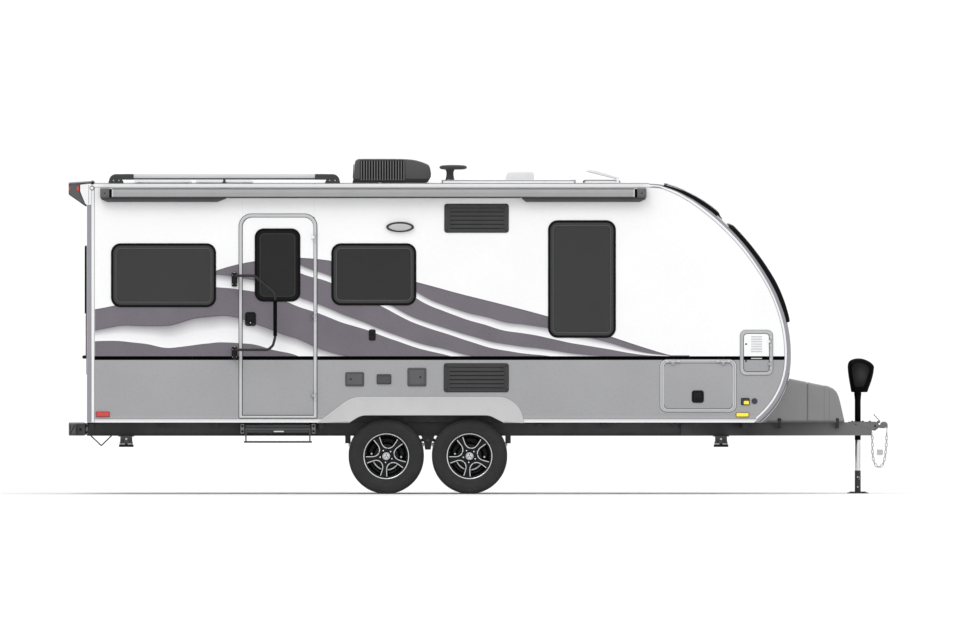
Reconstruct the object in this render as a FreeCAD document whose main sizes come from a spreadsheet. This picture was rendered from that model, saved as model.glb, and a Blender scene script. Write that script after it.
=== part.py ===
# Travel caravan: tandem axle travel trailer, empty, parked on its wheels and tongue jack.
# Frame: +X forward (hitch end), +Z up, -Y the kerb side with the entry door.
# Origin: middle of the bounding box on the ground. Millimetres.
import FreeCAD, Part
import Sketcher
import math
import os

V = FreeCAD.Vector
doc = FreeCAD.newDocument("TravelCaravan")
sheet = doc.addObject("Spreadsheet::Sheet", "Sizes")

DIM = {}
ROW = [1]


def put(alias, value):
    """One row of the sheet: the name in column A, the number with its alias in column B."""
    if alias in DIM:
        raise ValueError("size given twice: " + alias)
    r = ROW[0]
    ROW[0] += 1
    sheet.set("A%d" % r, alias)
    sheet.set("B%d" % r, "%.4f" % value)
    sheet.setAlias("B%d" % r, alias)
    DIM[alias] = float(value)
    return alias


# Driving sizes.
for _name, _value in (
    ("half_width", 1219.0),       # outer face of both side walls (8 ft wide body)
    ("wall_thick", 40.0),         # laminated wall, roof, nose and rear panels
    ("roof_top", 2843.0),
    ("wall_foot", 654.0),         # lower edge of the walls, top of the chassis is 650
    ("skirt_top", 719.0),         # seam between the skirt rail and the wall panels
    ("rear_face", 3584.0),        # distance of the rear face behind the origin
    ("nose_start", 1562.5),       # where the roof turns into the nose
    ("nose_ra", 719.0), ("nose_rb", 2429.8), ("nose_rc", 1325.3), ("nose_rd", 759.9),
    ("rail_low", 531.0), ("rail_top", 650.0), ("rail_mid", 880.0), ("rail_flange", 60.0),
    ("rail_front", 1900.0), ("rail_rear", 3582.0),
    ("axle_height", 345.0), ("axle_rear", 844.0), ("axle_front", 82.0),
    ("track_half", 1065.0), ("tyre_radius", 345.0), ("tyre_half", 102.5),
    ("rim_radius", 210.0), ("rim_seat", 190.5), ("rim_half", 84.0),
    ("floor_top", 700.0),
    ("jack_place", 3470.0), ("jack_bore", 23.5), ("jack_outer", 27.5), ("jack_inner", 22.0),
    ("foot_tube", 28.0),
    ("door_rear", 2145.0), ("door_front", 1512.0), ("door_low", 729.0), ("door_top", 2523.0),
    ("hinge_place", 1500.0), ("hinge_out", 1241.0),
    ("ball_place", 3709.0), ("ball_bore", 29.9),
):
    put(_name, _value)


def num(alias):
    return DIM[alias]


def ref(v, alias):
    """An expression for a size: a number gets a cell of its own, a text is a formula of aliases."""
    if not isinstance(v, str):
        put(alias, v)
        return "Sizes." + alias
    out = []
    word = ""
    for ch in v + " ":
        if ch.isalnum() or ch == "_":
            word += ch
        else:
            if word:
                out.append("Sizes." + word if word in DIM else word)
            word = ""
            out.append(ch)
    return "".join(out).strip()


def bx(name, x0, x1, y0, y1, z0, z1):
    """A block between two corners."""
    o = doc.addObject("Part::Box", name)
    e = [ref(v, "%s_%s" % (name, s)) for v, s in
         ((x0, "xa"), (x1, "xb"), (y0, "ya"), (y1, "yb"), (z0, "za"), (z1, "zb"))]
    o.setExpression("Length", "(%s) - (%s)" % (e[1], e[0]))
    o.setExpression("Width", "(%s) - (%s)" % (e[3], e[2]))
    o.setExpression("Height", "(%s) - (%s)" % (e[5], e[4]))
    o.setExpression("Placement.Base.x", e[0])
    o.setExpression("Placement.Base.y", e[2])
    o.setExpression("Placement.Base.z", e[4])
    return o


def cyl(name, p, d, r, length):
    """A round bar from point p along direction d."""
    o = doc.addObject("Part::Cylinder", name)
    o.Placement = FreeCAD.Placement(V(*p), FreeCAD.Rotation(V(0, 0, 1), V(*d)))
    o.setExpression("Radius", ref(r, name + "_rad"))
    o.setExpression("Height", ref(length, name + "_len"))
    return o


def rod(name, p, q, r):
    """A round bar between two points."""
    d = V(*q).sub(V(*p))
    return cyl(name, p, (d.x, d.y, d.z), r, d.Length)


def ball(name, p, r):
    o = doc.addObject("Part::Sphere", name)
    o.Placement = FreeCAD.Placement(V(*p), FreeCAD.Rotation())
    o.setExpression("Radius", ref(r, name + "_rad"))
    return o


def cone(name, p, d, r1, r2, length):
    o = doc.addObject("Part::Cone", name)
    o.Placement = FreeCAD.Placement(V(*p), FreeCAD.Rotation(V(0, 0, 1), V(*d)))
    o.setExpression("Radius1", ref(r1, name + "_ra"))
    o.setExpression("Radius2", ref(r2, name + "_rb"))
    o.setExpression("Height", ref(length, name + "_len"))
    return o


def cut(name, a, b):
    o = doc.addObject("Part::Cut", name)
    o.Base = a
    o.Tool = b
    return o


def fuse(name, parts):
    if len(parts) == 1:
        return parts[0]
    o = doc.addObject("Part::MultiFuse", name)
    o.Shapes = parts
    return o


def common(name, a, b):
    o = doc.addObject("Part::MultiCommon", name)
    o.Shapes = [a, b]
    return o


def group(name, parts):
    o = doc.addObject("Part::Compound", name)
    o.Links = parts
    return o


PLANE = {"XY": "XY_Plane", "XZ": "XZ_Plane", "YZ": "YZ_Plane"}


def new_sketch(body, plane, name, offset_expr):
    sk = body.newObject("Sketcher::SketchObject", name)
    own = [f for f in body.Origin.OriginFeatures if f.Role == PLANE[plane]][0]
    sk.AttachmentSupport = [(own, "")]
    sk.MapMode = "FlatFace"
    sk.setExpression("AttachmentOffset.Base.z", offset_expr)
    return sk


def draw(sk, segs):
    """Closed outline of lines and arcs, end to end."""
    first = None
    prev = None
    for s in segs:
        if s[0] == "L":
            i = sk.addGeometry(Part.LineSegment(V(s[1][0], s[1][1], 0), V(s[2][0], s[2][1], 0)), False)
        else:
            # ("A", start, through, end)
            i = sk.addGeometry(Part.Arc(V(s[1][0], s[1][1], 0), V(s[2][0], s[2][1], 0),
                                        V(s[3][0], s[3][1], 0)), False)
        if first is None:
            first = i
        prev = i
    return first, prev


def poly(pts):
    return [("L", pts[i], pts[(i + 1) % len(pts)]) for i in range(len(pts))]


def rounded(x0, x1, y0, y1, r, low=True):
    """Outline with round corners; low=False leaves the two lower corners square."""
    k = r * (1 - math.sqrt(0.5))
    if low:
        return [("L", (x0 + r, y0), (x1 - r, y0)), ("A", (x1 - r, y0), (x1 - k, y0 + k), (x1, y0 + r)),
                ("L", (x1, y0 + r), (x1, y1 - r)), ("A", (x1, y1 - r), (x1 - k, y1 - k), (x1 - r, y1)),
                ("L", (x1 - r, y1), (x0 + r, y1)), ("A", (x0 + r, y1), (x0 + k, y1 - k), (x0, y1 - r)),
                ("L", (x0, y1 - r), (x0, y0 + r)), ("A", (x0, y0 + r), (x0 + k, y0 + k), (x0 + r, y0))]
    return [("L", (x0, y0), (x1, y0)),
            ("L", (x1, y0), (x1, y1 - r)), ("A", (x1, y1 - r), (x1 - k, y1 - k), (x1 - r, y1)),
            ("L", (x1 - r, y1), (x0 + r, y1)), ("A", (x0 + r, y1), (x0 + k, y1 - k), (x0, y1 - r)),
            ("L", (x0, y1 - r), (x0, y0))]


def prism(name, plane, outlines, lo, hi):
    """Body: one sketch with its outlines (later ones are holes), padded from lo to hi.
    plane XZ pads along Y, XY along Z, YZ along X."""
    body = doc.addObject("PartDesign::Body", name)
    a = ref(lo, name + "_lo")
    b = ref(hi, name + "_hi")
    if plane == "XZ":
        sk = new_sketch(body, plane, name + "_outline", "-(%s)" % b)
    else:
        sk = new_sketch(body, plane, name + "_outline", a)
    for o in outlines:
        draw(sk, o)
    pad = body.newObject("PartDesign::Pad", name + "_pad")
    pad.Profile = sk
    pad.setExpression("Length", "(%s) - (%s)" % (b, a))
    body.Tip = pad
    return body


def turned(name, pts, p, d=(0, 1, 0)):
    """Body turned about its own X axis from a closed outline of (along, radius) points."""
    body = doc.addObject("PartDesign::Body", name)
    sk = new_sketch(body, "XY", name + "_outline", "0")
    draw(sk, poly(pts))
    rev = body.newObject("PartDesign::Revolution", name + "_turn")
    rev.Profile = sk
    rev.ReferenceAxis = (sk, ["H_Axis"])
    rev.Angle = 360
    body.Tip = rev
    body.Placement = FreeCAD.Placement(V(*p), FreeCAD.Rotation(V(1, 0, 0), V(*d)))
    return body


NODES = []


def node(label, obj):
    obj.Label = label
    NODES.append((label, obj))
    return obj


# ---------------------------------------------------------------- nose curve
# Four tangent arcs, from the flat roof down to the foot of the nose.
T = [0.0, 35.22, 60.29, 93.68]
RAD = [num("nose_ra"), num("nose_rb"), num("nose_rc"), num("nose_rd")]
CEN = [(num("nose_start"), num("roof_top") - RAD[0])]
for _i in range(1, 4):
    _t = math.radians(T[_i])
    _c = CEN[-1]
    _p = (_c[0] + RAD[_i - 1] * math.sin(_t), _c[1] + RAD[_i - 1] * math.cos(_t))
    CEN.append((_p[0] - RAD[_i] * math.sin(_t), _p[1] - RAD[_i] * math.cos(_t)))


def nose(t, off=0.0):
    """Point of the nose curve at heading t degrees, off outwards (inwards when negative)."""
    i = max(k for k in range(4) if T[k] <= t + 1e-9)
    a = math.radians(t)
    return (CEN[i][0] + (RAD[i] + off) * math.sin(a), CEN[i][1] + (RAD[i] + off) * math.cos(a))


def nose_foot(z, off=0.0):
    """Heading at which the last arc reaches height z."""
    return math.degrees(math.acos((z - CEN[3][1]) / (RAD[3] + off)))


def nose_heading(z, off=0.0):
    lo, hi = 0.0, 170.0
    for _ in range(60):
        mid = (lo + hi) / 2
        if nose(mid, off)[1] > z:
            lo = mid
        else:
            hi = mid
    return (lo + hi) / 2


def run(t0, t1, off):
    """Arcs along the nose curve from heading t0 to t1 (either way)."""
    a, b = min(t0, t1), max(t0, t1)
    cuts = [a] + [t for t in T if a + 0.01 < t < b - 0.01] + [b]
    segs = []
    for u, w in zip(cuts[:-1], cuts[1:]):
        m = (u + w) / 2
        i = max(k for k in range(4) if T[k] <= m)

        def pt(t):
            r = math.radians(t)
            return (CEN[i][0] + (RAD[i] + off) * math.sin(r), CEN[i][1] + (RAD[i] + off) * math.cos(r))
        segs.append(("A", pt(u), pt(m), pt(w)))
    if t0 > t1:
        segs = [("A", s[3], s[2], s[1]) for s in reversed(segs)]
    return segs


def join(segs):
    """Close an outline: straight lines between the ends of the given pieces."""
    out = []
    n = len(segs)
    for i, s in enumerate(segs):
        out.append(s)
        e = s[-1]
        b = segs[(i + 1) % n][1]
        if math.hypot(e[0] - b[0], e[1] - b[1]) > 1e-6:
            out.append(("L", e, b))
    return out


def band(t0, t1, inner, outer):
    return join(run(t0, t1, outer) + run(t1, t0, inner))


def mirror_y(name, src):
    o = doc.addObject("Part::Mirroring", name)
    o.Source = src
    o.Base = V(0, 0, 0)
    o.Normal = V(0, 1, 0)
    return o


# ---------------------------------------------------------------- chassis
def beam_section(y):
    f = num("rail_flange") / 2
    lo, hi = num("rail_low"), num("rail_top")
    return poly([(y - f, lo), (y + f, lo), (y + f, lo + 7), (y + 3, lo + 7), (y + 3, hi - 7), (y + f, hi - 7),
                 (y + f, hi), (y - f, hi), (y - f, hi - 7), (y - 3, hi - 7), (y - 3, lo + 7), (y - f, lo + 7)])


rails = [prism("main_rail_%s" % s, "YZ", [beam_section(k * num("rail_mid"))], "-rail_rear", "rail_front")
         for s, k in (("right", -1), ("left", 1))]
node("chassis_rails", group("chassis_rails_set", rails))

cross = []
for _i, _x in enumerate((-3540, -2900, -2219, -1440, -463, 480, 1150, 1800)):
    cross.append(bx("crossmember_%d" % _i, _x - 25.0, _x + 25.0, -849.0, 849.0, 575.0, "rail_top"))
for _i, _x in enumerate((-3540, -2900, -2400, -1440, 560, 1150, 1800)):
    for _s, _k in (("right", -1), ("left", 1)):
        a, b = sorted((_k * 912.0, _k * 1170.0))
        cross.append(bx("outrigger_%s_%d" % (_s, _i), _x - 20.0, _x + 20.0, a, b, 600.0, "rail_top"))
cross.append(bx("nose_member", 2415.0, 2465.0, -560.0, 560.0, 585.0, "rail_top"))
for _s, _k in (("right", -1), ("left", 1)):
    a, b = sorted((_k * 682.0, _k * 1165.0))
    cross.append(bx("nose_outrigger_" + _s, 2415.0, 2465.0, a, b, 600.0, "rail_top"))
for _s, _x0, _x1 in (("rear", -2180.0, -2141.0), ("front", -1529.0, -1490.0)):
    cross.append(bx("step_bracket_" + _s, _x0, _x1, -1180.0, -912.0, 549.0, 644.0))
node("chassis_crossmembers", group("chassis_crossmembers_set", cross))

tongue = []
for _s, _k in (("right", -1), ("left", 1)):
    x0, y0, x1, y1 = 1901.0, 880.0, 3600.0, 62.0
    dx, dy = x1 - x0, y1 - y0
    n = math.hypot(dx, dy)
    ux, uy = dx / n, dy / n
    w = 30.0
    hw = w / abs(ux)
    pts = [(x0, _k * (y0 - hw)), (x1, _k * (y1 - hw)), (x1, _k * (y1 + hw)), (x0, _k * (y0 + hw))]
    tongue.append(prism("tongue_rail_" + _s, "XY", [poly(pts)], "rail_low", "rail_top"))
tongue.append(bx("tongue_tray", 2700.0, 3000.0, -250.0, 250.0, 600.0, 606.0))
node("tongue_rails", group("tongue_rails_set", tongue))

# Coupler: plate over the rail ends, channel and ball socket.
coup = prism("coupler_plate", "XY", [poly([(3380, -150), (3600, -100), (3640, -60), (3640, 60), (3600, 100), (3380, 150)])],
             650.5, 660.0)
hole = cyl("coupler_jack_hole", (num("jack_place"), 0, 640), (0, 0, 1), 28.3, 40.0)
chan = prism("coupler_channel", "XZ", [poly([(3604, 570), (3634, 570), (3668, 594), (3720, 594), (3720, 655), (3604, 655)])],
             -36.0, 36.0)
sock = cyl("coupler_socket", (num("ball_place"), 0, 594), (0, 0, 1), 39.0, 64.0)
bore = cyl("coupler_bore", (num("ball_place"), 0, 560), (0, 0, 1), "ball_bore", 84.0)
lever = rod("coupler_lever", (3662, 0, 640), (3620, 0, 716), 8.0)
pinr = rod("coupler_pin", (3628, -52, 616), (3628, 52, 616), 7.0)
node("coupler", cut("coupler_cut", cut("coupler_a", fuse("coupler_fused", [coup, chan, sock, lever, pinr]), bore), hole))

chain = []
for _s, _k in (("right", -1), ("left", 1)):
    pts = [(3600, _k * 104, 524), (3618, _k * 104, 380), (3642, _k * 100, 280), (3671, _k * 92, 243),
           (3700, _k * 84, 290), (3722, _k * 74, 400), (3736, _k * 66, 560)]
    pieces = []
    for _i in range(len(pts) - 1):
        pieces.append(rod("chain_%s_%d" % (_s, _i), pts[_i], pts[_i + 1], 10.0))
        if _i:
            pieces.append(ball("chain_knot_%s_%d" % (_s, _i), pts[_i], 10.5))
    chain.append(fuse("chain_" + _s, pieces))
node("safety_chains", group("safety_chains_set", chain))

# Tongue jack: powered head and outer tube, bored for the leg.
jx = num("jack_place")
head = prism("jack_head", "XZ", [poly([(3381, 1191), (3486, 1237), (3619, 1151), (3545, 938), (3414, 924)])], -68.0, 68.0)
otube = cyl("jack_outer_tube", (jx, 0, 490), (0, 0, 1), "jack_outer", 500.0)
obore = cyl("jack_tube_bore", (jx, 0, 480), (0, 0, 1), "jack_bore", 670.0)
node("tongue_jack_housing", cut("jack_housing_cut", fuse("jack_housing_fused", [head, otube]), obore))

leg = cyl("jack_inner_tube", (jx, 0, 200), (0, 0, 1), "jack_inner", 660.0)
foot = cyl("jack_foot_tube", (jx, 0, 10), (0, 0, 1), "foot_tube", 200.0)
plate = bx("jack_foot_plate", 3372.0, 3568.0, -98.0, 98.0, 0.0, 18.0)
node("tongue_jack_leg", fuse("jack_leg_fused", [leg, foot, plate]))

# ---------------------------------------------------------------- tongue cover
GAP = 5.0


WALL = 5.0
PLAN = [(2550.0, 600.0), (2800.0, 560.0), (3230.0, 330.0), (3360.0, 230.0)]
SIDE = [(2830.0, 1053.0), (3210.0, 974.5), (3262.0, 947.0), (3296.0, 893.0), (3350.0, 652.0)]


def shift_in(pts, g):
    """The line of points moved g to its right hand side, corners mitred."""
    out = []
    for i, p in enumerate(pts):
        ns = []
        for a, b in ((i - 1, i), (i, i + 1)):
            if 0 <= a and b < len(pts):
                dx, dy = pts[b][0] - pts[a][0], pts[b][1] - pts[a][1]
                n = math.hypot(dx, dy)
                ns.append((dy / n, -dx / n))
        if len(ns) == 1:
            out.append((p[0] + ns[0][0] * g, p[1] + ns[0][1] * g))
        else:
            k = 1 + ns[0][0] * ns[1][0] + ns[0][1] * ns[1][1]
            out.append((p[0] + (ns[0][0] + ns[1][0]) * g / k, p[1] + (ns[0][1] + ns[1][1]) * g / k))
    return out


side_in = shift_in(SIDE, WALL)
plan_in = shift_in(PLAN, WALL)
plan_block = [(p[0], -p[1]) for p in PLAN] + [(p[0], p[1]) for p in reversed(PLAN)]
cover = []
# Lid and front plates: full width, cut to the plan.
for _i in range(4):
    a, b = SIDE[_i], SIDE[_i + 1]
    c, d = side_in[_i + 1], side_in[_i]
    if _i == 0:
        q0, q1 = nose(nose_heading(a[1], GAP), GAP), nose(nose_heading(d[1], GAP), GAP)
        a, d = (q0[0] + 1.0, a[1]), (q1[0] + 1.0, d[1])
    g = 0.05 if _i else 0.0
    ux, uy = b[0] - a[0], b[1] - a[1]
    n = math.hypot(ux, uy)
    sh = (ux / n * g, uy / n * g)
    cover.append(common("cover_top_%d" % _i, prism("cover_top_side_%d" % _i, "XZ", [poly([(a[0] + sh[0], a[1] + sh[1]), b, c, (d[0] + sh[0], d[1] + sh[1])])], -650.0, 650.0),
                        prism("cover_top_plan_%d" % _i, "XY", [poly(plan_block)], 640.0, 1100.0)))
# Side plates under them, following the nose at the rear.
si = shift_in(SIDE, WALL + 0.1)
zr = 1046.0
seg = run(nose_heading(652, GAP), nose_heading(zr, GAP), GAP)
# Where the underside of the lid meets the nose: start the line clear of it.
_x = nose(nose_heading(zr, GAP), GAP)[0] + 1.5
_f = (_x - si[0][0]) / (si[1][0] - si[0][0])
si[0] = (_x, si[0][1] + _f * (si[1][1] - si[0][1]))
inner_side = join(seg + [("L", si[0], si[1]), ("L", si[1], si[2]), ("L", si[2], si[3]), ("L", si[3], (si[4][0], 652.0))])
for _s, _k in (("right", -1), ("left", 1)):
    for _i in range(3):
        a, b, c, d = PLAN[_i], PLAN[_i + 1], plan_in[_i + 1], plan_in[_i]
        g = 0.1 if _i else 0.0
        pts = [(a[0] + g, _k * a[1]), (b[0], _k * b[1]), (c[0], _k * c[1]), (d[0] + g, _k * d[1])]
        cover.append(common("cover_wall_%s_%d" % (_s, _i), prism("cover_wall_plan_%s_%d" % (_s, _i), "XY", [poly(pts)], 652.0, 1100.0),
                            prism("cover_wall_side_%s_%d" % (_s, _i), "XZ", [inner_side], -650.0, 650.0)))
node("tongue_cover", group("tongue_cover_set", cover))

# ---------------------------------------------------------------- floor and wheel boxes
fl = [bx("floor_middle", "wall_thick - rear_face + 1", 2515.0, -935.0, 935.0, "wall_foot", "floor_top")]
for _s, _k in (("right", -1), ("left", 1)):
    a, b = sorted((_k * 936.0, _k * 1178.0))
    fl.append(bx("floor_rear_" + _s, "wall_thick - rear_face + 1", -1246.0, a, b, "wall_foot", "floor_top"))
    fl.append(bx("floor_front_" + _s, 331.0, 2515.0, a, b, "wall_foot", "floor_top"))
wb = []
for _s, _k in (("right", -1), ("left", 1)):
    a, b = sorted((_k * 936.0, _k * 1178.0))
    wb.append(bx("wheel_box_top_" + _s, -1245.0, 330.0, a, b, 860.0, 875.0))
    c, d = sorted((_k * 936.0, _k * 951.0))
    wb.append(bx("wheel_box_inner_" + _s, -1245.0, 330.0, c, d, "wall_foot", 859.5))
    c, d = sorted((_k * 951.5, _k * 1178.0))
    wb.append(bx("wheel_box_rear_" + _s, -1245.0, -1230.0, c, d, "wall_foot", 859.5))
    wb.append(bx("wheel_box_front_" + _s, 315.0, 330.0, c, d, "wall_foot", 859.5))
node("cabin_floor", group("cabin_floor_set", fl + wb))

# ---------------------------------------------------------------- walls
REAR = -num("rear_face")
WT = num("wall_thick")
TOP = num("roof_top") - WT
XR = REAR + WT            # inner face of the rear wall
SK = num("skirt_top") + 0.5
LOW = num("wall_foot")
inner_t = nose_heading(SK, -WT)

WIN_REAR = (-3341.0, -2423.0, 1731.0, 2272.0)
WIN_MID = (-1325.0, -591.0, 1747.0, 2272.0)
WIN_FRONT = (658.0, 1235.0, 1451.0, 2483.0)
LUG = (1701.0, 2320.0, 781.0, 1196.0)      # luggage door leaf
LUG_HOLE = (LUG[0] - 8, LUG[1] + 8, LUG[2] - 8, LUG[3] + 8)


def rr(w, r, grow=0.0, low=True):
    return rounded(w[0] - grow, w[1] + grow, w[2] - grow, w[3] + grow, r + grow, low)


def front_edge():
    """Side wall outline from the roof corner down the nose to the skirt seam."""
    return run(0, inner_t, -WT)


fe = front_edge()
DR, DF = -2160.0, -1500.0   # entry door opening in the wall
DT = 2535.0
right_rear = prism("right_wall_rear", "XZ", [poly([(XR + 0.5, SK), (DR, SK), (DR, TOP - 0.3), (XR + 0.5, TOP - 0.3)]),
                                             rr(WIN_REAR, 70)], "-half_width", "wall_thick - half_width")
right_head = bx("right_wall_header", DR + 0.5, DF - 0.5, "-half_width", "wall_thick - half_width", DT, TOP - 0.3)
SEAM = 0.1
LH = LUG_HOLE


def nose_top(x):
    """Height of the wall's top edge at x, just behind the nose arc."""
    lo_t, hi_t = 0.0, 60.0
    for _ in range(60):
        m = (lo_t + hi_t) / 2
        if nose(m, -WT - 0.3)[0] < x:
            lo_t = m
        else:
            hi_t = m
    return lo_t


def wall_panels(tag, x_from, lo, hi, windows):
    ta = nose_top(LH[0])
    tb = nose_heading(LH[3] + SEAM, -WT - 0.3)
    tc = nose_heading(LH[3], -WT - 0.3)
    td = nose_heading(SK, -WT - 0.3)
    o = -WT - 0.3
    main = [("L", (x_from, TOP - 0.3), (num("nose_start"), TOP - 0.3))] + run(0.3, ta, o) + \
           [("L", (LH[0], SK), (x_from, SK))]
    upper = [("L", (LH[0] + SEAM, LH[3] + SEAM), nose(ta + 0.02, o))] + run(ta + 0.02, tb, o)
    front = run(tc, td, o) + [("L", (LH[1] + SEAM, SK), (LH[1] + SEAM, LH[3]))]
    return [prism("wall_main_" + tag, "XZ", [join(main)] + windows, lo, hi),
            prism("wall_upper_" + tag, "XZ", [join(upper)], lo, hi),
            bx("wall_sill_" + tag, LH[0] + SEAM, LH[1], lo, hi, SK, LH[2]),
            prism("wall_front_" + tag, "XZ", [join(front)], lo, hi)]


node("right_side_wall", group("right_side_wall_set", [right_rear, right_head] +
                              wall_panels("right", DF, "-half_width", "wall_thick - half_width", [rr(WIN_MID, 70), rr(WIN_FRONT, 70)])))

WIN_LREAR = (-3241.0, -2423.0, 1731.0, 2272.0)
WIN_LMID = (-1225.0, -491.0, 1747.0, 2272.0)
WIN_LFRONT = (658.0, 1235.0, 1651.0, 2272.0)
node("left_side_wall", group("left_side_wall_set",
                             wall_panels("left", XR + 0.5, "half_width - wall_thick", "half_width",
                                         [rr(WIN_LREAR, 70), rr(WIN_LMID, 70), rr(WIN_LFRONT, 70)])))

sk_set = []
ta, tb = nose_heading(num("skirt_top"), -WT - 0.3), nose_heading(LOW, -WT - 0.3)
for _s, _k in (("right", -1), ("left", 1)):
    a, b = ("-half_width", "wall_thick - half_width") if _k < 0 else ("half_width - wall_thick", "half_width")
    sk_set.append(prism("skirt_rear_" + _s, "XZ", [poly([(XR + 0.5, LOW), (-1185, LOW), (-1112, 697), (-1095, 719), (XR + 0.5, 719)])], a, b))
    sk_set.append(prism("skirt_front_" + _s, "XZ",
                        [join([("L", (233, LOW), (nose(tb, -WT - 0.3)[0], LOW))] + run(tb, ta, -WT - 0.3) +
                              [("L", (143, 719), (160, 697)), ("L", (160, 697), (233, LOW))])], a, b))
node("skirt_rails", group("skirt_rails_set", sk_set))

node("roof_panel", bx("roof_slab", "-rear_face", "nose_start - 0.3", "-half_width", "half_width", "roof_top - wall_thick", "roof_top"))

# Nose panel: curved slab with the two front window openings.
foot_out = nose_heading(LOW, 0)
foot_in = nose_heading(LOW, -WT)
UP0, UP1 = 10.8, 42.8
LO0, LO1 = 44.3, 77.2


def cap(name, t0, t1, inner, outer, y):
    return prism(name, "XZ", [band(t0, t1, inner, outer)], -y, y)


# The panel is laid up in sectors: whole width above, between and below the windows, side strips beside them.
GAPT = 0.004


def sector(name, t0, t1, y0, y1, inner=-WT, outer=0.0):
    g = GAPT if t1 < foot_out - 1 else 0.0
    return prism(name, "XZ", [band(t0, t1 - g, inner, outer)], float(y0), float(y1))


HU0, HU1, HL0, HL1 = UP0 + 3.5, UP1 - 1.0, LO0 + 1.0, LO1 - 2.0
secs = []
for _i, (_a, _b) in enumerate(((0.0, HU0), (HU1, HL0), (HL1, 84.0), (84.0, T[3]), (T[3], 106.0), (106.0, 118.0), (118.0, 130.0))):
    secs.append(sector("nose_whole_%d" % _i, _a, _b, -num("half_width"), num("half_width")))
secs.append(prism("nose_whole_foot", "XZ", [join(run(130.0, foot_out, 0) + run(foot_in, 130.0, -WT))], "-half_width", "half_width"))
for _i, (_a, _b) in enumerate(((HU0, 25.0), (25.0, T[1]), (T[1], HU1), (HL0, 52.0), (52.0, T[2]), (T[2], HL1))):
    for _s, _k in (("right", -1), ("left", 1)):
        a, b = sorted((_k * 820.0, _k * num("half_width")))
        secs.append(sector("nose_side_%d_%s" % (_i, _s), _a, _b, a, b))
node("nose_panel", group("nose_panel_set", secs))

frame_u = cut("nose_frame_upper", cap("nose_frame_u_out", UP0, UP1, 0.5, 35.0, 900.0), cap("nose_frame_u_in", UP0 + 3.0, UP1 - 0.8, -5, 60, 860.0))
frame_l = cut("nose_frame_lower", cap("nose_frame_l_out", LO0, LO1, 0.5, 35.0, 900.0), cap("nose_frame_l_in", LO0 + 0.8, LO1 - 1.6, -5, 60, 860.0))
nose_frames = [frame_u, frame_l]
nose_panes = []
for _i, (_a, _b) in enumerate(((UP0 + 3.1, 24.0), (24.0, T[1]), (T[1], UP1 - 0.9), (LO0 + 0.9, 53.0), (53.0, T[2]), (T[2], LO1 - 1.7))):
    nose_panes.append(sector("nose_pane_%d" % _i, _a, _b, -858.0, 858.0, 22.0, 33.0))

rear = prism("rear_slab", "YZ", [poly([(-1219, LOW), (1219, LOW), (1219, TOP - 0.3), (-1219, TOP - 0.3)]),
                                 rounded(-428, 428, 1665, 2245, 60)], "-rear_face", "wall_thick - rear_face")
node("rear_wall", rear)

# ---------------------------------------------------------------- windows
RW = num("half_width")


def ring(name, w, grow, r, lo, hi, wide):
    return prism(name, "XZ", [rr(w, r, grow), rr(w, r, grow - wide)], lo, hi)


frames = []
glass = []
for nm, w, k in (("rear_right", WIN_REAR, -1), ("mid_right", WIN_MID, -1), ("front_right", WIN_FRONT, -1),
                 ("rear_left", WIN_LREAR, 1), ("mid_left", WIN_LMID, 1), ("front_left", WIN_LFRONT, 1)):
    a, b = sorted((k * (RW + 0.2), k * (RW + 10)))
    frames.append(ring("frame_" + nm, w, 22, 70, a, b, 30))
    a, b = sorted((k * (RW - 22), k * (RW + 5)))
    glass.append(prism("glass_" + nm, "XZ", [rr(w, 70, -9)], a, b))
fr = prism("frame_rear_window", "YZ", [rounded(-450, 450, 1643, 2267, 82), rounded(-420, 420, 1673, 2237, 52)], REAR - 20, REAR - 0.2)
frames.append(fr)
frames += nose_frames
glass += nose_panes
glass.append(prism("glass_rear_window", "YZ", [rounded(-419, 419, 1674, 2236, 51)], REAR - 16, REAR + 12))
node("window_frames", group("window_frames_set", frames))
node("window_glass", group("window_glass_set", glass))

# ---------------------------------------------------------------- entry door
door_w = (-num("door_rear"), -num("door_front"), num("door_low"), num("door_top"))
DWIN = (-2029.0, -1649.0, 1779.0, 2411.0)


def door_sketch(name, w, r, lo, hi, holes):
    return prism(name, "XZ", [rounded(w[0], w[1], w[2], w[3], r, False)] + holes, lo, hi)


leaf = door_sketch("door_leaf", door_w, 90, "3 - half_width", "wall_thick - half_width - 2", [rr(DWIN, 60)])
skin = door_sketch("door_skin", (door_w[0] + 2, door_w[1] - 2, door_w[2] + 2, door_w[3] - 2), 88, "-half_width - 3", "3.5 - half_width", [rr(DWIN, 60)])
hx, hy = -num("hinge_place"), -num("hinge_out")
leaf_parts = [leaf, skin]
frame_parts = []
for _i, _z in enumerate((900.0, 1626.0, 2350.0)):
    kn = cut("door_knuckle_%d" % _i, cyl("door_knuckle_out_%d" % _i, (hx, hy, _z - 30), (0, 0, 1), 6.0, 60.0),
             cyl("door_knuckle_bore_%d" % _i, (hx, hy, _z - 40), (0, 0, 1), 3.6, 80.0))
    st = bx("door_strap_%d" % _i, -1556.0, -1504.5, -1243.0, -1238.5, _z - 28, _z + 28)
    ft = bx("door_strap_foot_%d" % _i, -1556.0, -1518.0, -1243.0, -1220.0, _z - 28, _z + 28)
    leaf_parts += [kn, st, ft]
    frame_parts.append(cyl("hinge_pin_%d" % _i, (hx, hy, _z - 62), (0, 0, 1), 3.0, 124.0))
    for _j, _q in (("low", _z - 62), ("high", _z + 34)):
        frame_parts.append(cyl("hinge_end_%s_%d" % (_j, _i), (hx, hy, _q), (0, 0, 1), 6.0, 28.0))
        frame_parts.append(bx("hinge_block_%s_%d" % (_j, _i), -1500.0, -1484.0, -1244.0, -1230.0, _q, _q + 28))
lk = bx("door_latch_plate", -2137.0, -2036.0, -1232.0, -1221.5, 1537.0, 1665.0)
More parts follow.
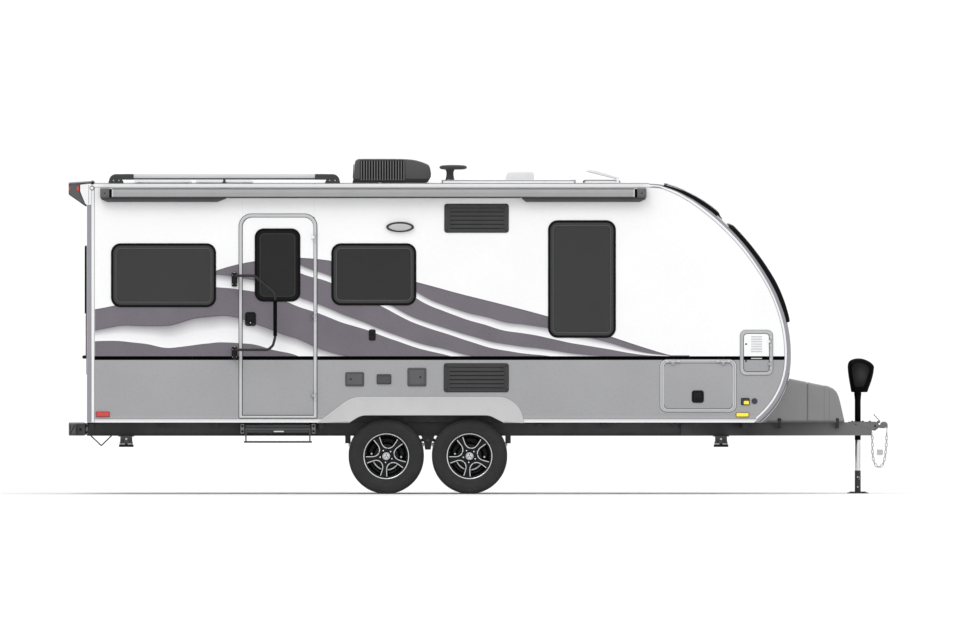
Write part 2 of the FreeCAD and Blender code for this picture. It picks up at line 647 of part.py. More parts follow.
lk2 = bx("door_latch_paddle", -2120.0, -2060.0, -1246.0, -1231.5, 1580.0, 1625.0)
node("entry_door", fuse("entry_door_fused", leaf_parts + [lk, lk2]))
node("entry_door_window", prism("door_glass", "XZ", [rr(DWIN, 60, -0.5)], "-half_width - 6", "8 - half_width"))

ringp = door_sketch("door_ring", (-2193.0, -1472.0, 690.0, 2564.0), 118, "-half_width - 11", "-half_width - 0.2",
                    [rounded(-2153, -1507, 724, 2528, 93, False)])
slv = door_sketch("door_sleeve", (-2159.5, -1500.5, 719.8, 2534.5), 0.01 + 99, "-half_width - 0.3", "wall_thick - half_width",
                  [rounded(-2153, -1507, 724, 2528, 93, False)])
node("entry_door_frame", fuse("entry_door_frame_fused", [ringp, slv] + frame_parts))

# ---------------------------------------------------------------- grab handle
gx, gy = -2233.0, -1309.0
gb = []
for _i, (_z0, _z1) in enumerate(((1898.0, 2024.0), (1232.0, 1345.0))):
    gb.append(cut("grab_bracket_%d" % _i,
                  fuse("grab_bracket_f_%d" % _i,
                       [bx("grab_base_%d" % _i, gx - 26, gx + 26, -1228.0, -1219.2, _z0, _z1),
                        bx("grab_arm_low_%d" % _i, gx - 14, gx + 14, -1318.0, -1224.0, _z0, _z0 + 11),
                        bx("grab_arm_high_%d" % _i, gx - 14, gx + 14, -1318.0, -1224.0, _z1 - 11, _z1)]),
                  cyl("grab_bracket_bore_%d" % _i, (gx, gy, _z0 - 10), (0, 0, 1), 5.0, 160.0)))
node("grab_handle_brackets", group("grab_handle_brackets_set", gb))
# The arms bow outwards from the pivots, so that the door's edge passes behind them as both turn.
go = gy - 70.0
gp = [(gx + 12, gy - 4, 1998), (-2175, gy - 39, 1998), (-2110, go, 1998), (-2050, go, 1998), (-1862, go, 1839), (-1860, go, 1446), (-1926, go, 1320),
      (-2110, go, 1320), (-2175, gy - 39, 1320), (gx + 12, gy - 4, 1320)]
gh = []
for _i in range(len(gp) - 1):
    gh.append(rod("grab_bar_%d" % _i, gp[_i], gp[_i + 1], 11.0))
    if _i:
        gh.append(ball("grab_knee_%d" % _i, gp[_i], 11.6))
gh.append(cyl("grab_grip", (-1861, go, 1446), (0, 0, 1), 18.0, 329.0))
for _i, (_z0, _z1) in enumerate(((1898.0, 2024.0), (1232.0, 1345.0))):
    gh.append(cyl("grab_barrel_%d" % _i, (gx, gy, _z0 + 13), (0, 0, 1), 13.0, _z1 - _z0 - 26))
    gh.append(cyl("grab_pin_%d" % _i, (gx, gy, _z0 + 4), (0, 0, 1), 4.6, _z1 - _z0 - 8))
    zz = 1998.0 if _i == 0 else 1320.0
    gh.append(rod("grab_stub_%d" % _i, (gx, gy, zz), (gx + 16, gy - 5, zz), 10.0))
node("grab_handle", fuse("grab_handle_fused", gh))

# ---------------------------------------------------------------- luggage doors, service door
for _s, _k in (("right", -1), ("left", 1)):
    a, b = sorted((_k * (RW + 5), _k * (RW - 30)))
    lf = prism("luggage_leaf_" + _s, "XZ", [rr(LUG, 34)], a, b)
    c, d = sorted((_k * (RW + 16), _k * (RW + 4.5)))
    lt = bx("luggage_latch_" + _s, 1951.0, 2062.0, c, d, 834.0, 948.0)
    hz, hyy = 1211.0, _k * (RW + 17)
    parts = [lf, lt]
    for _i, _x in enumerate((1780.0, 2240.0)):
        parts.append(cut("luggage_knuckle_%s_%d" % (_s, _i), cyl("luggage_kn_out_%s_%d" % (_s, _i), (_x - 30, hyy, hz), (1, 0, 0), 6.0, 60.0),
                         cyl("luggage_kn_bore_%s_%d" % (_s, _i), (_x - 40, hyy, hz), (1, 0, 0), 3.6, 80.0)))
        e, f = sorted((hyy + _k * 2.0, hyy - _k * 2.5))
        parts.append(bx("luggage_strap_%s_%d" % (_s, _i), _x - 28, _x + 28, e, f, 1160.0, 1206.5))
        e, f = sorted((hyy + _k * 2.0, _k * (RW + 4)))
        parts.append(bx("luggage_strap_foot_%s_%d" % (_s, _i), _x - 28, _x + 28, e, f, 1160.0, 1190.0))
    node("%s_luggage_door" % _s, fuse("luggage_door_fused_" + _s, parts))
lfr = []
for _s, _k in (("right", -1), ("left", 1)):
    a, b = sorted((_k * (RW + 0.2), _k * (RW + 10)))
    fp = [prism("luggage_frame_ring_" + _s, "XZ", [rounded(1662.6, 2358, 751, 1229, 60), rr(LUG, 34, 5)], a, b)]
    hz, hyy = 1211.0, _k * (RW + 17)
    for _i, _x in enumerate((1780.0, 2240.0)):
        fp.append(cyl("luggage_pin_%s_%d" % (_s, _i), (_x - 62, hyy, hz), (1, 0, 0), 3.0, 124.0))
        for _j, _q in (("a", _x - 62), ("b", _x + 34)):
            fp.append(cyl("luggage_end_%s_%s_%d" % (_j, _s, _i), (_q, hyy, hz), (1, 0, 0), 6.0, 28.0))
            e, f = sorted((hyy + _k * 3, _k * (RW + 9)))
            fp.append(bx("luggage_block_%s_%s_%d" % (_j, _s, _i), _q, _q + 28, e, f, 1208.0, 1222.0))
    lfr.append(fuse("luggage_frame_" + _s, fp))

SV = (2429.0, 2658.0, 1122.0, 1464.0)
svx, svy = 2670.0, -(RW + 17)
sp = [prism("service_leaf", "XZ", [rr(SV, 30)], -(RW + 11), -(RW + 0.8))]
sfp = [prism("service_frame_ring", "XZ", [rounded(2395, 2692, 1089, 1498, 50), rr(SV, 30, 5)], -(RW + 10), -(RW + 0.2))]
for _i, _z in enumerate((1190.0, 1396.0)):
    sp.append(cut("service_knuckle_%d" % _i, cyl("service_kn_out_%d" % _i, (svx, svy, _z - 22), (0, 0, 1), 6.0, 44.0),
                  cyl("service_kn_bore_%d" % _i, (svx, svy, _z - 30), (0, 0, 1), 3.6, 60.0)))
    sp.append(bx("service_strap_%d" % _i, 2628.0, 2665.5, svy - 2.0, svy + 2.5, _z - 20, _z + 20))
    sp.append(bx("service_strap_foot_%d" % _i, 2628.0, 2654.0, svy - 2.0, -(RW + 10.5), _z - 20, _z + 20))
    sfp.append(cyl("service_pin_%d" % _i, (svx, svy, _z - 50), (0, 0, 1), 3.0, 100.0))
    for _j, _q in (("a", _z - 50), ("b", _z + 26)):
        sfp.append(cyl("service_end_%s_%d" % (_j, _i), (svx, svy, _q), (0, 0, 1), 6.0, 24.0))
        sfp.append(bx("service_block_%s_%d" % (_j, _i), 2667.0, 2684.0, svy - 3, -(RW + 9), _q, _q + 24))
node("front_service_door", fuse("service_door_fused", sp))
node("locker_frames", group("locker_frames_set", lfr + [fuse("service_frame_fused", sfp)]))

# ---------------------------------------------------------------- outside fittings
def side_box(name, x0, x1, z0, z1, out_by, k=-1, r=None):
    a, b = sorted((k * (RW + 0.2), k * (RW + out_by)))
    if r:
        return prism(name, "XZ", [rounded(x0, x1, z0, z1, r)], a, b)
    return bx(name, float(x0), float(x1), a, b, float(z0), float(z1))


hat = [side_box("hatch_a", -1216, -1050, 988, 1112, 14, -1, 10), side_box("hatch_b", -929, -801, 1007, 1093, 18, -1, 10),
       side_box("hatch_c", -647, -480, 988, 1151, 14, -1, 10), side_box("latch_keeper", -1004, -941, 1404, 1507, 16, -1, 12),
       side_box("left_water_inlet_plate", -2340, -2190, 900, 1050, 12, 1, 14), side_box("left_power_hatch", -3240, -3090, 900, 1050, 36, 1, 14),
       side_box("left_heater_door", 500, 850, 900, 1240, 12, 1, 12), side_box("left_vent_cover", -300, -120, 1500, 1680, 26, 1, 20),
       side_box("left_exhaust_cowl", 960, 1100, 1010, 1130, 96, 1, 14)]
inl = cyl("water_inlet_bore", (-2265, RW - 20, 975), (0, 1, 0), 13.2, 60.0)
inlo = cyl("water_inlet_collar", (-2265, RW + 11, 975), (0, 1, 0), 24.0, 14.0)
hat[4] = cut("left_water_inlet", fuse("left_water_inlet_f", [hat[4], inlo]), inl)
ven = [side_box("fridge_vent_upper", -311, 274.5, 2393, 2653, 16, -1, 12), side_box("fridge_vent_lower", -316, 274.5, 934, 1194, 16, -1, 12)]
node("service_hatches", group("service_hatches_set", hat + ven))
lamps = [side_box("marker_front", 2356, 2475, 704.5, 746, 18), side_box("marker_rear", -3500, -3376, 704.5, 753, 18),
         side_box("marker_high", 2402, 2480, 814, 878, 16), side_box("inlet_round_base", 2497, 2552, 822, 877, 10),
         side_box("marker_front_left", 2356, 2475, 704.5, 746, 18, 1), side_box("marker_rear_left", -3500, -3376, 704.5, 753, 18, 1),
         side_box("porch_lamp", -846, -590, 2395, 2491, 40, -1, 46)]
for _s, _k in (("right", -1), ("left", 1)):
    a, b = sorted((_k * 1000.0, _k * 1150.0))
    lamps.append(bx("tail_lamp_" + _s, REAR - 12, REAR - 0.2, a, b, 1257.0, 1643.0))
lamps.append(bx("rear_plate_holder", REAR - 42, REAR - 0.2, -180.0, 180.0, 1232.0, 1264.0))
node("exterior_lamps", group("exterior_lamps_set", lamps))

# Awning: cassette, end caps and folded arms.
prof = [("A", (-1221, 2712), (-1319, 2754), (-1221, 2796)), ("L", (-1221, 2796), (-1221, 2712))]
case = prism("awning_case", "YZ", [[("L", (-1219.3, 2712), (-1285, 2712)), ("A", (-1285, 2712), (-1323, 2754), (-1285, 2796)),
                                    ("L", (-1285, 2796), (-1219.3, 2796)), ("L", (-1219.3, 2796), (-1219.3, 2712))]], -3353.0, 1427.0)
caps = []
for nm, x0, x1 in (("rear", -3463.0, -3354.0), ("front", 1428.0, 1537.0)):
    caps.append(prism("awning_cap_" + nm, "YZ", [[("L", (-1219.3, 2706), (-1285, 2706)), ("A", (-1285, 2706), (-1327, 2753), (-1285, 2799)),
                                                  ("L", (-1285, 2799), (-1219.3, 2799)), ("L", (-1219.3, 2799), (-1219.3, 2706))]], x0, x1))
arms = [bx("awning_arm_rear", -3460.0, -2303.0, -1262.0, -1219.3, 2671.0, 2705.0), bx("awning_arm_front", 395.0, 1534.0, -1262.0, -1219.3, 2671.0, 2705.0)]
node("awning_cassette", group("awning_cassette_set", [case] + caps + arms))

RT = num("roof_top") + 0.3
ac = prism("ac_body", "XZ", [poly([(-1152, RT), (-480, RT), (-435, 2919), (-470, 2960), (-540, 3005), (-610, 3035), (-682, 3056),
                                   (-740, 3061), (-1080, 3061), (-1120, 3045), (-1140, 3000)])], -340.0, 340.0)
node("air_conditioner", ac)
ant = fuse("antenna_fused", [cyl("antenna_base", (-261, -420, RT + 28.5), (0, 0, 1), 42.0, 10.0), cyl("antenna_stem", (-261, -420, RT + 30), (0, 0, 1), 22.0, 130.0),
                             bx("antenna_head", -358.0, -105.0, -540.0, -300.0, 2964.0, 3008.0)])
low_panel = bx("solar_low", -337.0, 889.0, -560.0, 560.0, RT, 2871.0)
vents = [prism("vent_hump", "XZ", [poly([(242, 2871.5), (508, 2871.5), (500, 2905), (470, 2938), (430, 2946), (320, 2946), (280, 2938), (250, 2905)])], -160.0, 160.0),
         cut("vent_collar", bx("vent_collar_out", 969.0, 1284.0, -178.0, 178.0, RT, 2868.0), bx("vent_collar_in", 991.0, 1262.0, -156.0, 156.0, RT - 5, 2880.0))]
LA = 14.0
lx, lz = 1275.0, 2884.0
# Ears beside the collar that carry the lid's hinge pin.
for _s, _k in (("right", -1), ("left", 1)):
    vents.append(cut("vent_ear_" + _s, bx("vent_ear_plate_" + _s, 1262.0, 1288.0, min(_k * 186.8, _k * 194.8), max(_k * 186.8, _k * 194.8), RT, 2894.0),
                     cyl("vent_ear_hole_" + _s, (lx, _k * 190.8 - 10.0, lz), (0, 1, 0), 5.4, 20.0)))
node("roof_fittings", group("roof_fittings_set", vents + [ant]))


def lid_pt(x, z):
    """Lid drawn shut (x forward of the hinge is negative), turned open about its hinge."""
    a = math.radians(LA)
    dx, dz = x - lx, z - lz
    return (lx + dx * math.cos(a) + dz * math.sin(a), lz - dx * math.sin(a) + dz * math.cos(a))


lid = prism("vent_lid", "XZ", [poly([lid_pt(975, 2874), lid_pt(1283, 2874), lid_pt(1283, 2890), lid_pt(1240, 2910), lid_pt(1015, 2910), lid_pt(975, 2892)])],
            -186.0, 186.0)
node("roof_vent_lid", fuse("vent_lid_pinned", [lid, cyl("vent_lid_pin", (lx, -193.0, lz), (0, 1, 0), 5.0, 386.0)]))
rack = []
for _s, _k in (("right", -1), ("left", 1)):
    y = _k * 960.0
    pts = [("rear", -3384.0, -3157.0), ("front", -1450.0, -1267.0)]
    pr = [cyl("rack_bar_" + _s, (-3180, y, 2892), (1, 0, 0), 17.0, 1765.0)]
    for nm, x0, x1 in pts:
        pr.append(prism("rack_foot_%s_%s" % (nm, _s), "XZ", [poly([(x0, RT), (x1, RT), (x1 - 20, 2908), (x0 + 60, 2912)] if nm == "rear" else
                                                                  [(x0, RT), (x1, RT), (x1 - 60, 2912), (x0 + 20, 2908)])], y - 26, y + 26))
    pr.append(bx("rack_foot_mid_" + _s, -2360.0, -2290.0, y - 24, y + 24, RT, 2895.0))
    rack.append(fuse("rack_" + _s, pr))
node("roof_rack", group("roof_rack_set", rack))
node("solar_panels", group("solar_panels_set", [low_panel, bx("solar_a", -3150.0, -2620.0, -760.0, 760.0, RT + 6, 2862.0), bx("solar_b", -2590.0, -2060.0, -760.0, 760.0, RT + 6, 2862.0)]))

bump = bx("bumper_tube", -3700.0, -3600.0, -1100.0, 1100.0, 533.0, 646.0)
bc = [bx("bumper_cap_right", -3750.0, -3682.0, -1180.0, -1101.0, 533.0, 646.0), bx("bumper_cap_left", -3750.0, -3682.0, 1101.0, 1180.0, 533.0, 646.0)]
bb = [bx("bumper_bracket_right", -3600.0, -3583.0, -905.0, -855.0, 533.0, 646.0), bx("bumper_bracket_left", -3600.0, -3583.0, 855.0, 905.0, 533.0, 646.0)]
bump2 = bx("bumper_face", -3750.0, -3699.0, -1100.0, 1100.0, 533.0, 646.0)
node("rear_bumper", fuse("rear_bumper_fused", [bump, bump2] + bc + bb))

spo = prism("spoiler", "XZ", [poly([(-3751, 2837), (-3512, 2856), (-3512, 2843.4), (-3584.6, 2843.4), (-3584.6, 2632), (-3590, 2628), (-3747, 2738)])], -1200.0, 1200.0)
node("rear_spoiler", spo)

arch = []
for _s, _k in (("right", -1), ("left", 1)):
    a, b = sorted((_k * (RW + 0.2), _k * (RW + 12)))
    arch.append(prism("arch_rear_" + _s, "XZ", [poly([(-1478, 650), (-1185, 650), (-1112, 697), (-1095, 719), (-1393, 719), (-1478, 652)])], a, b))
    arch.append(prism("arch_top_" + _s, "XZ", [poly([(-1393, 719.5), (342, 719.5), (290, 775), (178, 887), (-1090, 887), (-1176, 874), (-1331, 787)])], a, b))
    arch.append(prism("arch_front_" + _s, "XZ", [poly([(143, 719), (160, 697), (233, 650), (413, 650), (370, 700), (345, 719)])], a, b))
node("wheel_arch_trims", group("wheel_arch_trims_set", arch))

# ---------------------------------------------------------------- axles, springs, wheels
AX = {"rear": -num("axle_rear"), "front": num("axle_front") * -1}
AZ = num("axle_height")
axl = []
for nm, x in AX.items():
    axl.append(fuse("axle_" + nm, [rod("axle_tube_" + nm, (x, -890, AZ), (x, 890, AZ), 38.0)] +
                    [rod("spindle_%s_%s" % (nm, _s), (x, _k * 880, AZ), (x, _k * 1085, AZ), 17.0) for _s, _k in (("right", -1), ("left", 1))]))
    for _s, _k in (("right", -1), ("left", 1)):
        axl.append(cut("brake_plate_%s_%s" % (nm, _s), rod("brake_disc_%s_%s" % (nm, _s), (x, _k * 930, AZ), (x, _k * 938, AZ), 140.0),
                       rod("brake_hole_%s_%s" % (nm, _s), (x, _k * 920, AZ), (x, _k * 948, AZ), 17.6)))
node("axles", group("axles_set", axl))

spr = []
for _s, _k in (("right", -1), ("left", 1)):
    for nm, x in AX.items():
        z0 = AZ + 40
        lo = [(x - 330, z0 + 55), (x - 180, z0 + 22), (x, z0 + 2), (x + 180, z0 + 22), (x + 330, z0 + 55)]
        hi = [(p[0], p[1] + 12) for p in lo]
        mid = [(x - 190, z0 + 33), (x, z0 + 13), (x + 190, z0 + 33)]
        segs = [("A", lo[0], lo[2], lo[4]), ("L", lo[4], hi[4]), ("A", hi[4], (x, z0 + 30), hi[0]), ("L", hi[0], lo[0])]
        spr.append(prism("spring_%s_%s" % (nm, _s), "XZ", [segs], _k * 880.0 - 22, _k * 880.0 + 22))
    hz = 468.0
    spr.append(prism("equalizer_" + _s, "XZ", [poly([(-560, 455), (-463, 500), (-366, 455), (-366, 478), (-463, 529), (-560, 478)])], _k * 880.0 - 20, _k * 880.0 + 20))
    for nm, x in (("rear", -1195.0), ("front", 270.0)):
        spr.append(bx("hanger_%s_%s" % (nm, _s), x - 25, x + 25, _k * 880.0 - 24, _k * 880.0 + 24, 462.0, 530.5))
node("leaf_springs", group("leaf_springs_set", spr))


def wheel(nm, x, k):
    y = k * num("track_half")
    d = (0, k, 0)       # outwards
    # drop centre rim, turned: (along the axle outwards, radius)
    R0, R1 = num("rim_seat"), num("rim_radius")
    rim = turned("rim_" + nm, [(-86, R1), (-78, R1), (-78, R0 + 5.5), (-74, R0 + 1.5), (-50, R0 - 1.5), (-40, R0 - 22.5), (20, R0 - 22.5),
                               (34, R0 - 1.5), (74, R0 + 1.5), (78, R0 + 5.5), (78, R1), (86, R1), (86, R1 - 9), (80, R1 - 14),
                               (72, R0 - 5), (37, R0 - 8), (24, R0 - 29), (-43, R0 - 29), (-53, R0 - 8), (-80, R0 - 5), (-86, R1 - 9)],
                 (x, y, AZ), d)
    parts = [rim]
    hub = turned("hub_" + nm, [(-118, 20), (36, 20), (36, 0), (76, 0), (76, 34), (64, 38), (44, 40), (44, 80), (26, 84), (4, 84),
                               (-12, 118), (-116, 124), (-116, 118), (-16, 108), (-4, 78), (-20, 62), (-118, 62)],
                 (x, y, AZ), d)
    parts.append(hub)
    for i in range(5):
        a = math.radians(270 + 72 * i)
        # spoke: block from the hub to the rim
        sp = doc.addObject("Part::Box", "spoke_%s_%d" % (nm, i))
        sp.setExpression("Length", ref(123.0, "spoke_%s_%d_long" % (nm, i)))
        sp.setExpression("Width", ref(58.0, "spoke_%s_%d_wide" % (nm, i)))
        sp.setExpression("Height", ref(26.0, "spoke_%s_%d_deep" % (nm, i)))
        # local x radial, local z outwards along the axle
        rx = V(math.cos(a), 0, math.sin(a))
        zz = V(0, k, 0)
        yy = zz.cross(rx)
        m = FreeCAD.Matrix(rx.x, yy.x, zz.x, 0, rx.y, yy.y, zz.y, 0, rx.z, yy.z, zz.z, 0, 0, 0, 0, 1)
        base = V(x, y, AZ) + rx * 60 + yy * (-29) + zz * 36
        m.A14, m.A24, m.A34 = base.x, base.y, base.z
        sp.Placement = FreeCAD.Placement(m)
        parts.append(sp)
    w = fuse("wheel_fused_" + nm, parts)
    node(nm + "_wheel", w)
    RT_, h = num("tyre_radius"), num("tyre_half")
    ty = turned("tyre_" + nm, [(-77.6, R0 + 6), (-77.6, R1 + 0.4), (-84, R1 + 4), (-96, 240), (-h, 275), (-99, 310), (-88, RT_ - 12), (-78, RT_ - 4),
                               (-68, RT_), (68, RT_), (78, RT_ - 4), (88, RT_ - 12), (99, 310), (h, 275), (96, 240), (84, R1 + 4), (77.6, R1 + 0.4),
                               (77.6, R0 + 6), (73.6, R0 + 2.1), (60, R0 + 0.6), (58, 206), (70, 226), (84, 250), (89, 277), (86, 303), (76, 320), (60, 326),
                               (-60, 326), (-76, 320), (-86, 303), (-89, 277), (-84, 250), (-70, 226), (-58, 206), (-60, R0 + 0.6), (-73.6, R0 + 2.1)],
                (x, y, AZ), d)
    node(nm + "_tyre", ty)


for _nm, _x, _k in (("right_rear", AX["rear"], -1), ("right_front", AX["front"], -1), ("left_rear", AX["rear"], 1), ("left_front", AX["front"], 1)):
    wheel(_nm, _x, _k)

# ---------------------------------------------------------------- entry step
sp = [bx("step_tread", -2132.0, -1538.0, -1200.0, -960.0, 606.0, 631.0), bx("step_side_rear", -2132.0, -2120.0, -1196.0, -930.0, 545.0, 631.0),
      bx("step_side_front", -1550.0, -1538.0, -1196.0, -930.0, 545.0, 631.0), bx("step_front", -2132.0, -1538.0, -1200.0, -1188.0, 560.0, 631.0),
      bx("step_lower_lip", -2146.0, -1524.0, -1212.0, -1196.0, 468.0, 485.0),
      bx("step_rod_rear", -2127.0, -2115.0, -1208.0, -1196.0, 470.0, 600.0), bx("step_rod_front", -1556.0, -1544.0, -1208.0, -1196.0, 470.0, 600.0)]
node("entry_step", fuse("entry_step_fused", sp))

# ---------------------------------------------------------------- stabilizers
chn = []
PV = 485.0
for nm, x in (("rear", -3223.0), ("front", 2219.0)):
    for _s, _k in (("right", -1), ("left", 1)):
        a, b = sorted((_k * 560.0, _k * 1120.0))
        chn.append(bx("stab_top_%s_%s" % (nm, _s), x - 70, x + 70, a, b, 526.0, 530.5))
        for _j, q in (("a", x - 54), ("b", x + 49)):
            chn.append(bx("stab_cheek_%s_%s_%s" % (_j, nm, _s), q, q + 5, a, b, 458.0, 525.5))
        # leg: pivots inboard, folded up flat inside its channel, with a fork at its end for the foot
        e, f = sorted((_k * 600.0, _k * 1122.0))
        lg = bx("stab_bar_%s_%s" % (nm, _s), x - 42, x + 42, e, f, PV - 15, PV + 15)
        hb = cyl("stab_pivot_%s_%s" % (nm, _s), (x - 46, _k * 600.0, PV), (1, 0, 0), 15.0, 92.0)
        e, f = sorted((_k * 1076.0, _k * 1130.0))
        slot = bx("stab_slot_%s_%s" % (nm, _s), x - 20, x + 20, e, f, PV - 30, PV + 30)
        pin = cyl("stab_foot_pin_%s_%s" % (nm, _s), (x - 30, _k * 1100.0, PV - 5), (1, 0, 0), 6.0, 60.0)
        node("%s_%s_stabilizer_leg" % (_s, nm), fuse("stab_fused_%s_%s" % (nm, _s), [cut("stab_leg_%s_%s" % (nm, _s), fuse("stab_lb_%s_%s" % (nm, _s), [lg, hb]), slot), pin]))
        e, f = sorted((_k * 1040.0, _k * 1160.0))
        ft = bx("stab_foot_%s_%s" % (nm, _s), x - 67, x + 67, e, f, 430.0, 438.0)
        e, f = sorted((_k * 1088.0, _k * 1112.0))
        ear = bx("stab_ear_%s_%s" % (nm, _s), x - 14, x + 14, e, f, 437.0, PV - 5)
        eye = cyl("stab_eye_%s_%s" % (nm, _s), (x - 14, _k * 1100.0, PV - 5), (1, 0, 0), 12.0, 28.0)
        hole = cyl("stab_eye_bore_%s_%s" % (nm, _s), (x - 40, _k * 1100.0, PV - 5), (1, 0, 0), 6.4, 80.0)
        node("%s_%s_stabilizer_foot" % (_s, nm), cut("stab_foot_cut_%s_%s" % (nm, _s), fuse("stab_foot_f_%s_%s" % (nm, _s), [ft, ear, eye]), hole))
node("stabilizer_channels", group("stabilizer_channels_set", chn))

# ---------------------------------------------------------------- interior seen through the door and windows
inn = [bx("galley_front", -2350.0, -1250.0, 560.0, 580.0, 720.0, 1560.0), bx("galley_side_rear", -2350.0, -2330.0, 580.5, 1172.0, 701.0, 1560.0),
       bx("galley_side_front", -1270.0, -1250.0, 580.5, 1172.0, 701.0, 1560.0), bx("galley_top", -2370.0, -1230.0, 540.0, 1172.0, 1560.5, 1600.0),
       bx("overhead_front", -2350.0, -1250.0, 850.0, 868.0, 2200.0, 2700.0), bx("overhead_base", -2350.0, -1250.0, 850.0, 1172.0, 2181.0, 2199.5),
       bx("overhead_side_rear", -2350.0, -2332.0, 868.5, 1172.0, 2200.0, 2700.0), bx("overhead_side_front", -1268.0, -1250.0, 868.5, 1172.0, 2200.0, 2700.0),
       bx("fridge_front", -330.0, 290.0, -580.0, -560.0, 701.0, 2700.0), bx("fridge_side_rear", -330.0, -312.0, -1172.0, -580.5, 876.0, 2700.0),
       bx("fridge_side_front", 272.0, 290.0, -1172.0, -580.5, 876.0, 2700.0),
       bx("sofa_base", -2900.0, -2880.0, -1172.0, 1172.0, 701.0, 1090.0), bx("sofa_seat", -3535.0, -2880.0, -1172.0, 1172.0, 1090.5, 1210.0),
       bx("sofa_back", -3535.0, -3430.0, -1172.0, 1172.0, 1210.5, 1600.0),
       bx("bed_bulkhead", 1500.0, 1518.0, -1172.0, 1172.0, 701.0, 1225.0), bx("bed_board", 1500.0, 2640.0, -1172.0, 1172.0, 1225.5, 1243.0),
       bx("bed_mattress", 1502.0, 2630.0, -1165.0, 1165.0, 1243.5, 1400.0)]
node("interior_fittings", group("interior_fittings_set", inn))

# ---------------------------------------------------------------- checks and files
doc.recompute()
bad = [o.Name for o in doc.Objects if "Invalid" in o.State or "Error" in o.State]
if bad:
    raise RuntimeError("objects in error: " + ", ".join(bad))
os.makedirs("parts", exist_ok=True)
for old in os.listdir("parts"):
    if old.endswith(".step"):
        os.remove(os.path.join("parts", old))
names = [n for n, _ in NODES]
if len(set(names)) != len(names):
    raise RuntimeError("two sub-parts share a name")
for label, obj in NODES:
    s = obj.Shape
    if s.isNull() or not s.isValid() or not s.Solids or s.Volume <= 0:
        raise RuntimeError("bad shape: " + label)
    s.exportStep("parts/%s.step" % label)
print("nodes", len(NODES), "solids", sum(len(o.Shape.Solids) for _, o in NODES))
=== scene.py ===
import math
import random

import bmesh
import bpy
from mathutils import Matrix, Vector


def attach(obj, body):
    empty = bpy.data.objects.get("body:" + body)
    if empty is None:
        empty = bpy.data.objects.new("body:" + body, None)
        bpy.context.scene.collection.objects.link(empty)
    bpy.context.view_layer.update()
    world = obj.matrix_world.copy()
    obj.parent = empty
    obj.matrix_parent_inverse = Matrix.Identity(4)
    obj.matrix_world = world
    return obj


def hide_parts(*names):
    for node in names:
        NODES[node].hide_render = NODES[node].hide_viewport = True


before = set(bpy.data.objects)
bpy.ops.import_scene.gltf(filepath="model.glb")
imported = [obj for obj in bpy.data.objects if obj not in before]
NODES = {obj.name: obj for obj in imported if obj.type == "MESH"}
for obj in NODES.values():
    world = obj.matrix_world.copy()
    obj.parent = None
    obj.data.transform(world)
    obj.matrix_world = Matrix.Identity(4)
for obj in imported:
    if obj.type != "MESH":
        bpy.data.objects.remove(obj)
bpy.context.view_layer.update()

# Travel caravan, visual model. Lengths in the helpers are millimetres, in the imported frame:
# X forward to the hitch, Y to the left side, Z up, ground at 0. The door side is -Y.
MM = 0.001
sc = bpy.context.scene


# ------------------------------------------------------------------ camera
ELEV = math.radians(0.25)
cam_data = bpy.data.cameras.new("camera")
cam_data.type = "ORTHO"
cam_data.ortho_scale = 8.784
cam_data.clip_end = 2400.0
cam = bpy.data.objects.new("camera", cam_data)
sc.collection.objects.link(cam)
_back = Vector((0.0, -math.cos(ELEV), math.sin(ELEV)))
cam.location = Vector((0.0137, -1.22, 1.592)) + _back * 330.0
cam.rotation_mode = "QUATERNION"
cam.rotation_quaternion = (-_back).to_track_quat("-Z", "Y")
sc.camera = cam


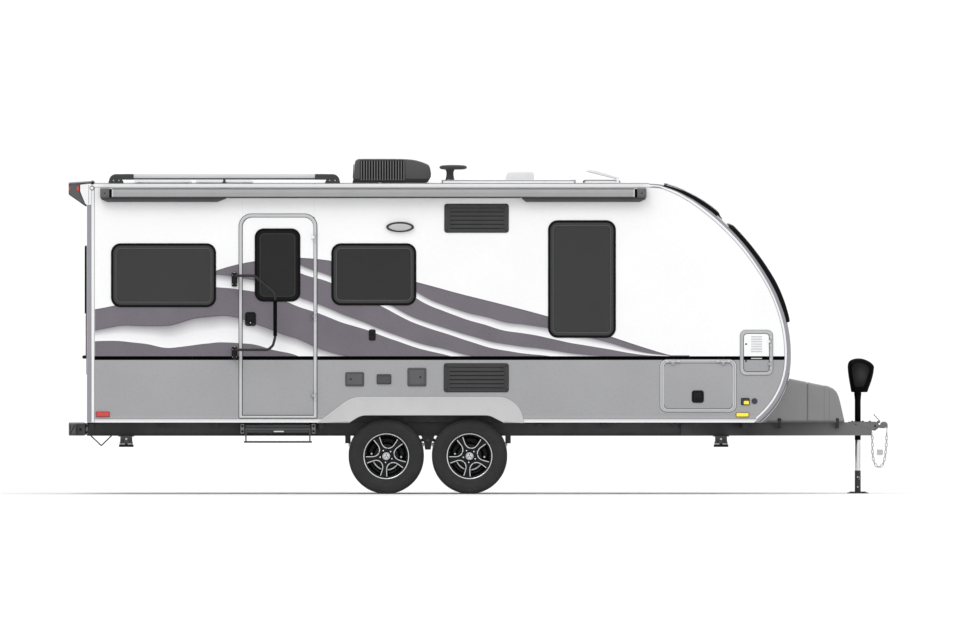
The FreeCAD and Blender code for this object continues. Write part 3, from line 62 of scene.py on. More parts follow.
# ------------------------------------------------------------------ mesh helpers
class Geo:
    """Collects closed shells, in millimetres, with a material index for each face."""

    def __init__(self):
        self.v, self.f, self.m = [], [], []

    def add(self, vs, fs, m=0):
        b = len(self.v)
        self.v += [(p[0] * MM, p[1] * MM, p[2] * MM) for p in vs]
        for f in fs:
            self.f.append(tuple(b + i for i in f))
            self.m.append(m)
        return self

    def box(self, x0, x1, y0, y1, z0, z1, m=0):
        vs = [(x, y, z) for x in (x0, x1) for y in (y0, y1) for z in (z0, z1)]
        return self.add(vs, [(0, 1, 3, 2), (4, 6, 7, 5), (0, 4, 5, 1), (2, 3, 7, 6), (0, 2, 6, 4), (1, 5, 7, 3)], m)

    def prism(self, pts, plane, a0, a1, m=0):
        n = len(pts)
        put = {"XZ": lambda p, a: (p[0], a, p[1]), "XY": lambda p, a: (p[0], p[1], a), "YZ": lambda p, a: (a, p[0], p[1])}[plane]
        vs = [put(p, a0) for p in pts] + [put(p, a1) for p in pts]
        fs = [tuple(range(n)), tuple(range(2 * n - 1, n - 1, -1))]
        fs += [(i, (i + 1) % n, n + (i + 1) % n, n + i) for i in range(n)]
        return self.add(vs, fs, m)

    def loft(self, rings, caps=True, closed=False, m=0, open_ring=False):
        n = len(rings[0])
        vs = [p for r in rings for p in r]
        fs = []
        k = len(rings)
        for i in range(k if closed else k - 1):
            a, b = i * n, ((i + 1) % k) * n
            for j in range(n - 1 if open_ring else n):
                fs.append((a + j, a + (j + 1) % n, b + (j + 1) % n, b + j))
        if caps and not closed:
            fs.append(tuple(range(n)))
            fs.append(tuple(range(len(vs) - 1, len(vs) - n - 1, -1)))
        return self.add(vs, fs, m)

    def tube(self, path, r, n=12, closed=False, m=0, caps=True, squash=None):
        P = [Vector(p) for p in path]
        k = len(P)
        tans = []
        for i in range(k):
            if closed:
                t = P[(i + 1) % k] - P[(i - 1) % k]
            else:
                t = P[min(i + 1, k - 1)] - P[max(i - 1, 0)]
            tans.append(t.normalized())
        up = Vector((0, 0, 1)) if abs(tans[0].z) < 0.9 else Vector((1, 0, 0))
        u = (up - tans[0] * up.dot(tans[0])).normalized()
        rings = []
        for i in range(k):
            u = (u - tans[i] * u.dot(tans[i])).normalized()
            w = tans[i].cross(u)
            rad = r[i] if isinstance(r, (list, tuple)) else r
            ring = []
            for j in range(n):
                a = 2 * math.pi * j / n
                ring.append(tuple(P[i] + u * (rad * math.cos(a)) + w * (rad * math.sin(a))))
            rings.append(ring)
        return self.loft(rings, caps=caps, closed=closed, m=m)

    def lathe(self, c, axis, prof, n=48, m=0, closed=False, spin=0.0):
        """prof is (radius, distance along axis); a radius of 0 at an end makes a pole."""
        A = Vector(axis).normalized()
        up = Vector((0, 0, 1)) if abs(A.z) < 0.9 else Vector((1, 0, 0))
        U = (up - A * up.dot(A)).normalized()
        W = A.cross(U)
        C = Vector(c)
        vs, fs, rows = [], [], []
        for r, t in prof:
            if r <= 1e-6:
                rows.append([len(vs)])
                vs.append(tuple(C + A * t))
            else:
                rows.append(list(range(len(vs), len(vs) + n)))
                for j in range(n):
                    a = 2 * math.pi * j / n + spin
                    vs.append(tuple(C + A * t + U * (r * math.cos(a)) + W * (r * math.sin(a))))
        k = len(rows)
        for i in range(k if closed else k - 1):
            a, b = rows[i], rows[(i + 1) % k]
            for j in range(n):
                j2 = (j + 1) % n
                if len(a) == 1 and len(b) == 1:
                    continue
                if len(a) == 1:
                    fs.append((a[0], b[j2], b[j]))
                elif len(b) == 1:
                    fs.append((a[j], a[j2], b[0]))
                else:
                    fs.append((a[j], a[j2], b[j2], b[j]))
        if not closed:
            if len(rows[0]) > 1:
                fs.append(tuple(rows[0]))
            if len(rows[-1]) > 1:
                fs.append(tuple(reversed(rows[-1])))
        return self.add(vs, fs, m)

    def ringsweep(self, outline, prof, y, k, m=0):
        """Closed frame: outline of (x, z, nx, nz), prof a closed loop of (outward, height), heights grow away from the wall."""
        n = len(prof)
        rings = [[(x + nx * d, k * (y + h), z + nz * d) for d, h in prof] for x, z, nx, nz in outline]
        return self.loft(rings, closed=True, m=m)

    def strip(self, path, prof, y, k, m=0):
        """The same along an open path, with its ends capped."""
        rings = [[(x + nx * d, k * (y + h), z + nz * d) for d, h in prof] for x, z, nx, nz in path]
        return self.loft(rings, m=m)

    def slab(self, outline, y0, y1, k, e=4.0, n=3, m=0, crown=0.0, back=False):
        """Panel with a rounded outer edge and a slightly crowned face."""
        rings = []

        def ring(d, y):
            rings.append([(x - nx * d, k * y, z - nz * d) for x, z, nx, nz in outline])
        if back:
            for i in range(n, 0, -1):
                a = math.pi / 2 * i / n
                ring(e * (1 - math.cos(a)), y0 + e - e * math.sin(a))
        else:
            ring(0, y0)
        for i in range(n + 1):
            a = math.pi / 2 * i / n
            ring(e * (1 - math.cos(a)), y1 - e + e * math.sin(a))
        if crown:
            w = min(abs(min(o[0] for o in outline) - max(o[0] for o in outline)), abs(min(o[1] for o in outline) - max(o[1] for o in outline)))
            cx = sum(o[0] for o in outline) / len(outline)
            cz = sum(o[1] for o in outline) / len(outline)
            base = rings[-1]
            for f in (0.12, 0.3, 0.6, 0.9):
                rings.append([(p[0] + (cx - p[0]) * f, k * (y1 + crown * (1 - (1 - f) ** 2)), p[2] + (cz - p[2]) * f) for p in base])
        return self.loft(rings, m=m)

    def ball(self, c, r, m=0, n=16, sy=1.0):
        prof = [(r * math.sin(math.pi * i / (n // 2)), -r * math.cos(math.pi * i / (n // 2)) * sy) for i in range(n // 2 + 1)]
        prof[0], prof[-1] = (0, prof[0][1]), (0, prof[-1][1])
        return self.lathe(c, (0, 1, 0), prof, n, m)

    def bolt(self, c, axis, r=6.0, h=5.0, m=0, hexa=True):
        """Bolt head with a washer."""
        n = 6 if hexa else 16
        self.lathe(c, axis, [(0, 0), (r * 1.5, 0), (r * 1.5, h * 0.25), (0, h * 0.25)], 20, m)
        prof = [(0, h * 0.26), (r, h * 0.26), (r, h * 0.85), (r * 0.85, h), (0, h)]
        return self.lathe(c, axis, prof, n, m)


ANGLE = math.radians


def make(name, g, mats, body="body", rep=(), bevel=0.0, segs=2, angle=30.0, smooth=38.0, limit=None):
    me = bpy.data.meshes.new(name)
    me.from_pydata(g.v, [], g.f)
    for mt in (mats if isinstance(mats, (list, tuple)) else [mats]):
        me.materials.append(mt)
    me.polygons.foreach_set("material_index", g.m)
    bm = bmesh.new()
    bm.from_mesh(me)
    bmesh.ops.remove_doubles(bm, verts=bm.verts, dist=1e-6)
    bmesh.ops.dissolve_degenerate(bm, edges=bm.edges, dist=1e-6)
    bmesh.ops.recalc_face_normals(bm, faces=bm.faces)
    bm.to_mesh(me)
    bm.free()
    me.polygons.foreach_set("use_smooth", [True] * len(me.polygons))
    ob = bpy.data.objects.new(name, me)
    sc.collection.objects.link(ob)
    if bevel:
        b = ob.modifiers.new("edges", "BEVEL")
        b.width = bevel * MM
        b.segments = segs
        b.limit_method = "ANGLE"
        b.angle_limit = ANGLE(angle)
        b.use_clamp_overlap = True
        b.harden_normals = False
        w = ob.modifiers.new("normals", "WEIGHTED_NORMAL")
        w.weight = 60
        w.keep_sharp = True
    else:
        me.set_sharp_from_angle(angle=ANGLE(smooth))
    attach(ob, body)
    if rep:
        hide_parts(*rep)
    return ob


def rr(x0, x1, z0, z1, r, n=7):
    """Rounded rectangle as (x, z, nx, nz), anticlockwise. r: one radius, or (top right, top left, bottom left, bottom right)."""
    r = list(r) if isinstance(r, (tuple, list)) else [r] * 4
    out = []
    cs = ((x1 - r[0], z1 - r[0], 0), (x0 + r[1], z1 - r[1], 90), (x0 + r[2], z0 + r[2], 180), (x1 - r[3], z0 + r[3], 270))
    for (cx, cz, a0), rad in zip(cs, r):
        for i in range(n + 1):
            a = ANGLE(a0 + 90 * i / n)
            out.append((cx + rad * math.cos(a), cz + rad * math.sin(a), math.cos(a), math.sin(a)))
    return out


def circ(cx, cz, rx, rz=None, n=32):
    rz = rz or rx
    out = []
    for i in range(n):
        a = 2 * math.pi * i / n
        nx, nz = math.cos(a) / rx, math.sin(a) / rz
        q = math.hypot(nx, nz)
        out.append((cx + rx * math.cos(a), cz + rz * math.sin(a), nx / q, nz / q))
    return out


def spline(pts, step=12.0, closed=False):
    """Catmull-Rom curve through points."""
    P = [Vector(p) for p in pts]
    n = len(P)
    out = []
    last = n if closed else n - 1
    for i in range(last):
        p1, p2 = P[i], P[(i + 1) % n]
        p0 = P[i - 1] if (closed or i > 0) else p1 * 2 - p2
        p3 = P[(i + 2) % n] if (closed or i + 2 < n) else p2 * 2 - p1
        k = max(2, int((p2 - p1).length / step))
        for j in range(k):
            t = j / k
            out.append(0.5 * ((2 * p1) + (p2 - p0) * t + (2 * p0 - 5 * p1 + 4 * p2 - p3) * t * t + (3 * p1 - p0 - 3 * p2 + p3) * t ** 3))
    if not closed:
        out.append(P[-1])
    return out


def fillet(pts, rad, n=6):
    """Path of straight runs with rounded corners."""
    P = [Vector(p) for p in pts]
    out = [P[0]]
    for i in range(1, len(P) - 1):
        a, b = (P[i - 1] - P[i]), (P[i + 1] - P[i])
        la, lb = a.length, b.length
        a.normalize()
        b.normalize()
        ang = a.angle(b)
        if ang > math.pi - 0.02:
            out.append(P[i])
            continue
        d = min(rad / math.tan(ang / 2), la * 0.49, lb * 0.49)
        p0, p1 = P[i] + a * d, P[i] + b * d
        for j in range(n + 1):
            t = j / n
            out.append(p0 * (1 - t) ** 2 + P[i] * 2 * t * (1 - t) + p1 * t * t)
    out.append(P[-1])
    return out


# Nose outline: headings, radii and centres of its arcs.
HEAD = [0.0, 35.22, 60.29, 93.68, 150.0]
RAD = [719.0, 2429.8, 1325.3, 759.9]
CEN = [(1562.5, 2124.0)]
for _i in range(3):
    _t = ANGLE(HEAD[_i + 1])
    _d = RAD[_i] - RAD[_i + 1]
    CEN.append((CEN[-1][0] + _d * math.sin(_t), CEN[-1][1] + _d * math.cos(_t)))


def nose(t, off=0.0):
    """Point and outward normal of the nose curve at heading t in degrees."""
    i = 0
    while i < 3 and t > HEAD[i + 1]:
        i += 1
    a = ANGLE(t)
    r = RAD[i] + off
    return (CEN[i][0] + r * math.sin(a), CEN[i][1] + r * math.cos(a), math.sin(a), math.cos(a))


def nose_at(z, off=0.0):
    lo, hi = 0.0, 150.0
    for _ in range(50):
        mid = (lo + hi) / 2
        if nose(mid, off)[1] > z:
            lo = mid
        else:
            hi = mid
    return lo


def nose_run(t0, t1, off=0.0, n=None):
    n = n or max(4, int(abs(t1 - t0) / 1.5))
    return [nose(t0 + (t1 - t0) * i / n, off) for i in range(n + 1)]


# ------------------------------------------------------------------ materials
ALBEDO = 0.84


def lin(c):
    c = c / 255.0
    return ALBEDO * (c / 12.92 if c <= 0.04045 else ((c + 0.055) / 1.055) ** 2.4)


def C(r, g=None, b=None, k=1.0):
    g = r if g is None else g
    b = r if b is None else b
    return (lin(r) * k, lin(g) * k, lin(b) * k, 1.0)


class Mat:
    """A small builder for node materials."""

    def __init__(self, name, **kw):
        self.m = bpy.data.materials.new(name)
        self.m.use_nodes = True
        self.t = self.m.node_tree
        self.t.nodes.clear()
        self.out = self.t.nodes.new("ShaderNodeOutputMaterial")
        self.b = self.t.nodes.new("ShaderNodeBsdfPrincipled")
        self.t.links.new(self.b.outputs[0], self.out.inputs[0])
        self.tc = self.t.nodes.new("ShaderNodeTexCoord")
        for key, val in kw.items():
            self.b.inputs[key.replace("_", " ")].default_value = val

    def n(self, kind, props=None, **ins):
        nd = self.t.nodes.new("ShaderNode" + kind)
        for k, v in (props or {}).items():
            setattr(nd, k, v)
        for k, v in ins.items():
            s = nd.inputs[int(k[1:])] if k[0] == "i" and k[1:].isdigit() else nd.inputs[k.replace("_", " ")]
            if hasattr(v, "is_linked") or hasattr(v, "links"):
                self.t.links.new(v, s)
            else:
                s.default_value = v
        return nd

    def math(self, op, a, b=0.0, c=None, clamp=False):
        nd = self.t.nodes.new("ShaderNodeMath")
        nd.operation = op
        nd.use_clamp = clamp
        for i, v in enumerate((a, b) if c is None else (a, b, c)):
            if hasattr(v, "links"):
                self.t.links.new(v, nd.inputs[i])
            else:
                nd.inputs[i].default_value = v
        return nd.outputs[0]

    def noise(self, scale, detail=3.0, rough=0.5, vec=None, stretch=None, dist=0.0):
        v = vec or self.tc.outputs["Object"]
        if stretch:
            mp = self.t.nodes.new("ShaderNodeMapping")
            self.t.links.new(v, mp.inputs["Vector"])
            mp.inputs["Scale"].default_value = stretch
            v = mp.outputs[0]
        nd = self.t.nodes.new("ShaderNodeTexNoise")
        self.t.links.new(v, nd.inputs["Vector"])
        nd.inputs["Scale"].default_value = scale
        nd.inputs["Detail"].default_value = detail
        nd.inputs["Roughness"].default_value = rough
        nd.inputs["Distortion"].default_value = dist
        return nd.outputs[0]

    def ramp(self, fac, stops, interp="LINEAR"):
        nd = self.t.nodes.new("ShaderNodeValToRGB")
        nd.color_ramp.interpolation = interp
        el = nd.color_ramp.elements
        while len(el) < len(stops):
            el.new(0.5)
        for e, (p, c) in zip(el, stops):
            e.position = p
            e.color = c if len(c) == 4 else (*c, 1.0)
        self.t.links.new(fac, nd.inputs[0])
        return nd.outputs[0]

    def rng(self, v, a0, a1, b0, b1, smooth=False):
        nd = self.t.nodes.new("ShaderNodeMapRange")
        nd.interpolation_type = "SMOOTHSTEP" if smooth else "LINEAR"
        self.t.links.new(v, nd.inputs[0])
        for i, x in enumerate((a0, a1, b0, b1)):
            nd.inputs[1 + i].default_value = x
        return nd.outputs[0]

    def mix(self, fac, a, b, mode="MIX"):
        nd = self.t.nodes.new("ShaderNodeMix")
        nd.data_type = "RGBA"
        nd.blend_type = mode
        for s, v in ((nd.inputs["Factor"], fac), (nd.inputs[6], a), (nd.inputs[7], b)):
            if hasattr(v, "links"):
                self.t.links.new(v, s)
            else:
                s.default_value = v
        return nd.outputs[2]

    def bump(self, h, strength=0.2, dist=0.001):
        nd = self.t.nodes.new("ShaderNodeBump")
        nd.inputs["Strength"].default_value = strength
        nd.inputs["Distance"].default_value = dist
        self.t.links.new(h, nd.inputs["Height"])
        self.t.links.new(nd.outputs[0], self.b.inputs["Normal"])
        return nd

    def put(self, sock, v):
        self.t.links.new(v, self.b.inputs[sock])

    def xyz(self):
        s = self.t.nodes.new("ShaderNodeSeparateXYZ")
        self.t.links.new(self.tc.outputs["Object"], s.inputs[0])
        return s.outputs


def vary(c, k):
    return tuple(min(1.0, x * k) for x in c[:3]) + (1.0,)


def paint(name, col, rough=0.28, var=0.05, peel=0.05, coat=0.4, scale=2.0, dust=0.0, spec=0.5, metal=0.0):
    """Sprayed or gel-coated finish: faint cloudiness, orange peel and uneven gloss."""
    m = Mat(name, Coat_Weight=coat, Coat_Roughness=0.08, Metallic=metal, Specular_IOR_Level=spec)
    big = m.noise(scale, 4.0, 0.55)
    fine = m.noise(60.0, 3.0, 0.6)
    c = m.mix(m.rng(big, 0.3, 0.7, 0.0, 1.0), vary(col, 1 - var), vary(col, 1 + var))
    if dust:
        z = m.xyz()[2]
        d = m.math("MULTIPLY", m.rng(z, 0.95, 0.35, 0.0, dust), m.rng(m.noise(9.0, 5.0, 0.65), 0.35, 0.7, 0.2, 1.0))
        c = m.mix(d, c, C(150, 143, 132))
    m.put("Base Color", c)
    m.put("Roughness", m.rng(fine, 0.3, 0.7, rough * 0.82, min(1.0, rough * 1.2)))
    m.bump(m.noise(120.0, 2.0, 0.4), peel, 0.0006)
    return m.m


def plastic(name, col, rough=0.5, grain=0.25, var=0.08, scale=900.0, spec=0.18):
    """Moulded plastic with a spark-eroded grain and slightly faded high spots."""
    m = Mat(name, Specular_IOR_Level=spec)
    big = m.noise(7.0, 5.0, 0.6)
    vo = m.t.nodes.new("ShaderNodeTexVoronoi")
    m.t.links.new(m.tc.outputs["Object"], vo.inputs["Vector"])
    vo.inputs["Scale"].default_value = scale
    c = m.mix(m.rng(big, 0.28, 0.72, 0.0, 1.0), vary(col, 1 - var), vary(col, 1 + var))
    c = m.mix(m.rng(vo.outputs["Distance"], 0.0, 0.7, 0.0, 0.18), c, vary(col, 1.35))
    m.put("Base Color", c)
    m.put("Roughness", m.rng(m.noise(24.0, 4.0, 0.6), 0.3, 0.7, rough * 0.85, min(1.0, rough * 1.15)))
    m.bump(vo.outputs["Distance"], grain, 0.0008)
    return m.m


def metal(name, col, rough=0.3, brushed=(1.0, 1.0, 1.0), aniso=0.0, var=0.1, bump=0.08, scale=60.0, metallic=1.0):
    """Metal with drawing or casting marks; brushed stretches the marks along an axis."""
    m = Mat(name, Metallic=metallic)
    lines = m.noise(scale, 6.0, 0.7, stretch=brushed)
    cloud = m.noise(5.0, 4.0, 0.6)
    c = m.mix(m.rng(lines, 0.25, 0.75, 0.0, 1.0), vary(col, 1 - var), vary(col, 1 + var))
    c = m.mix(m.rng(cloud, 0.35, 0.75, 0.0, 0.35), c, vary(col, 0.78))
    m.put("Base Color", c)
    m.put("Roughness", m.rng(lines, 0.25, 0.75, rough * 0.75, min(1.0, rough * 1.3)))
    m.bump(lines, bump, 0.0006)
    return m.m


def rubber(name, col, rough=0.75):
    m = Mat(name, Specular_IOR_Level=0.12)
    a, b = m.noise(35.0, 6.0, 0.7), m.noise(6.0, 4.0, 0.6)
    c = m.mix(m.rng(a, 0.3, 0.7, 0.0, 1.0), vary(col, 0.86), vary(col, 1.14))
    c = m.mix(m.rng(b, 0.45, 0.8, 0.0, 0.12), c, C(96, 92, 86))
    m.put("Base Color", c)
    m.put("Roughness", m.rng(a, 0.3, 0.7, rough * 0.88, rough * 1.12))
    m.bump(m.noise(260.0, 3.0, 0.6), 0.18, 0.0008)
    return m.m


def cloth(name, col, col2, size=420.0, rough=0.9):
    """Woven fabric: crossed threads from two wave patterns."""
    m = Mat(name, Sheen_Weight=0.35, Sheen_Roughness=0.5)
    x, y, z = m.xyz()
    def thread(v, k):
        return m.math("SINE", m.math("MULTIPLY", v, k))
    s = m.math("ADD", x, m.math("MULTIPLY", z, 0.6))
    w = m.math("MULTIPLY", thread(s, size * 6.28), thread(y, size * 6.28))
    blot = m.noise(14.0, 5.0, 0.6)
    c = m.mix(m.rng(w, -1.0, 1.0, 0.0, 1.0), col, col2)
    c = m.mix(m.rng(blot, 0.3, 0.75, 0.0, 0.35), c, vary(col, 0.75))
    m.put("Base Color", c)
    m.put("Roughness", m.rng(blot, 0.3, 0.7, rough * 0.93, min(1.0, rough * 1.05)))
    m.bump(w, 0.35, 0.0007)
    return m.m


def wood(name, col, col2, rough=0.45):
    m = Mat(name, Coat_Weight=0.15)
    g = m.noise(4.0, 6.0, 0.65, stretch=(1.5, 9.0, 22.0), dist=0.8)
    f = m.noise(90.0, 3.0, 0.6, stretch=(1.0, 6.0, 18.0))
    c = m.mix(m.rng(g, 0.3, 0.7, 0.0, 1.0), col, col2)
    c = m.mix(m.rng(f, 0.45, 0.8, 0.0, 0.3), c, vary(col2, 0.7))
    m.put("Base Color", c)
    m.put("Roughness", m.rng(f, 0.3, 0.7, rough * 0.85, rough * 1.2))
    m.bump(f, 0.12, 0.0006)
    return m.m


WHITE = C(249, 249, 250)
M = {}
M["white"] = paint("gelcoat_white", WHITE, 0.25, 0.012, 0.04, coat=0.5)
M["trim_white"] = paint("trim_white", C(243, 243, 245), 0.32, 0.02, 0.05, coat=0.3)
M["edge_grey"] = paint("edge_moulding", C(150, 149, 156), 0.34, 0.05, 0.04, coat=0.1, scale=1.2, spec=0.3)
M["ring"] = paint("ring_moulding", C(200, 201, 203), 0.36, 0.04, 0.05, coat=0.25, scale=5.0)
M["grey"] = paint("panel_grey", C(166, 166, 168), 0.34, 0.03, 0.05, coat=0.35)
M["arch"] = plastic("arch_plastic", C(198, 198, 199), 0.42, 0.10, 0.03)
M["black"] = plastic("black_plastic", C(28, 28, 29), 0.46, 0.16, 0.12, spec=0.12)
M["black_gloss"] = paint("black_gloss", C(11, 11, 12), 0.36, 0.10, 0.03, coat=0.0, spec=0.08)
M["jack_black"] = paint("jack_black", C(3, 3, 3), 0.4, 0.2, 0.03, coat=0.0, spec=0.05)
M["ac"] = plastic("cooler_shroud", C(80, 80, 81), 0.5, 0.16, 0.07)
M["ac_fin"] = plastic("cooler_fins", C(104, 104, 105), 0.5, 0.1, 0.07)
M["ring2"] = paint("service_ring", C(184, 185, 187), 0.36, 0.04, 0.05, coat=0.2, scale=5.0)
M["rod"] = paint("rod_grey", C(78, 78, 79), 0.4, 0.08, 0.05, coat=0.1, scale=20.0, spec=0.2)
M["line"] = plastic("dark_joint", C(74, 74, 76), 0.5, 0.06, 0.05)
M["outline"] = plastic("light_joint", C(132, 132, 134), 0.5, 0.06, 0.05)
M["plate"] = metal("galvanised_plate", C(122, 122, 121), 0.5, (1, 1, 1), var=0.14, scale=45.0, metallic=0.4)
M["dark"] = plastic("dark_plastic", C(62, 62, 63), 0.5, 0.2, 0.07)
M["mid"] = plastic("mid_plastic", C(98, 98, 100), 0.46, 0.16, 0.06)
M["hatch"] = plastic("hatch_plastic", C(94, 94, 96), 0.42, 0.12, 0.05)
M["cover"] = plastic("cover_moulding", C(136, 136, 137), 0.5, 0.12, 0.04, scale=500.0)
M["chassis"] = paint("chassis_black", C(66, 66, 67), 0.42, 0.12, 0.10, coat=0.03, scale=6.0, dust=0.10, spec=0.15)
M["zinc"] = metal("zinc_plate", C(205, 206, 208), 0.36, (1, 1, 1), var=0.14, scale=45.0)
M["chrome"] = metal("polished", C(228, 229, 231), 0.16, (1, 1, 1), var=0.05, scale=30.0, bump=0.03)
M["alu"] = metal("brushed_aluminium", C(196, 197, 199), 0.34, (1.0, 30.0, 30.0), var=0.08, scale=12.0)
M["awning"] = metal("awning_aluminium", C(168, 168, 169), 0.5, (0.6, 40.0, 40.0), var=0.04, scale=9.0, metallic=0.15, bump=0.03)
M["spoke"] = paint("wheel_black", C(12, 12, 14), 0.26, 0.15, 0.04, coat=0.12, scale=12.0, spec=0.15)
M["tyre"] = rubber("tyre_rubber", C(52, 52, 53))
M["rubber"] = rubber("seal_rubber", C(24, 24, 25), 0.7)
M["steel"] = metal("raw_steel", C(120, 118, 115), 0.48, (1, 1, 1), var=0.2, scale=50.0)
M["inner"] = paint("inner_wall", C(214, 208, 198), 0.5, 0.04, 0.08, coat=0.0)
M["wood"] = wood("cabinet_wood", C(150, 116, 84), C(176, 142, 106))
M["sofa"] = cloth("sofa_cloth", C(128, 120, 110), C(156, 148, 138))
M["bed"] = cloth("mattress_cloth", C(206, 202, 196), C(224, 221, 215), 300.0)
M["counter"] = paint("counter_top", C(196, 190, 182), 0.3, 0.08, 0.03, coat=0.3, scale=30.0)


def glass(name, col, alpha=0.94, rough=0.07, deep=None):
    m = Mat(name, Specular_IOR_Level=0.26, Coat_Weight=0.05, Coat_Roughness=0.03, IOR=1.49)
    c = m.mix(m.rng(m.noise(1.6, 3.0, 0.5), 0.3, 0.7, 0.0, 1.0), vary(col, 0.95), vary(col, 1.05))
    if deep:
        x = m.xyz()[0]
        c = m.mix(m.math("MULTIPLY", m.math("GREATER_THAN", x, deep[0]), m.math("LESS_THAN", x, deep[1])), c, vary(col, 0.62))
    m.put("Base Color", c)
    m.put("Roughness", m.rng(m.noise(5.0, 4.0, 0.6), 0.3, 0.7, rough * 0.7, rough * 1.6))
    m.b.inputs["Alpha"].default_value = alpha
    m.bump(m.noise(3.0, 2.0, 0.4), 0.03, 0.002)
    return m.m


M["glass"] = glass("tinted_glass", C(54, 54, 55), deep=(-1.4, -0.5))
M["bevel"] = plastic("window_bevel", C(62, 62, 63), 0.34, 0.04, 0.05, spec=0.1)
M["bevel_line"] = plastic("window_bevel_line", C(84, 84, 85), 0.34, 0.04, 0.05)
M["glass_dark"] = glass("door_glass", C(26, 26, 27))
M["smoke"] = glass("frosted_lid", C(240, 240, 241), 0.9, 0.3)


def lens(name, col, glow=0.12):
    """Ribbed lamp lens."""
    m = Mat(name, Specular_IOR_Level=0.5, Coat_Weight=0.6, Coat_Roughness=0.05, Transmission_Weight=0.12, Emission_Strength=glow)
    x, y, z = m.xyz()
    r = m.math("SINE", m.math("MULTIPLY", x, 900.0))
    q = m.math("SINE", m.math("MULTIPLY", z, 900.0))
    w = m.math("MULTIPLY", r, q)
    c = m.mix(m.rng(w, -1.0, 1.0, 0.0, 1.0), vary(col, 0.82), col)
    m.put("Base Color", c)
    m.put("Emission Color", c)
    m.put("Roughness", m.rng(w, -1.0, 1.0, 0.18, 0.3))
    m.bump(w, 0.3, 0.0008)
    return m.m


def tongue_paint_with_painted_light():
    """Satin black with painted light: lighter towards the coupler, and lighter again behind x 2.28 m, where the rails
    run inwards into shade.
    """
    m = Mat("tongue_black_painted_light", Specular_IOR_Level=0.15, Coat_Weight=0.03)
    x = m.xyz()[0]
    n = m.noise(6.0, 4.0, 0.55)
    # painted light: the colour lightens from x 2.5 m to 3.45 m towards the coupler
    c = m.mix(m.rng(x, 2.5, 3.45, 0.0, 1.0), C(58, 58, 59), C(118, 118, 119))
    # painted light: lighter again behind x 2.28 m, against the shade on the inward-running rails
    c = m.mix(m.rng(x, 2.28, 2.46, 1.0, 0.0), c, C(88, 88, 89))
    c = m.mix(m.rng(n, 0.3, 0.7, 0.0, 0.16), c, C(70, 69, 67))
    m.put("Base Color", c)
    m.put("Roughness", m.rng(m.noise(60.0, 3.0, 0.6), 0.3, 0.7, 0.36, 0.5))
    m.bump(m.noise(120.0, 2.0, 0.4), 0.1, 0.0006)
    return m.m


M["tongue"] = tongue_paint_with_painted_light()
M["rail"] = paint("rail_black", C(80, 80, 81), 0.42, 0.12, 0.10, coat=0.03, scale=6.0, dust=0.10, spec=0.15)
M["cross"] = paint("cross_member_black", C(52, 52, 53), 0.44, 0.12, 0.10, coat=0.02, scale=6.0, dust=0.06, spec=0.12)


def jack_cap():
    """Side cap of the jack head, lighter in the middle and darker towards its rim."""
    m = Mat("jack_cap", Specular_IOR_Level=0.08)
    v = m.t.nodes.new("ShaderNodeVectorMath")
    v.operation = "DISTANCE"
    flat = m.t.nodes.new("ShaderNodeVectorMath")
    flat.operation = "MULTIPLY"
    m.t.links.new(m.tc.outputs["Object"], flat.inputs[0])
    flat.inputs[1].default_value = (1.0, 0.0, 0.72)
    m.t.links.new(flat.outputs[0], v.inputs[0])
    v.inputs[1].default_value = (3.505, 0.0, 1.086 * 0.72)
    c = m.mix(m.rng(v.outputs["Value"], 0.0, 0.085, 0.0, 1.0, smooth=True), C(54, 54, 55), C(27, 27, 28))
    m.put("Base Color", c)
    m.put("Roughness", m.rng(m.noise(24.0, 4.0, 0.6), 0.3, 0.7, 0.4, 0.55))
    m.bump(m.noise(400.0, 2.0, 0.4), 0.1, 0.0006)
    return m.m


M["jack_cap"] = jack_cap()
M["amber"] = lens("amber_lens", C(255, 236, 40), 0.35)
M["red"] = lens("red_lens", C(226, 44, 40), 0.12)
M["clear"] = lens("clear_lens", C(205, 206, 205), 0.0)


def solar():
    m = Mat("solar_cells", Coat_Weight=0.9, Coat_Roughness=0.05)
    x, y, z = m.xyz()
    def lines(v, pitch, wid):
        f = m.math("FRACT", m.math("DIVIDE", v, pitch))
        return m.math("LESS_THAN", f, wid)
    g = m.math("MAXIMUM", lines(x, 0.130, 0.03), lines(y, 0.130, 0.03))
    f = m.math("MULTIPLY", lines(y, 0.0433, 0.05), 0.5)
    c = m.mix(m.rng(m.noise(18.0, 2.0, 0.5), 0.3, 0.7, 0.0, 1.0), C(14, 18, 34), C(24, 30, 52))
    c = m.mix(m.math("MAXIMUM", g, f), c, C(150, 152, 156))
    m.put("Base Color", c)
    m.put("Roughness", m.rng(m.noise(30.0, 3.0, 0.6), 0.3, 0.7, 0.16, 0.26))
    return m.m


M["solar"] = solar()


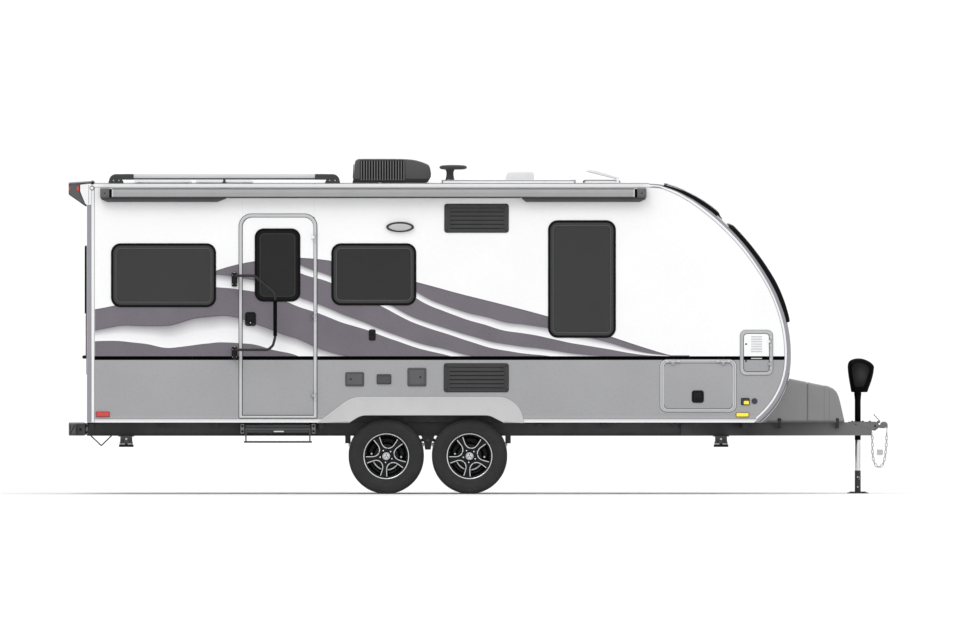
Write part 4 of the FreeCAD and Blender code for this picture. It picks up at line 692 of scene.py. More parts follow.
def skin():
    """Side panels: white above, black line, grey below, and a generic design of flowing bands that
    thins out to the front. It is drawn in the rest frame, so it runs on across the doors."""
    m = Mat("side_skin", Coat_Weight=0.05, Coat_Roughness=0.25, Specular_IOR_Level=0.2)
    x, y, z = m.xyz()
    out = m.math("GREATER_THAN", m.math("ABSOLUTE", y), 1.2145)
    big = m.noise(1.6, 4.0, 0.5)
    white = m.mix(m.rng(big, 0.3, 0.7, 0.0, 1.0), C(250, 250, 251), C(254, 254, 254))
    grey = m.mix(m.rng(big, 0.3, 0.7, 0.0, 1.0), C(163, 163, 165), C(169, 169, 171))
    # Upper edge of the design against X.
    t = m.rng(x, -3.51, 1.93, 0.0, 1.0)
    crv = m.t.nodes.new("ShaderNodeFloatCurve")
    cm = crv.mapping
    cv = cm.curves[0]
    pts = [(0.0, 0.50), (0.08, 0.60), (0.18, 0.78), (0.27, 0.90), (0.36, 0.95), (0.45, 0.90), (0.54, 0.77), (0.63, 0.60), (0.72, 0.43), (0.82, 0.26), (0.91, 0.12), (1.0, 0.0)]
    cv.points[0].location = pts[0]
    cv.points[1].location = pts[-1]
    for p in pts[1:-1]:
        cv.points.new(*p)
    cm.update()
    m.t.links.new(t, crv.inputs["Value"])
    sway = m.math("MULTIPLY", m.math("SINE", m.math("MULTIPLY", x, 2.3)), 0.035)
    top = m.math("ADD", m.math("ADD", m.math("MULTIPLY", crv.outputs[0], 0.93), 1.259), sway)
    hgt = m.math("SUBTRACT", z, 1.259)
    span = m.math("MAXIMUM", m.math("SUBTRACT", top, 1.259), 0.01)
    u = m.math("DIVIDE", hgt, span)
    inside = m.math("MULTIPLY", m.math("MULTIPLY", m.math("LESS_THAN", u, 1.0), m.math("GREATER_THAN", hgt, 0.0)), m.math("MULTIPLY", m.math("GREATER_THAN", t, 0.0), m.math("LESS_THAN", t, 1.0)))
    # Flowing bands: lines of even u, swept forward with x and bent by a slow wave.
    bend = m.math("MULTIPLY", m.math("SINE", m.math("ADD", m.math("MULTIPLY", x, 1.35), m.math("MULTIPLY", u, 2.2))), 0.42)
    wob = m.math("MULTIPLY", m.math("SUBTRACT", m.noise(1.1, 2.0, 0.4), 0.5), 0.7)
    v = m.math("ADD", m.math("ADD", m.math("MULTIPLY", u, 2.1), m.math("MULTIPLY", x, 0.62)), m.math("ADD", bend, wob))
    fr = m.math("FRACT", m.math("ADD", v, 8.30))
    wid = m.math("ADD", 0.30, m.math("MULTIPLY", m.math("SINE", m.math("MULTIPLY", x, 1.7)), 0.10))
    ratio = m.math("DIVIDE", fr, wid)
    band = m.math("LESS_THAN", ratio, 1.0)
    shade = m.ramp(ratio, [(0.0, C(252, 252, 253)), (0.45, C(240, 240, 242)), (1.0, C(150, 147, 153))])
    line = m.math("MULTIPLY", m.math("GREATER_THAN", ratio, 1.0), m.math("LESS_THAN", ratio, 1.05))
    dark = m.mix(m.rng(m.noise(3.0, 3.0, 0.5), 0.3, 0.7, 0.0, 1.0), C(112, 106, 114), C(119, 113, 121))
    art = m.mix(band, dark, shade)
    art = m.mix(line, art, C(98, 94, 101))
    rim = m.math("MULTIPLY", m.math("GREATER_THAN", m.math("SUBTRACT", hgt, span), -0.010), inside)
    art = m.mix(rim, art, C(104, 100, 107))
    up = m.mix(inside, white, art)
    low = m.math("LESS_THAN", z, 1.2435)
    c = m.mix(low, up, grey)
    st = m.math("MULTIPLY", m.math("GREATER_THAN", z, 1.2262), m.math("LESS_THAN", z, 1.2608))
    c = m.mix(st, c, C(1, 1, 1))
    m.put("Specular IOR Level", m.math("SUBTRACT", 0.2, m.math("MULTIPLY", st, 0.18)))
    m.put("Coat Weight", m.math("SUBTRACT", 0.05, m.math("MULTIPLY", st, 0.05)))
    inn = m.mix(m.rng(m.noise(9.0, 4.0, 0.6), 0.3, 0.7, 0.0, 1.0), C(208, 202, 192), C(218, 213, 204))
    c = m.mix(out, inn, c)
    m.put("Base Color", c)
    m.put("Roughness", m.rng(m.noise(40.0, 3.0, 0.6), 0.3, 0.7, 0.24, 0.36))
    m.bump(m.noise(70.0, 2.0, 0.4), 0.006, 0.0008)
    return m.m


M["skin"] = skin()


def skirt():
    """Lower rail: grey like the wall above, then a thin joint and the white foot strip."""
    m = Mat("skirt_rail", Coat_Weight=0.3, Coat_Roughness=0.1)
    x, y, z = m.xyz()
    big = m.noise(1.6, 4.0, 0.5)
    grey = m.mix(m.rng(big, 0.3, 0.7, 0.0, 1.0), C(163, 163, 165), C(169, 169, 171))
    white = m.mix(m.rng(big, 0.3, 0.7, 0.0, 0.3), m.mix(m.rng(z, 0.654, 0.684, 0.0, 1.0), C(250, 250, 251), C(212, 212, 214)), C(240, 240, 242))
    c = m.mix(m.math("GREATER_THAN", z, 0.6845), white, C(126, 126, 128))
    c = m.mix(m.math("GREATER_THAN", z, 0.6895), c, grey)
    m.put("Base Color", c)
    m.put("Roughness", m.rng(m.noise(40.0, 3.0, 0.6), 0.3, 0.7, 0.26, 0.38))
    m.bump(m.noise(70.0, 2.0, 0.4), 0.006, 0.0008)
    return m.m


M["skirt"] = skirt()


def dress(name, *mats):
    """Gives a carried-over CAD node its material."""
    me = NODES[name].data
    for i in range(len(me.materials)):
        me.materials[i] = mats[min(i, len(mats) - 1)]
    if not len(me.materials):
        me.materials.append(mats[0])


# tongue_rails takes the tongue paint, which carries painted light along x
for n_, m_ in (("right_side_wall", "skin"), ("left_side_wall", "skin"), ("roof_panel", "white"), ("rear_wall", "white"),
               ("skirt_rails", "skirt"), ("chassis_rails", "rail"), ("chassis_crossmembers", "cross"), ("tongue_rails", "tongue")):
    dress(n_, M[m_])


# ------------------------------------------------------------------ nose, roof and edge mouldings
def curved_panel(g, ts, ys, holes, outer, inner, m=0, me=1):
    """Curved sheet between two offsets of the nose line, with rectangular openings (t0, t1, y0, y1)."""
    nt, ny = len(ts), len(ys)

    def hole(i, j):
        tm, ym = (ts[i][0] + ts[i + 1][0]) / 2, (ys[j][0] + ys[j + 1][0]) / 2
        return any(a < tm < b and c < ym < d for a, b, c, d in holes)
    vs = []
    for side in (0, 1):
        for t_out, t_in in ts:
            for y, drop in ys:
                p = nose(t_out, outer - drop) if side == 0 else nose(t_in, inner)
                vs.append((p[0], y, p[1]))
    idx = lambda s, i, j: s * nt * ny + i * ny + j
    fs = []
    solid = {(i, j) for i in range(nt - 1) for j in range(ny - 1) if not hole(i, j)}
    for i, j in solid:
        fs.append((idx(0, i, j), idx(0, i + 1, j), idx(0, i + 1, j + 1), idx(0, i, j + 1)))
        fs.append((idx(1, i, j), idx(1, i, j + 1), idx(1, i + 1, j + 1), idx(1, i + 1, j)))
        for di, dj, a, b in ((-1, 0, (i, j), (i, j + 1)), (1, 0, (i + 1, j), (i + 1, j + 1)), (0, -1, (i, j), (i + 1, j)), (0, 1, (i, j + 1), (i + 1, j + 1))):
            if (i + di, j + dj) not in solid:
                fs.append((idx(0, *a), idx(0, *b), idx(1, *b), idx(1, *a)))
    g.add(vs, fs, m)
    # Faces of the side edges take the edge material.
    n0 = len(g.f) - len(fs)
    for q, f in enumerate(fs):
        yy = [vs[i][1] for i in f]
        if all(abs(abs(v_) - 1219) < 7 for v_ in yy):
            g.m[n0 + q] = me


FOOT = nose_at(654.0)
FOOT_IN = nose_at(654.0, -40.0)
ts = sorted(set([round(x, 3) for x in [0, 35.22, 60.29, 93.68, 14.3, 41.8, 45.3, 75.2] + [i * 1.75 for i in range(1, int(FOOT / 1.75))]]))
ts = [t for i, t in enumerate(ts) if i == 0 or t - ts[i - 1] > 0.3 or t in (14.3, 41.8, 45.3, 75.2)]
ts = [(t, t) for t in ts if t < FOOT - 1.0 and t < FOOT_IN - 0.8] + [(FOOT, FOOT_IN)]
ys = [(-1219, 9), (-1216, 2.6), (-1210, 0), (-820, 0), (-400, 0), (0, 0), (400, 0), (820, 0), (1210, 0), (1216, 2.6), (1219, 9)]
g = Geo()
curved_panel(g, ts, ys, [(14.3, 41.8, -820, 820), (45.3, 75.2, -820, 820)], 0.0, -40.0)
make("nose_skin", g, [M["white"], M["edge_grey"]], rep=("nose_panel",), smooth=50)

def between(tb, t):
    """Value at t in a table of (t, value)."""
    if t <= tb[0][0]:
        return tb[0][1]
    for (a, p), (b, q) in zip(tb, tb[1:]):
        if t <= b:
            return p + (q - p) * (t - a) / (b - a)
    return tb[-1][1]


LINE = [(0, -38), (3, -31), (8, -31), (12, -43), (20, -53), (30, -60), (40, -56), (50, -51), (60, -55), (70, -60), (90, -60), (105, -63), (134, -70), (150, -70)]
GREY_IN = [(0, -12), (3, -13), (8, -15), (12, -23), (20, -30), (30, -37), (40, -29), (50, -27), (60, -35), (70, -40), (80, -37), (90, -38), (105, -42), (134, -49), (150, -49)]
GREY_OUT = [(0, -4), (8, -6), (12, -16), (20, -23), (30, -24), (36, -18), (40, -7), (50, -4), (60, -7), (70, -10), (77, -4), (90, -3), (105, -9), (134, -17), (150, -17)]
RIM_IN = [(10, -17), (12, -18), (20, -25), (30, -26), (36, -20), (40, -8), (50, -5), (60, -8), (70, -11), (78, -9)]
RIM_OUT = [(10, 2), (14, -1), (20, -1), (30, 2), (38, 4.5), (78, 4.5)]
RISE = [(10.8, 8), (14, 7), (30, 7), (35, 14), (38, 24), (40.4, 28), (41.4, 26), (42.2, 8), (42.8, 7), (44.3, 8), (44.9, 22), (45.6, 31), (60, 34), (70, 28), (77.2, 24)]


def nose_strip(g_, t0, t1, section, k, n=100, m=0):
    """Strip on the side wall along the nose; section(t) gives a closed loop of (offset from the nose line, height)."""
    rings = []
    for i in range(n + 1):
        t = t0 + (t1 - t0) * i / n
        ring = []
        for o_, h in section(t):
            p = nose(t, o_)
            ring.append((p[0], k * (1219 + h), max(657.0, p[1])))
        rings.append(ring)
    g_.loft(rings, m=m)


def band_section(t):
    a, b = between(LINE, t) + 2.5, between(GREY_IN, t) - 1.0
    w = b - a
    return [(a, 0), (a, 1.2), (a + w * 0.15, 2.6), (a + w * 0.5, 3.2), (b - w * 0.15, 2.6), (b, 1.4), (b, 0)]


def rim_section(t):
    a, b = between(RIM_IN, t), between(RIM_OUT, t)
    return [(a, 0), (a, 3.4), (a + 2, 4.6), (b - 2, 4.6), (b, 3.4), (b, -8), (b - 3, -8), (b - 3, 0)]


def grey_section(t):
    a, b = between(GREY_IN, t), between(GREY_OUT, t)
    w = b - a
    return [(a, 0), (a, 1.0), (a + w * 0.15, 2.6), (a + w * 0.4, 3.6), (a + w * 0.7, 3.2), (b - w * 0.08, 1.8), (b, 0)]


T_END = nose_at(657, -14)
g = Geo()
for k in (-1, 1):
    g.strip([(-3541, 657, -1, 0), (-3541, 2803, -1, 0)], [(-25, 0), (-25, 1.2), (-22, 2.6), (-13, 3.2), (-4, 2.6), (-0.5, 1.4), (-0.5, 0)], 1219, k)
    nose_strip(g, 0.0, T_END, band_section, k)
make("side_band", g, M["trim_white"], smooth=50)
g = Geo()
for k in (-1, 1):
    # thin seal at the band's inner border
    g.strip([(-3541, 657, -1, 0), (-3541, 2803, -1, 0)], [(-28.6, 0), (-28.6, 1.0), (-25.2, 1.0), (-25.2, 0)], 1219, k)
    nose_strip(g, 0.0, T_END, lambda t: [(between(LINE, t) - 1.4, 0), (between(LINE, t) - 1.4, 1.0), (between(LINE, t) + 2.0, 1.0), (between(LINE, t) + 2.0, 0)], k)
    # dark strip outside the grey moulding on the lower nose: painted shade along the nose edge
    nose_strip(g, 100.0, T_END, lambda t: [(between(GREY_OUT, t) + 0.5, 0), (between(GREY_OUT, t) + 0.5, 2.0), (min(-1.0, between(GREY_OUT, t) + 8.5), 2.0), (min(-1.0, between(GREY_OUT, t) + 8.5), 0)], k)
make("band_seals_and_edge_shade", g, M["mid"], smooth=50)
g = Geo()
for k in (-1, 1):
    g.strip([(-3562, 657, -1, 0), (-3562, 2826, -1, 0)], [(-20.5, 0), (-20.5, 1.0), (-16, 2.6), (-6, 3.6), (6, 3.4), (16, 1.8), (20.5, 0)], 1219, k)
    nose_strip(g, 0.0, T_END, grey_section, k)
make("edge_moulding", g, M["edge_grey"], smooth=50)
g = Geo()
for k in (-1, 1):
    # black edging beside both front windows
    nose_strip(g, 10.9, 41.5, rim_section, k, 48)
    nose_strip(g, 44.9, 77.1, rim_section, k, 48)
make("nose_edging", g, M["black_gloss"], smooth=50)

# Screw heads along the grey moulding.
g = Geo()
for k in (-1, 1):
    for z in range(720, 2600, 150):
        g.lathe((-3562, k * 1222.3, z), (0, k, 0), [(0, 0), (4.5, 0), (3.6, 1.6), (0, 1.9)], 12)
    t = 14.0
    while t < FOOT - 4:
        p = nose(t, (between(GREY_IN, t) + between(GREY_OUT, t)) / 2)
        g.lathe((p[0], k * 1222.3, p[1]), (0, k, 0), [(0, 0), (4.5, 0), (3.6, 1.6), (0, 1.9)], 12)
        t += 6.0 if t < 60 else 9.0
make("moulding_screws", g, M["edge_grey"], smooth=40)

# Rounded front lip and seams of the roof, drip rail on both sides.
g = Geo()
for k in (-1, 1):
    g.strip([(-3580, 2806, 0, 1), (1560, 2806, 0, 1)], [(-2, 0), (-3, 3.2), (2, 4.4), (5, 2.0), (5, 0)], 1219, k)
for x in (-2300.0, -900.0, 600.0):
    g.box(x - 15, x + 15, -1195, 1195, 2843, 2844.6)
make("roof_seams", g, M["ring"], bevel=0.6)
g = Geo()
for k in (-1, 1):
    a_, b_ = sorted((k * 1213.0, k * 1220.2))
    g.box(-3583, 1560, a_, b_, 2838.6, 2843.9)
    g.box(-3583, 1560, a_, b_, 2803.2, 2806.2)
make("roof_edge_beads", g, M["mid"], bevel=1.2)
dress("roof_panel", M["white"])


# ------------------------------------------------------------------ windows
def frame_prof(w=30.0, h=10.0):
    return [(0, 0), (0, h * 0.4), (-2.5, h * 0.8), (-7, h), (-w * 0.5, h), (-w * 0.78, h * 0.82), (-w, h * 0.52), (-w, 0)]


BEV, BEVL = Geo(), Geo()


def window(gf, gg, x0, x1, z0, z1, k, gs):
    o = rr(x0 - 22, x1 + 22, z0 - 22, z1 + 22, 88, 9)
    gf.ringsweep(o, frame_prof(24.0), 1219, k)
    BEV.ringsweep(rr(x0 + 0, x1 - 0, z0 + 0, z1 - 0, 67, 9), [(0, 1), (0, 8.4), (-2, 9.0), (-7, 8.6), (-22, 6.4), (-27, 5.0), (-27, 1)], 1219, k)
    BEVL.ringsweep(rr(x0 + 22, x1 - 22, z0 + 22, z1 - 22, 46, 9), [(0, 5), (0, 7.4), (-2, 8.2), (-5, 8.2), (-7, 7.2), (-7, 5)], 1219, k)
    gl = rr(x0 + 26, x1 - 26, z0 + 26, z1 - 26, 45, 9)
    gg.slab(gl, 1198, 1224.5, k, 4.0, 3, crown=1.2)
    # inner seal line on the glass
    gs.ringsweep(rr(x0 + 27, x1 - 27, z0 + 27, z1 - 27, 44, 9), [(0, 0), (0, 0.9), (-1.5, 1.3), (-4, 0.8), (-4, 0)], 1223.6, k)


gf, gg, gs = Geo(), Geo(), Geo()
for k, sets in ((-1, ((-3341, -2423, 1731, 2272), (-1325, -591, 1747, 2272), (658, 1235, 1451, 2483))),
                (1, ((-3241, -2423, 1731, 2272), (-1225, -491, 1747, 2272), (658, 1235, 1651, 2272)))):
    for x0, x1, z0, z1 in sets:
        window(gf, gg, x0, x1, z0, z1, k, gs)


def on_rear(g_, rings_yz, m=0, closed=False, caps=True):
    """Rings of (y, z, height) standing on the rear wall."""
    g_.loft([[(-3584 - h, y, z) for y, z, h in r] for r in rings_yz], closed=closed, caps=caps, m=m)


ro = rr(-450, 450, 1643, 2267, 70, 9)
on_rear(gf, [[(y + ny * d, z + nz * d, h * 2.0) for d, h in frame_prof()] for y, z, ny, nz in ro], closed=True)
rg = rr(-419, 419, 1674, 2236, 45, 9)
rings = []
for d, h in ((0, -3), (0, 11), (-1.2, 13.4), (-4, 14.6)):
    rings.append([(y + ny * d, z + nz * d, h) for y, z, ny, nz in rg])
base = rings[-1]
for f in (0.15, 0.4, 0.8):
    rings.append([(y + (0 - y) * f, z + (1955 - z) * f, 14.6 + 1.4 * (1 - (1 - f) ** 2)) for y, z, _ in base])
on_rear(gg, rings)

# Two curved windows in the nose: outlines are laid out along the arc length.
ARC = [0.0]
for _i in range(3):
    ARC.append(ARC[-1] + RAD[_i] * ANGLE(HEAD[_i + 1] - HEAD[_i]))


def arc_len(t):
    i = 0
    while i < 3 and t > HEAD[i + 1]:
        i += 1
    return ARC[i] + RAD[i] * ANGLE(t - HEAD[i])


def arc_head(s):
    i = 0
    while i < 3 and s > ARC[i + 1]:
        i += 1
    return HEAD[i] + math.degrees((s - ARC[i]) / RAD[i])


def dense(outline, step=45.0):
    """Adds points to the long runs of an outline so that it follows the curve."""
    out = []
    n = len(outline)
    for i in range(n):
        a, b = outline[i], outline[(i + 1) % n]
        out.append(a)
        q = int(math.hypot(b[0] - a[0], b[1] - a[1]) / step)
        for j in range(1, q + 1):
            f = j / (q + 1)
            out.append(tuple(a[c] + (b[c] - a[c]) * f for c in range(4)))
    return out


def rise(s_):
    return between(RISE, arc_head(s_)) / 34.0


def on_nose(g_, rings, closed=False, m=0, caps=True, scaled=False):
    vs = []
    for r in rings:
        ring = []
        for s, y, h in r:
            p = nose(arc_head(s), h * rise(s) if scaled else h)
            ring.append((p[0], y, p[1]))
        vs.append(ring)
    g_.loft(vs, closed=closed, m=m, caps=caps)


def curved_glass(g_, s0, s1, w, r, h0, h1, m=0):
    """Bent pane: a grid between two offsets, clipped to a rounded outline by moving the border points."""
    ns, nyy = 22, 26
    def pt(i, j, h):
        u, v = i / ns, j / nyy
        s, y = s0 + (s1 - s0) * u, -w + 2 * w * v
        ds, dy = min(s - s0, s1 - s), min(y + w, w - y)
        if ds < r and dy < r:
            cs = s0 + r if s - s0 < r else s1 - r
            cy = -w + r if y + w < r else w - r
            a, b = (s - cs), (y - cy)
            q = max(abs(a), abs(b))
            if q > 1e-6:
                f = q / math.hypot(a, b)
                s, y = cs + a * f, cy + b * f
        p = nose(arc_head(s), h * rise(s))
        return (p[0], y, p[1])
    vs = [pt(i, j, h0) for i in range(ns + 1) for j in range(nyy + 1)] + [pt(i, j, h1) for i in range(ns + 1) for j in range(nyy + 1)]
    W_ = nyy + 1
    off = (ns + 1) * W_
    fs = []
    for i in range(ns):
        for j in range(nyy):
            a = i * W_ + j
            fs.append((a, a + 1, a + W_ + 1, a + W_))
            fs.append((off + a, off + a + W_, off + a + W_ + 1, off + a + 1))
    for i in range(ns):
        a, b = i * W_, (i + 1) * W_
        fs.append((a, b, off + b, off + a))
        a, b = a + nyy, b + nyy
        fs.append((b, a, off + a, off + b))
    for j in range(nyy):
        fs.append((j + 1, j, off + j, off + j + 1))
        a = ns * W_ + j
        fs.append((a, a + 1, off + a + 1, off + a))
    g_.add(vs, fs, m)


for t0, t1 in ((10.8, 42.8), (44.3, 77.2)):
    s0, s1 = arc_len(t0), arc_len(t1)
    outline = dense(rr(s0, s1, -899, 899, 95, 9))
    prof = [(0, 1), (0, 20), (-3, 30), (-10, 34), (-22, 34), (-34, 32), (-43, 28), (-43, 1)]
    on_nose(gf, [[(s + ns_ * d, y + ny_ * d, h) for d, h in prof] for s, y, ns_, ny_ in outline], closed=True, scaled=True)
    curved_glass(gg, s0 + 42, s1 - 42, 857, 55, 10, 29.5)
make("window_rings", gf, M["black_gloss"], rep=("window_frames",), smooth=50)
make("window_panes", gg, M["glass"], rep=("window_glass",), smooth=40)
make("window_seals", gs, M["rubber"], smooth=50)
make("window_bevels", BEV, M["bevel"], smooth=50)
make("window_bevel_lines", BEVL, M["bevel_line"], smooth=50)

# Inner frames behind the panes, seen through the tint.
g = Geo()
for k, sets in ((-1, ((-3341, -2423, 1731, 2272), (-1325, -591, 1747, 2272), (658, 1235, 1451, 2483))),
                (1, ((-3241, -2423, 1731, 2272), (-1225, -491, 1747, 2272), (658, 1235, 1651, 2272)))):
    for x0, x1, z0, z1 in sets:
        g.ringsweep(rr(x0 - 18, x1 + 18, z0 - 18, z1 + 18, 80, 6), [(0, 0), (0, -9), (-6, -12), (-30, -12), (-34, -8), (-34, 0)], 1178.5, k)
make("inner_frames", g, M["inner"], smooth=50)


# ------------------------------------------------------------------ entry door
def pair_ring(g_, outer, inner, prof, y, k, m=0):
    """Frame between two outlines of equal count; prof gives (fraction from outer to inner, height)."""
    rings = []
    for a, b in zip(outer, inner):
        rings.append([(a[0] + (b[0] - a[0]) * f, k * (y + h), a[1] + (b[1] - a[1]) * f) for f, h in prof])
    g_.loft(rings, closed=True, m=m)


g = Geo()
pair_ring(g, rr(-2190, -1481, 695, 2562, (114, 114, 9, 9), 10), rr(-2164, -1508, 716, 2534, (88, 88, 6, 6), 10),
          [(0, 0.2), (0, 5), (0.1, 8.6), (0.3, 10.6), (0.5, 11), (0.72, 10.4), (0.9, 8), (1, 5), (1, 0.2)], 1219, -1)
make("door_ring", g, M["ring"], rep=("entry_door_frame",), smooth=50)
g = Geo()
pair_ring(g, rr(-2195.5, -1473.5, 690.5, 2566.5, (119, 119, 13, 13), 10), rr(-2189.6, -1481.4, 694.6, 2562.4, (115, 115, 10, 10), 10), [(0, 0), (0, 1.6), (1, 3.0), (1, 0)], 1219, -1)
pair_ring(g, rr(-2164.4, -1507.6, 715.6, 2534.4, (88, 88, 6, 6), 10), rr(-2159, -1507.3, 720, 2531, (85, 85, 5, 5), 10), [(0, 0.2), (0, 4), (0.3, 5.4), (0.8, 4), (1, 0.4), (1, 0.1)], 1219, -1)
pair_ring(g, rr(-2159.2, -1507.4, 719.8, 2531.2, (85, 85, 5, 5), 10), rr(-2153, -1507, 724, 2528, (83, 83, 4, 4), 10), [(0, 0.1), (0, 0.4), (1, 0.4), (1, -39), (0.87, -39), (0.8, 0.1)], 1219, -1)
make("door_seal", g, M["line"], smooth=50)

g = Geo()
DO = rr(-2145, -1512, 729, 2523, (88, 88, 6, 6), 10)
DI = rr(-2029, -1649, 1779, 2411, 60, 10)
pair_ring(g, DO, DI, [(0, -38), (0, 0.5), (0.01, 2.2), (0.03, 3), (0.97, 3), (1, 2.6), (1, -38)], 1219, -1)
pair_ring(g, rr(-2157.4, -1510.5, 722.4, 2529.6, (87, 87, 5, 5), 10), rr(-2140, -1517, 734, 2518, (83, 83, 4, 4), 10), [(0, 0.9), (0, 2.2), (0.15, 3.1), (1, 3.2), (1, 0.9)], 1219, -1)
make("door_leaf", g, M["skin"], body="entry_door", rep=("entry_door",), smooth=30)
g = Geo()
dw = rr(-2048, -1630, 1760, 2430, 82, 10)
g.ringsweep(dw, [(0, 0), (0, 5), (-2.5, 8.5), (-8, 10.5), (-18, 10.5), (-24, 8.4), (-24, 0)], 1222, -1)
make("door_window_ring", g, M["black_gloss"], body="entry_door", smooth=50)
g = Geo()
g.ringsweep(rr(-2025, -1653, 1783, 2407, 60, 10), [(0, 1), (0, 8.0), (-5, 8.2), (-20, 6.2), (-25, 4.6), (-25, 1)], 1222, -1)
make("door_window_bevel", g, plastic("door_window_bevel", C(24, 24, 25), 0.36, 0.04, 0.05, spec=0.08), body="entry_door", smooth=50)
g = Geo()
g.ringsweep(rr(-2002, -1676, 1806, 2384, 44, 10), [(0, 4), (0, 6.0), (-2, 6.8), (-5, 6.8), (-7, 6.0), (-7, 4)], 1222, -1)
make("door_window_line", g, M["bevel"], body="entry_door", smooth=50)
g = Geo()
g.slab(rr(-2028, -1650, 1780, 2410, 58, 10), 1211, 1225.8, -1, 3.0, 3, crown=1.0)
make("door_window_pane", g, M["glass_dark"], body="entry_door", rep=("entry_door_window",), smooth=40)
g = Geo()
g.ringsweep(rr(-2044, -1634, 1764, 2426, 70, 8), [(0, 0), (0, -8), (-5, -11), (-34, -11), (-38, -7), (-38, 0)], 1180.8, -1)
g.slab(rr(-2120, -1540, 800, 1500, 30, 6), -1180.5, -1174, 1, 3, 2)
make("door_inner_trim", g, M["inner"], body="entry_door", smooth=50)

# Latch: bezel, recess and paddle with a lock barrel.
g = Geo()
lo_ = rr(-2137, -2036, 1537, 1665, 24, 8)
g.ringsweep(lo_, [(0, 0), (0, 6), (-2.5, 9.2), (-7, 10), (-12, 9), (-15, 4), (-15, 0)], 1222, -1)
g.slab(rr(-2121, -2052, 1553, 1649, 12, 8), 1222, 1224.5, -1, 1.0, 2)
g.slab(rr(-2117, -2056, 1584, 1645, 10, 8), 1224, 1243, -1, 5.0, 4, crown=2.5)
for i in range(5):
    z = 1596 + i * 9.5
    g.slab(rr(-2110, -2063, z, z + 4, 1.9, 3), 1243, 1245.6, -1, 1.0, 2)
g.lathe((-2086, -1222, 1567), (0, -1, 0), [(0, 0), (11, 0), (11, 4), (9.5, 6), (6, 6), (5.5, 4.5), (0, 4.5)], 24)
make("door_latch", g, M["black"], body="entry_door", smooth=40)
g = Geo()
g.lathe((-2086, -1226, 1567), (0, -1, 0), [(0, 0), (5.2, 0), (5.2, 1.6), (4.4, 2.2), (0, 2.2)], 20)
g.box(-2087, -2085, -1228.8, -1228.0, 1563.5, 1570.5)
make("door_lock_barrel", g, M["chrome"], body="entry_door", smooth=40)

# Hinges: leaf knuckle with strap, frame knuckles on blocks.
gd, gb_ = Geo(), Geo()
for z in (900.0, 1626.0, 2350.0):
    gd.lathe((-1500, -1241, z - 18), (0, 0, 1), [(0, 0), (5.2, 0), (6, 0.8), (6, 35.2), (5.2, 36), (0, 36)], 24, m=1)
    gd.prism([(-1528, -1238.5), (-1528, -1220.4), (-1518, -1220.4), (-1518, -1238.5), (-1503, -1238.8), (-1503, -1241.5), (-1526, -1241.5), (-1528, -1240)], "XY", z - 12, z + 12)
    gd.lathe((-1523, -1241.5, z), (0, -1, 0), [(0, 0), (3.6, 0), (3.0, 1.2), (0, 1.6)], 14)
    for q0, q1 in ((-39, -21), (21, 39)):
        gb_.lathe((-1500, -1241, z + q0), (0, 0, 1), [(0, 0), (5.2, 0), (6, 0.8), (6, 17.2), (5.2, 18), (0, 18)], 24)
        gb_.prism([(-1500, -1244), (-1484, -1244), (-1484, -1229.5), (-1500, -1229.5)], "XY", z + q0, z + q1)
make("door_hinge_leaf", gd, [M["skin"], M["ring"]], body="entry_door", bevel=1.0)
make("door_hinge_frame", gb_, M["ring"], bevel=1.0)


# ------------------------------------------------------------------ grab handle
gx, gy = -2233.0, -1309.0
go = gy - 70.0
route = [(gx + 6, gy - 2, 1998), (-2175, gy - 39, 1998), (-2110, go, 1998), (-2050, go, 1998), (-1862, go, 1839), (-1861, go, 1760)]
low = [(-1861, go, 1460), (-1861, go, 1435), (-1880, go, 1360), (-1926, go, 1320), (-2110, go, 1320), (-2175, gy - 39, 1320), (gx + 6, gy - 2, 1320)]
g = Geo()
g.tube(fillet(route, 70, 8), 12.2, 20)
g.tube(fillet(low, 60, 8), 12.2, 20)
make("handle_tube", g, paint("handle_enamel", C(44, 44, 45), 0.36, 0.08, 0.05, coat=0.06, scale=20.0, spec=0.2), body="grab_handle", rep=("grab_handle",), smooth=60)
g = Geo()
prof = [(0, 0), (13, 0), (17, 2.5), (17.9, 7)]
z = 12.0
while z < 315:
    prof += [(17.9, z), (17.9, z + 5.5), (16.6, z + 6.6), (16.6, z + 8.4)]
    z += 9.5
prof += [(17.9, 322), (17, 326.5), (13, 329), (0, 329)]
g.lathe((-1861, go, 1446), (0, 0, 1), prof, 28)
make("handle_grip", g, plastic("grip_rubber", C(10, 10, 10), 0.7, 0.2, 0.06, spec=0.05), body="grab_handle", smooth=40)
g = Geo()
for z0, z1 in ((1898.0, 2024.0), (1232.0, 1345.0)):
    g.lathe((gx, gy, z0 + 13), (0, 0, 1), [(5.2, 0), (11, 0), (13, 2), (13, z1 - z0 - 28), (11, z1 - z0 - 26), (5.2, z1 - z0 - 26)], 28, closed=True)
make("handle_barrels", g, M["black"], body="grab_handle", smooth=40)
g = Geo()
for z0, z1 in ((1898.0, 2024.0), (1232.0, 1345.0)):
    g.slab(rr(gx - 26, gx + 26, z0, z1, 8, 5), 1219, 1228, -1, 3.0, 3)
    for za, zb in ((z0, z0 + 11), (z1 - 11, z1)):
        arc = [(gx + 14 * math.cos(ANGLE(a)), gy + 9 * math.sin(ANGLE(a))) for a in range(180, 361, 15)]
        g.prism([(gx + 14, -1226), (gx - 14, -1226)] + arc, "XY", za, zb)
    g.prism([(-1227.5, z0 + 11), (-1262, z0 + 11), (-1240, z0 + 34), (-1227.5, z0 + 52)], "YZ", gx - 4, gx + 4)
    g.prism([(-1227.5, z1 - 11), (-1262, z1 - 11), (-1240, z1 - 34), (-1227.5, z1 - 52)], "YZ", gx - 4, gx + 4)
make("handle_brackets", g, M["black"], rep=("grab_handle_brackets",), bevel=1.4)
g = Geo()
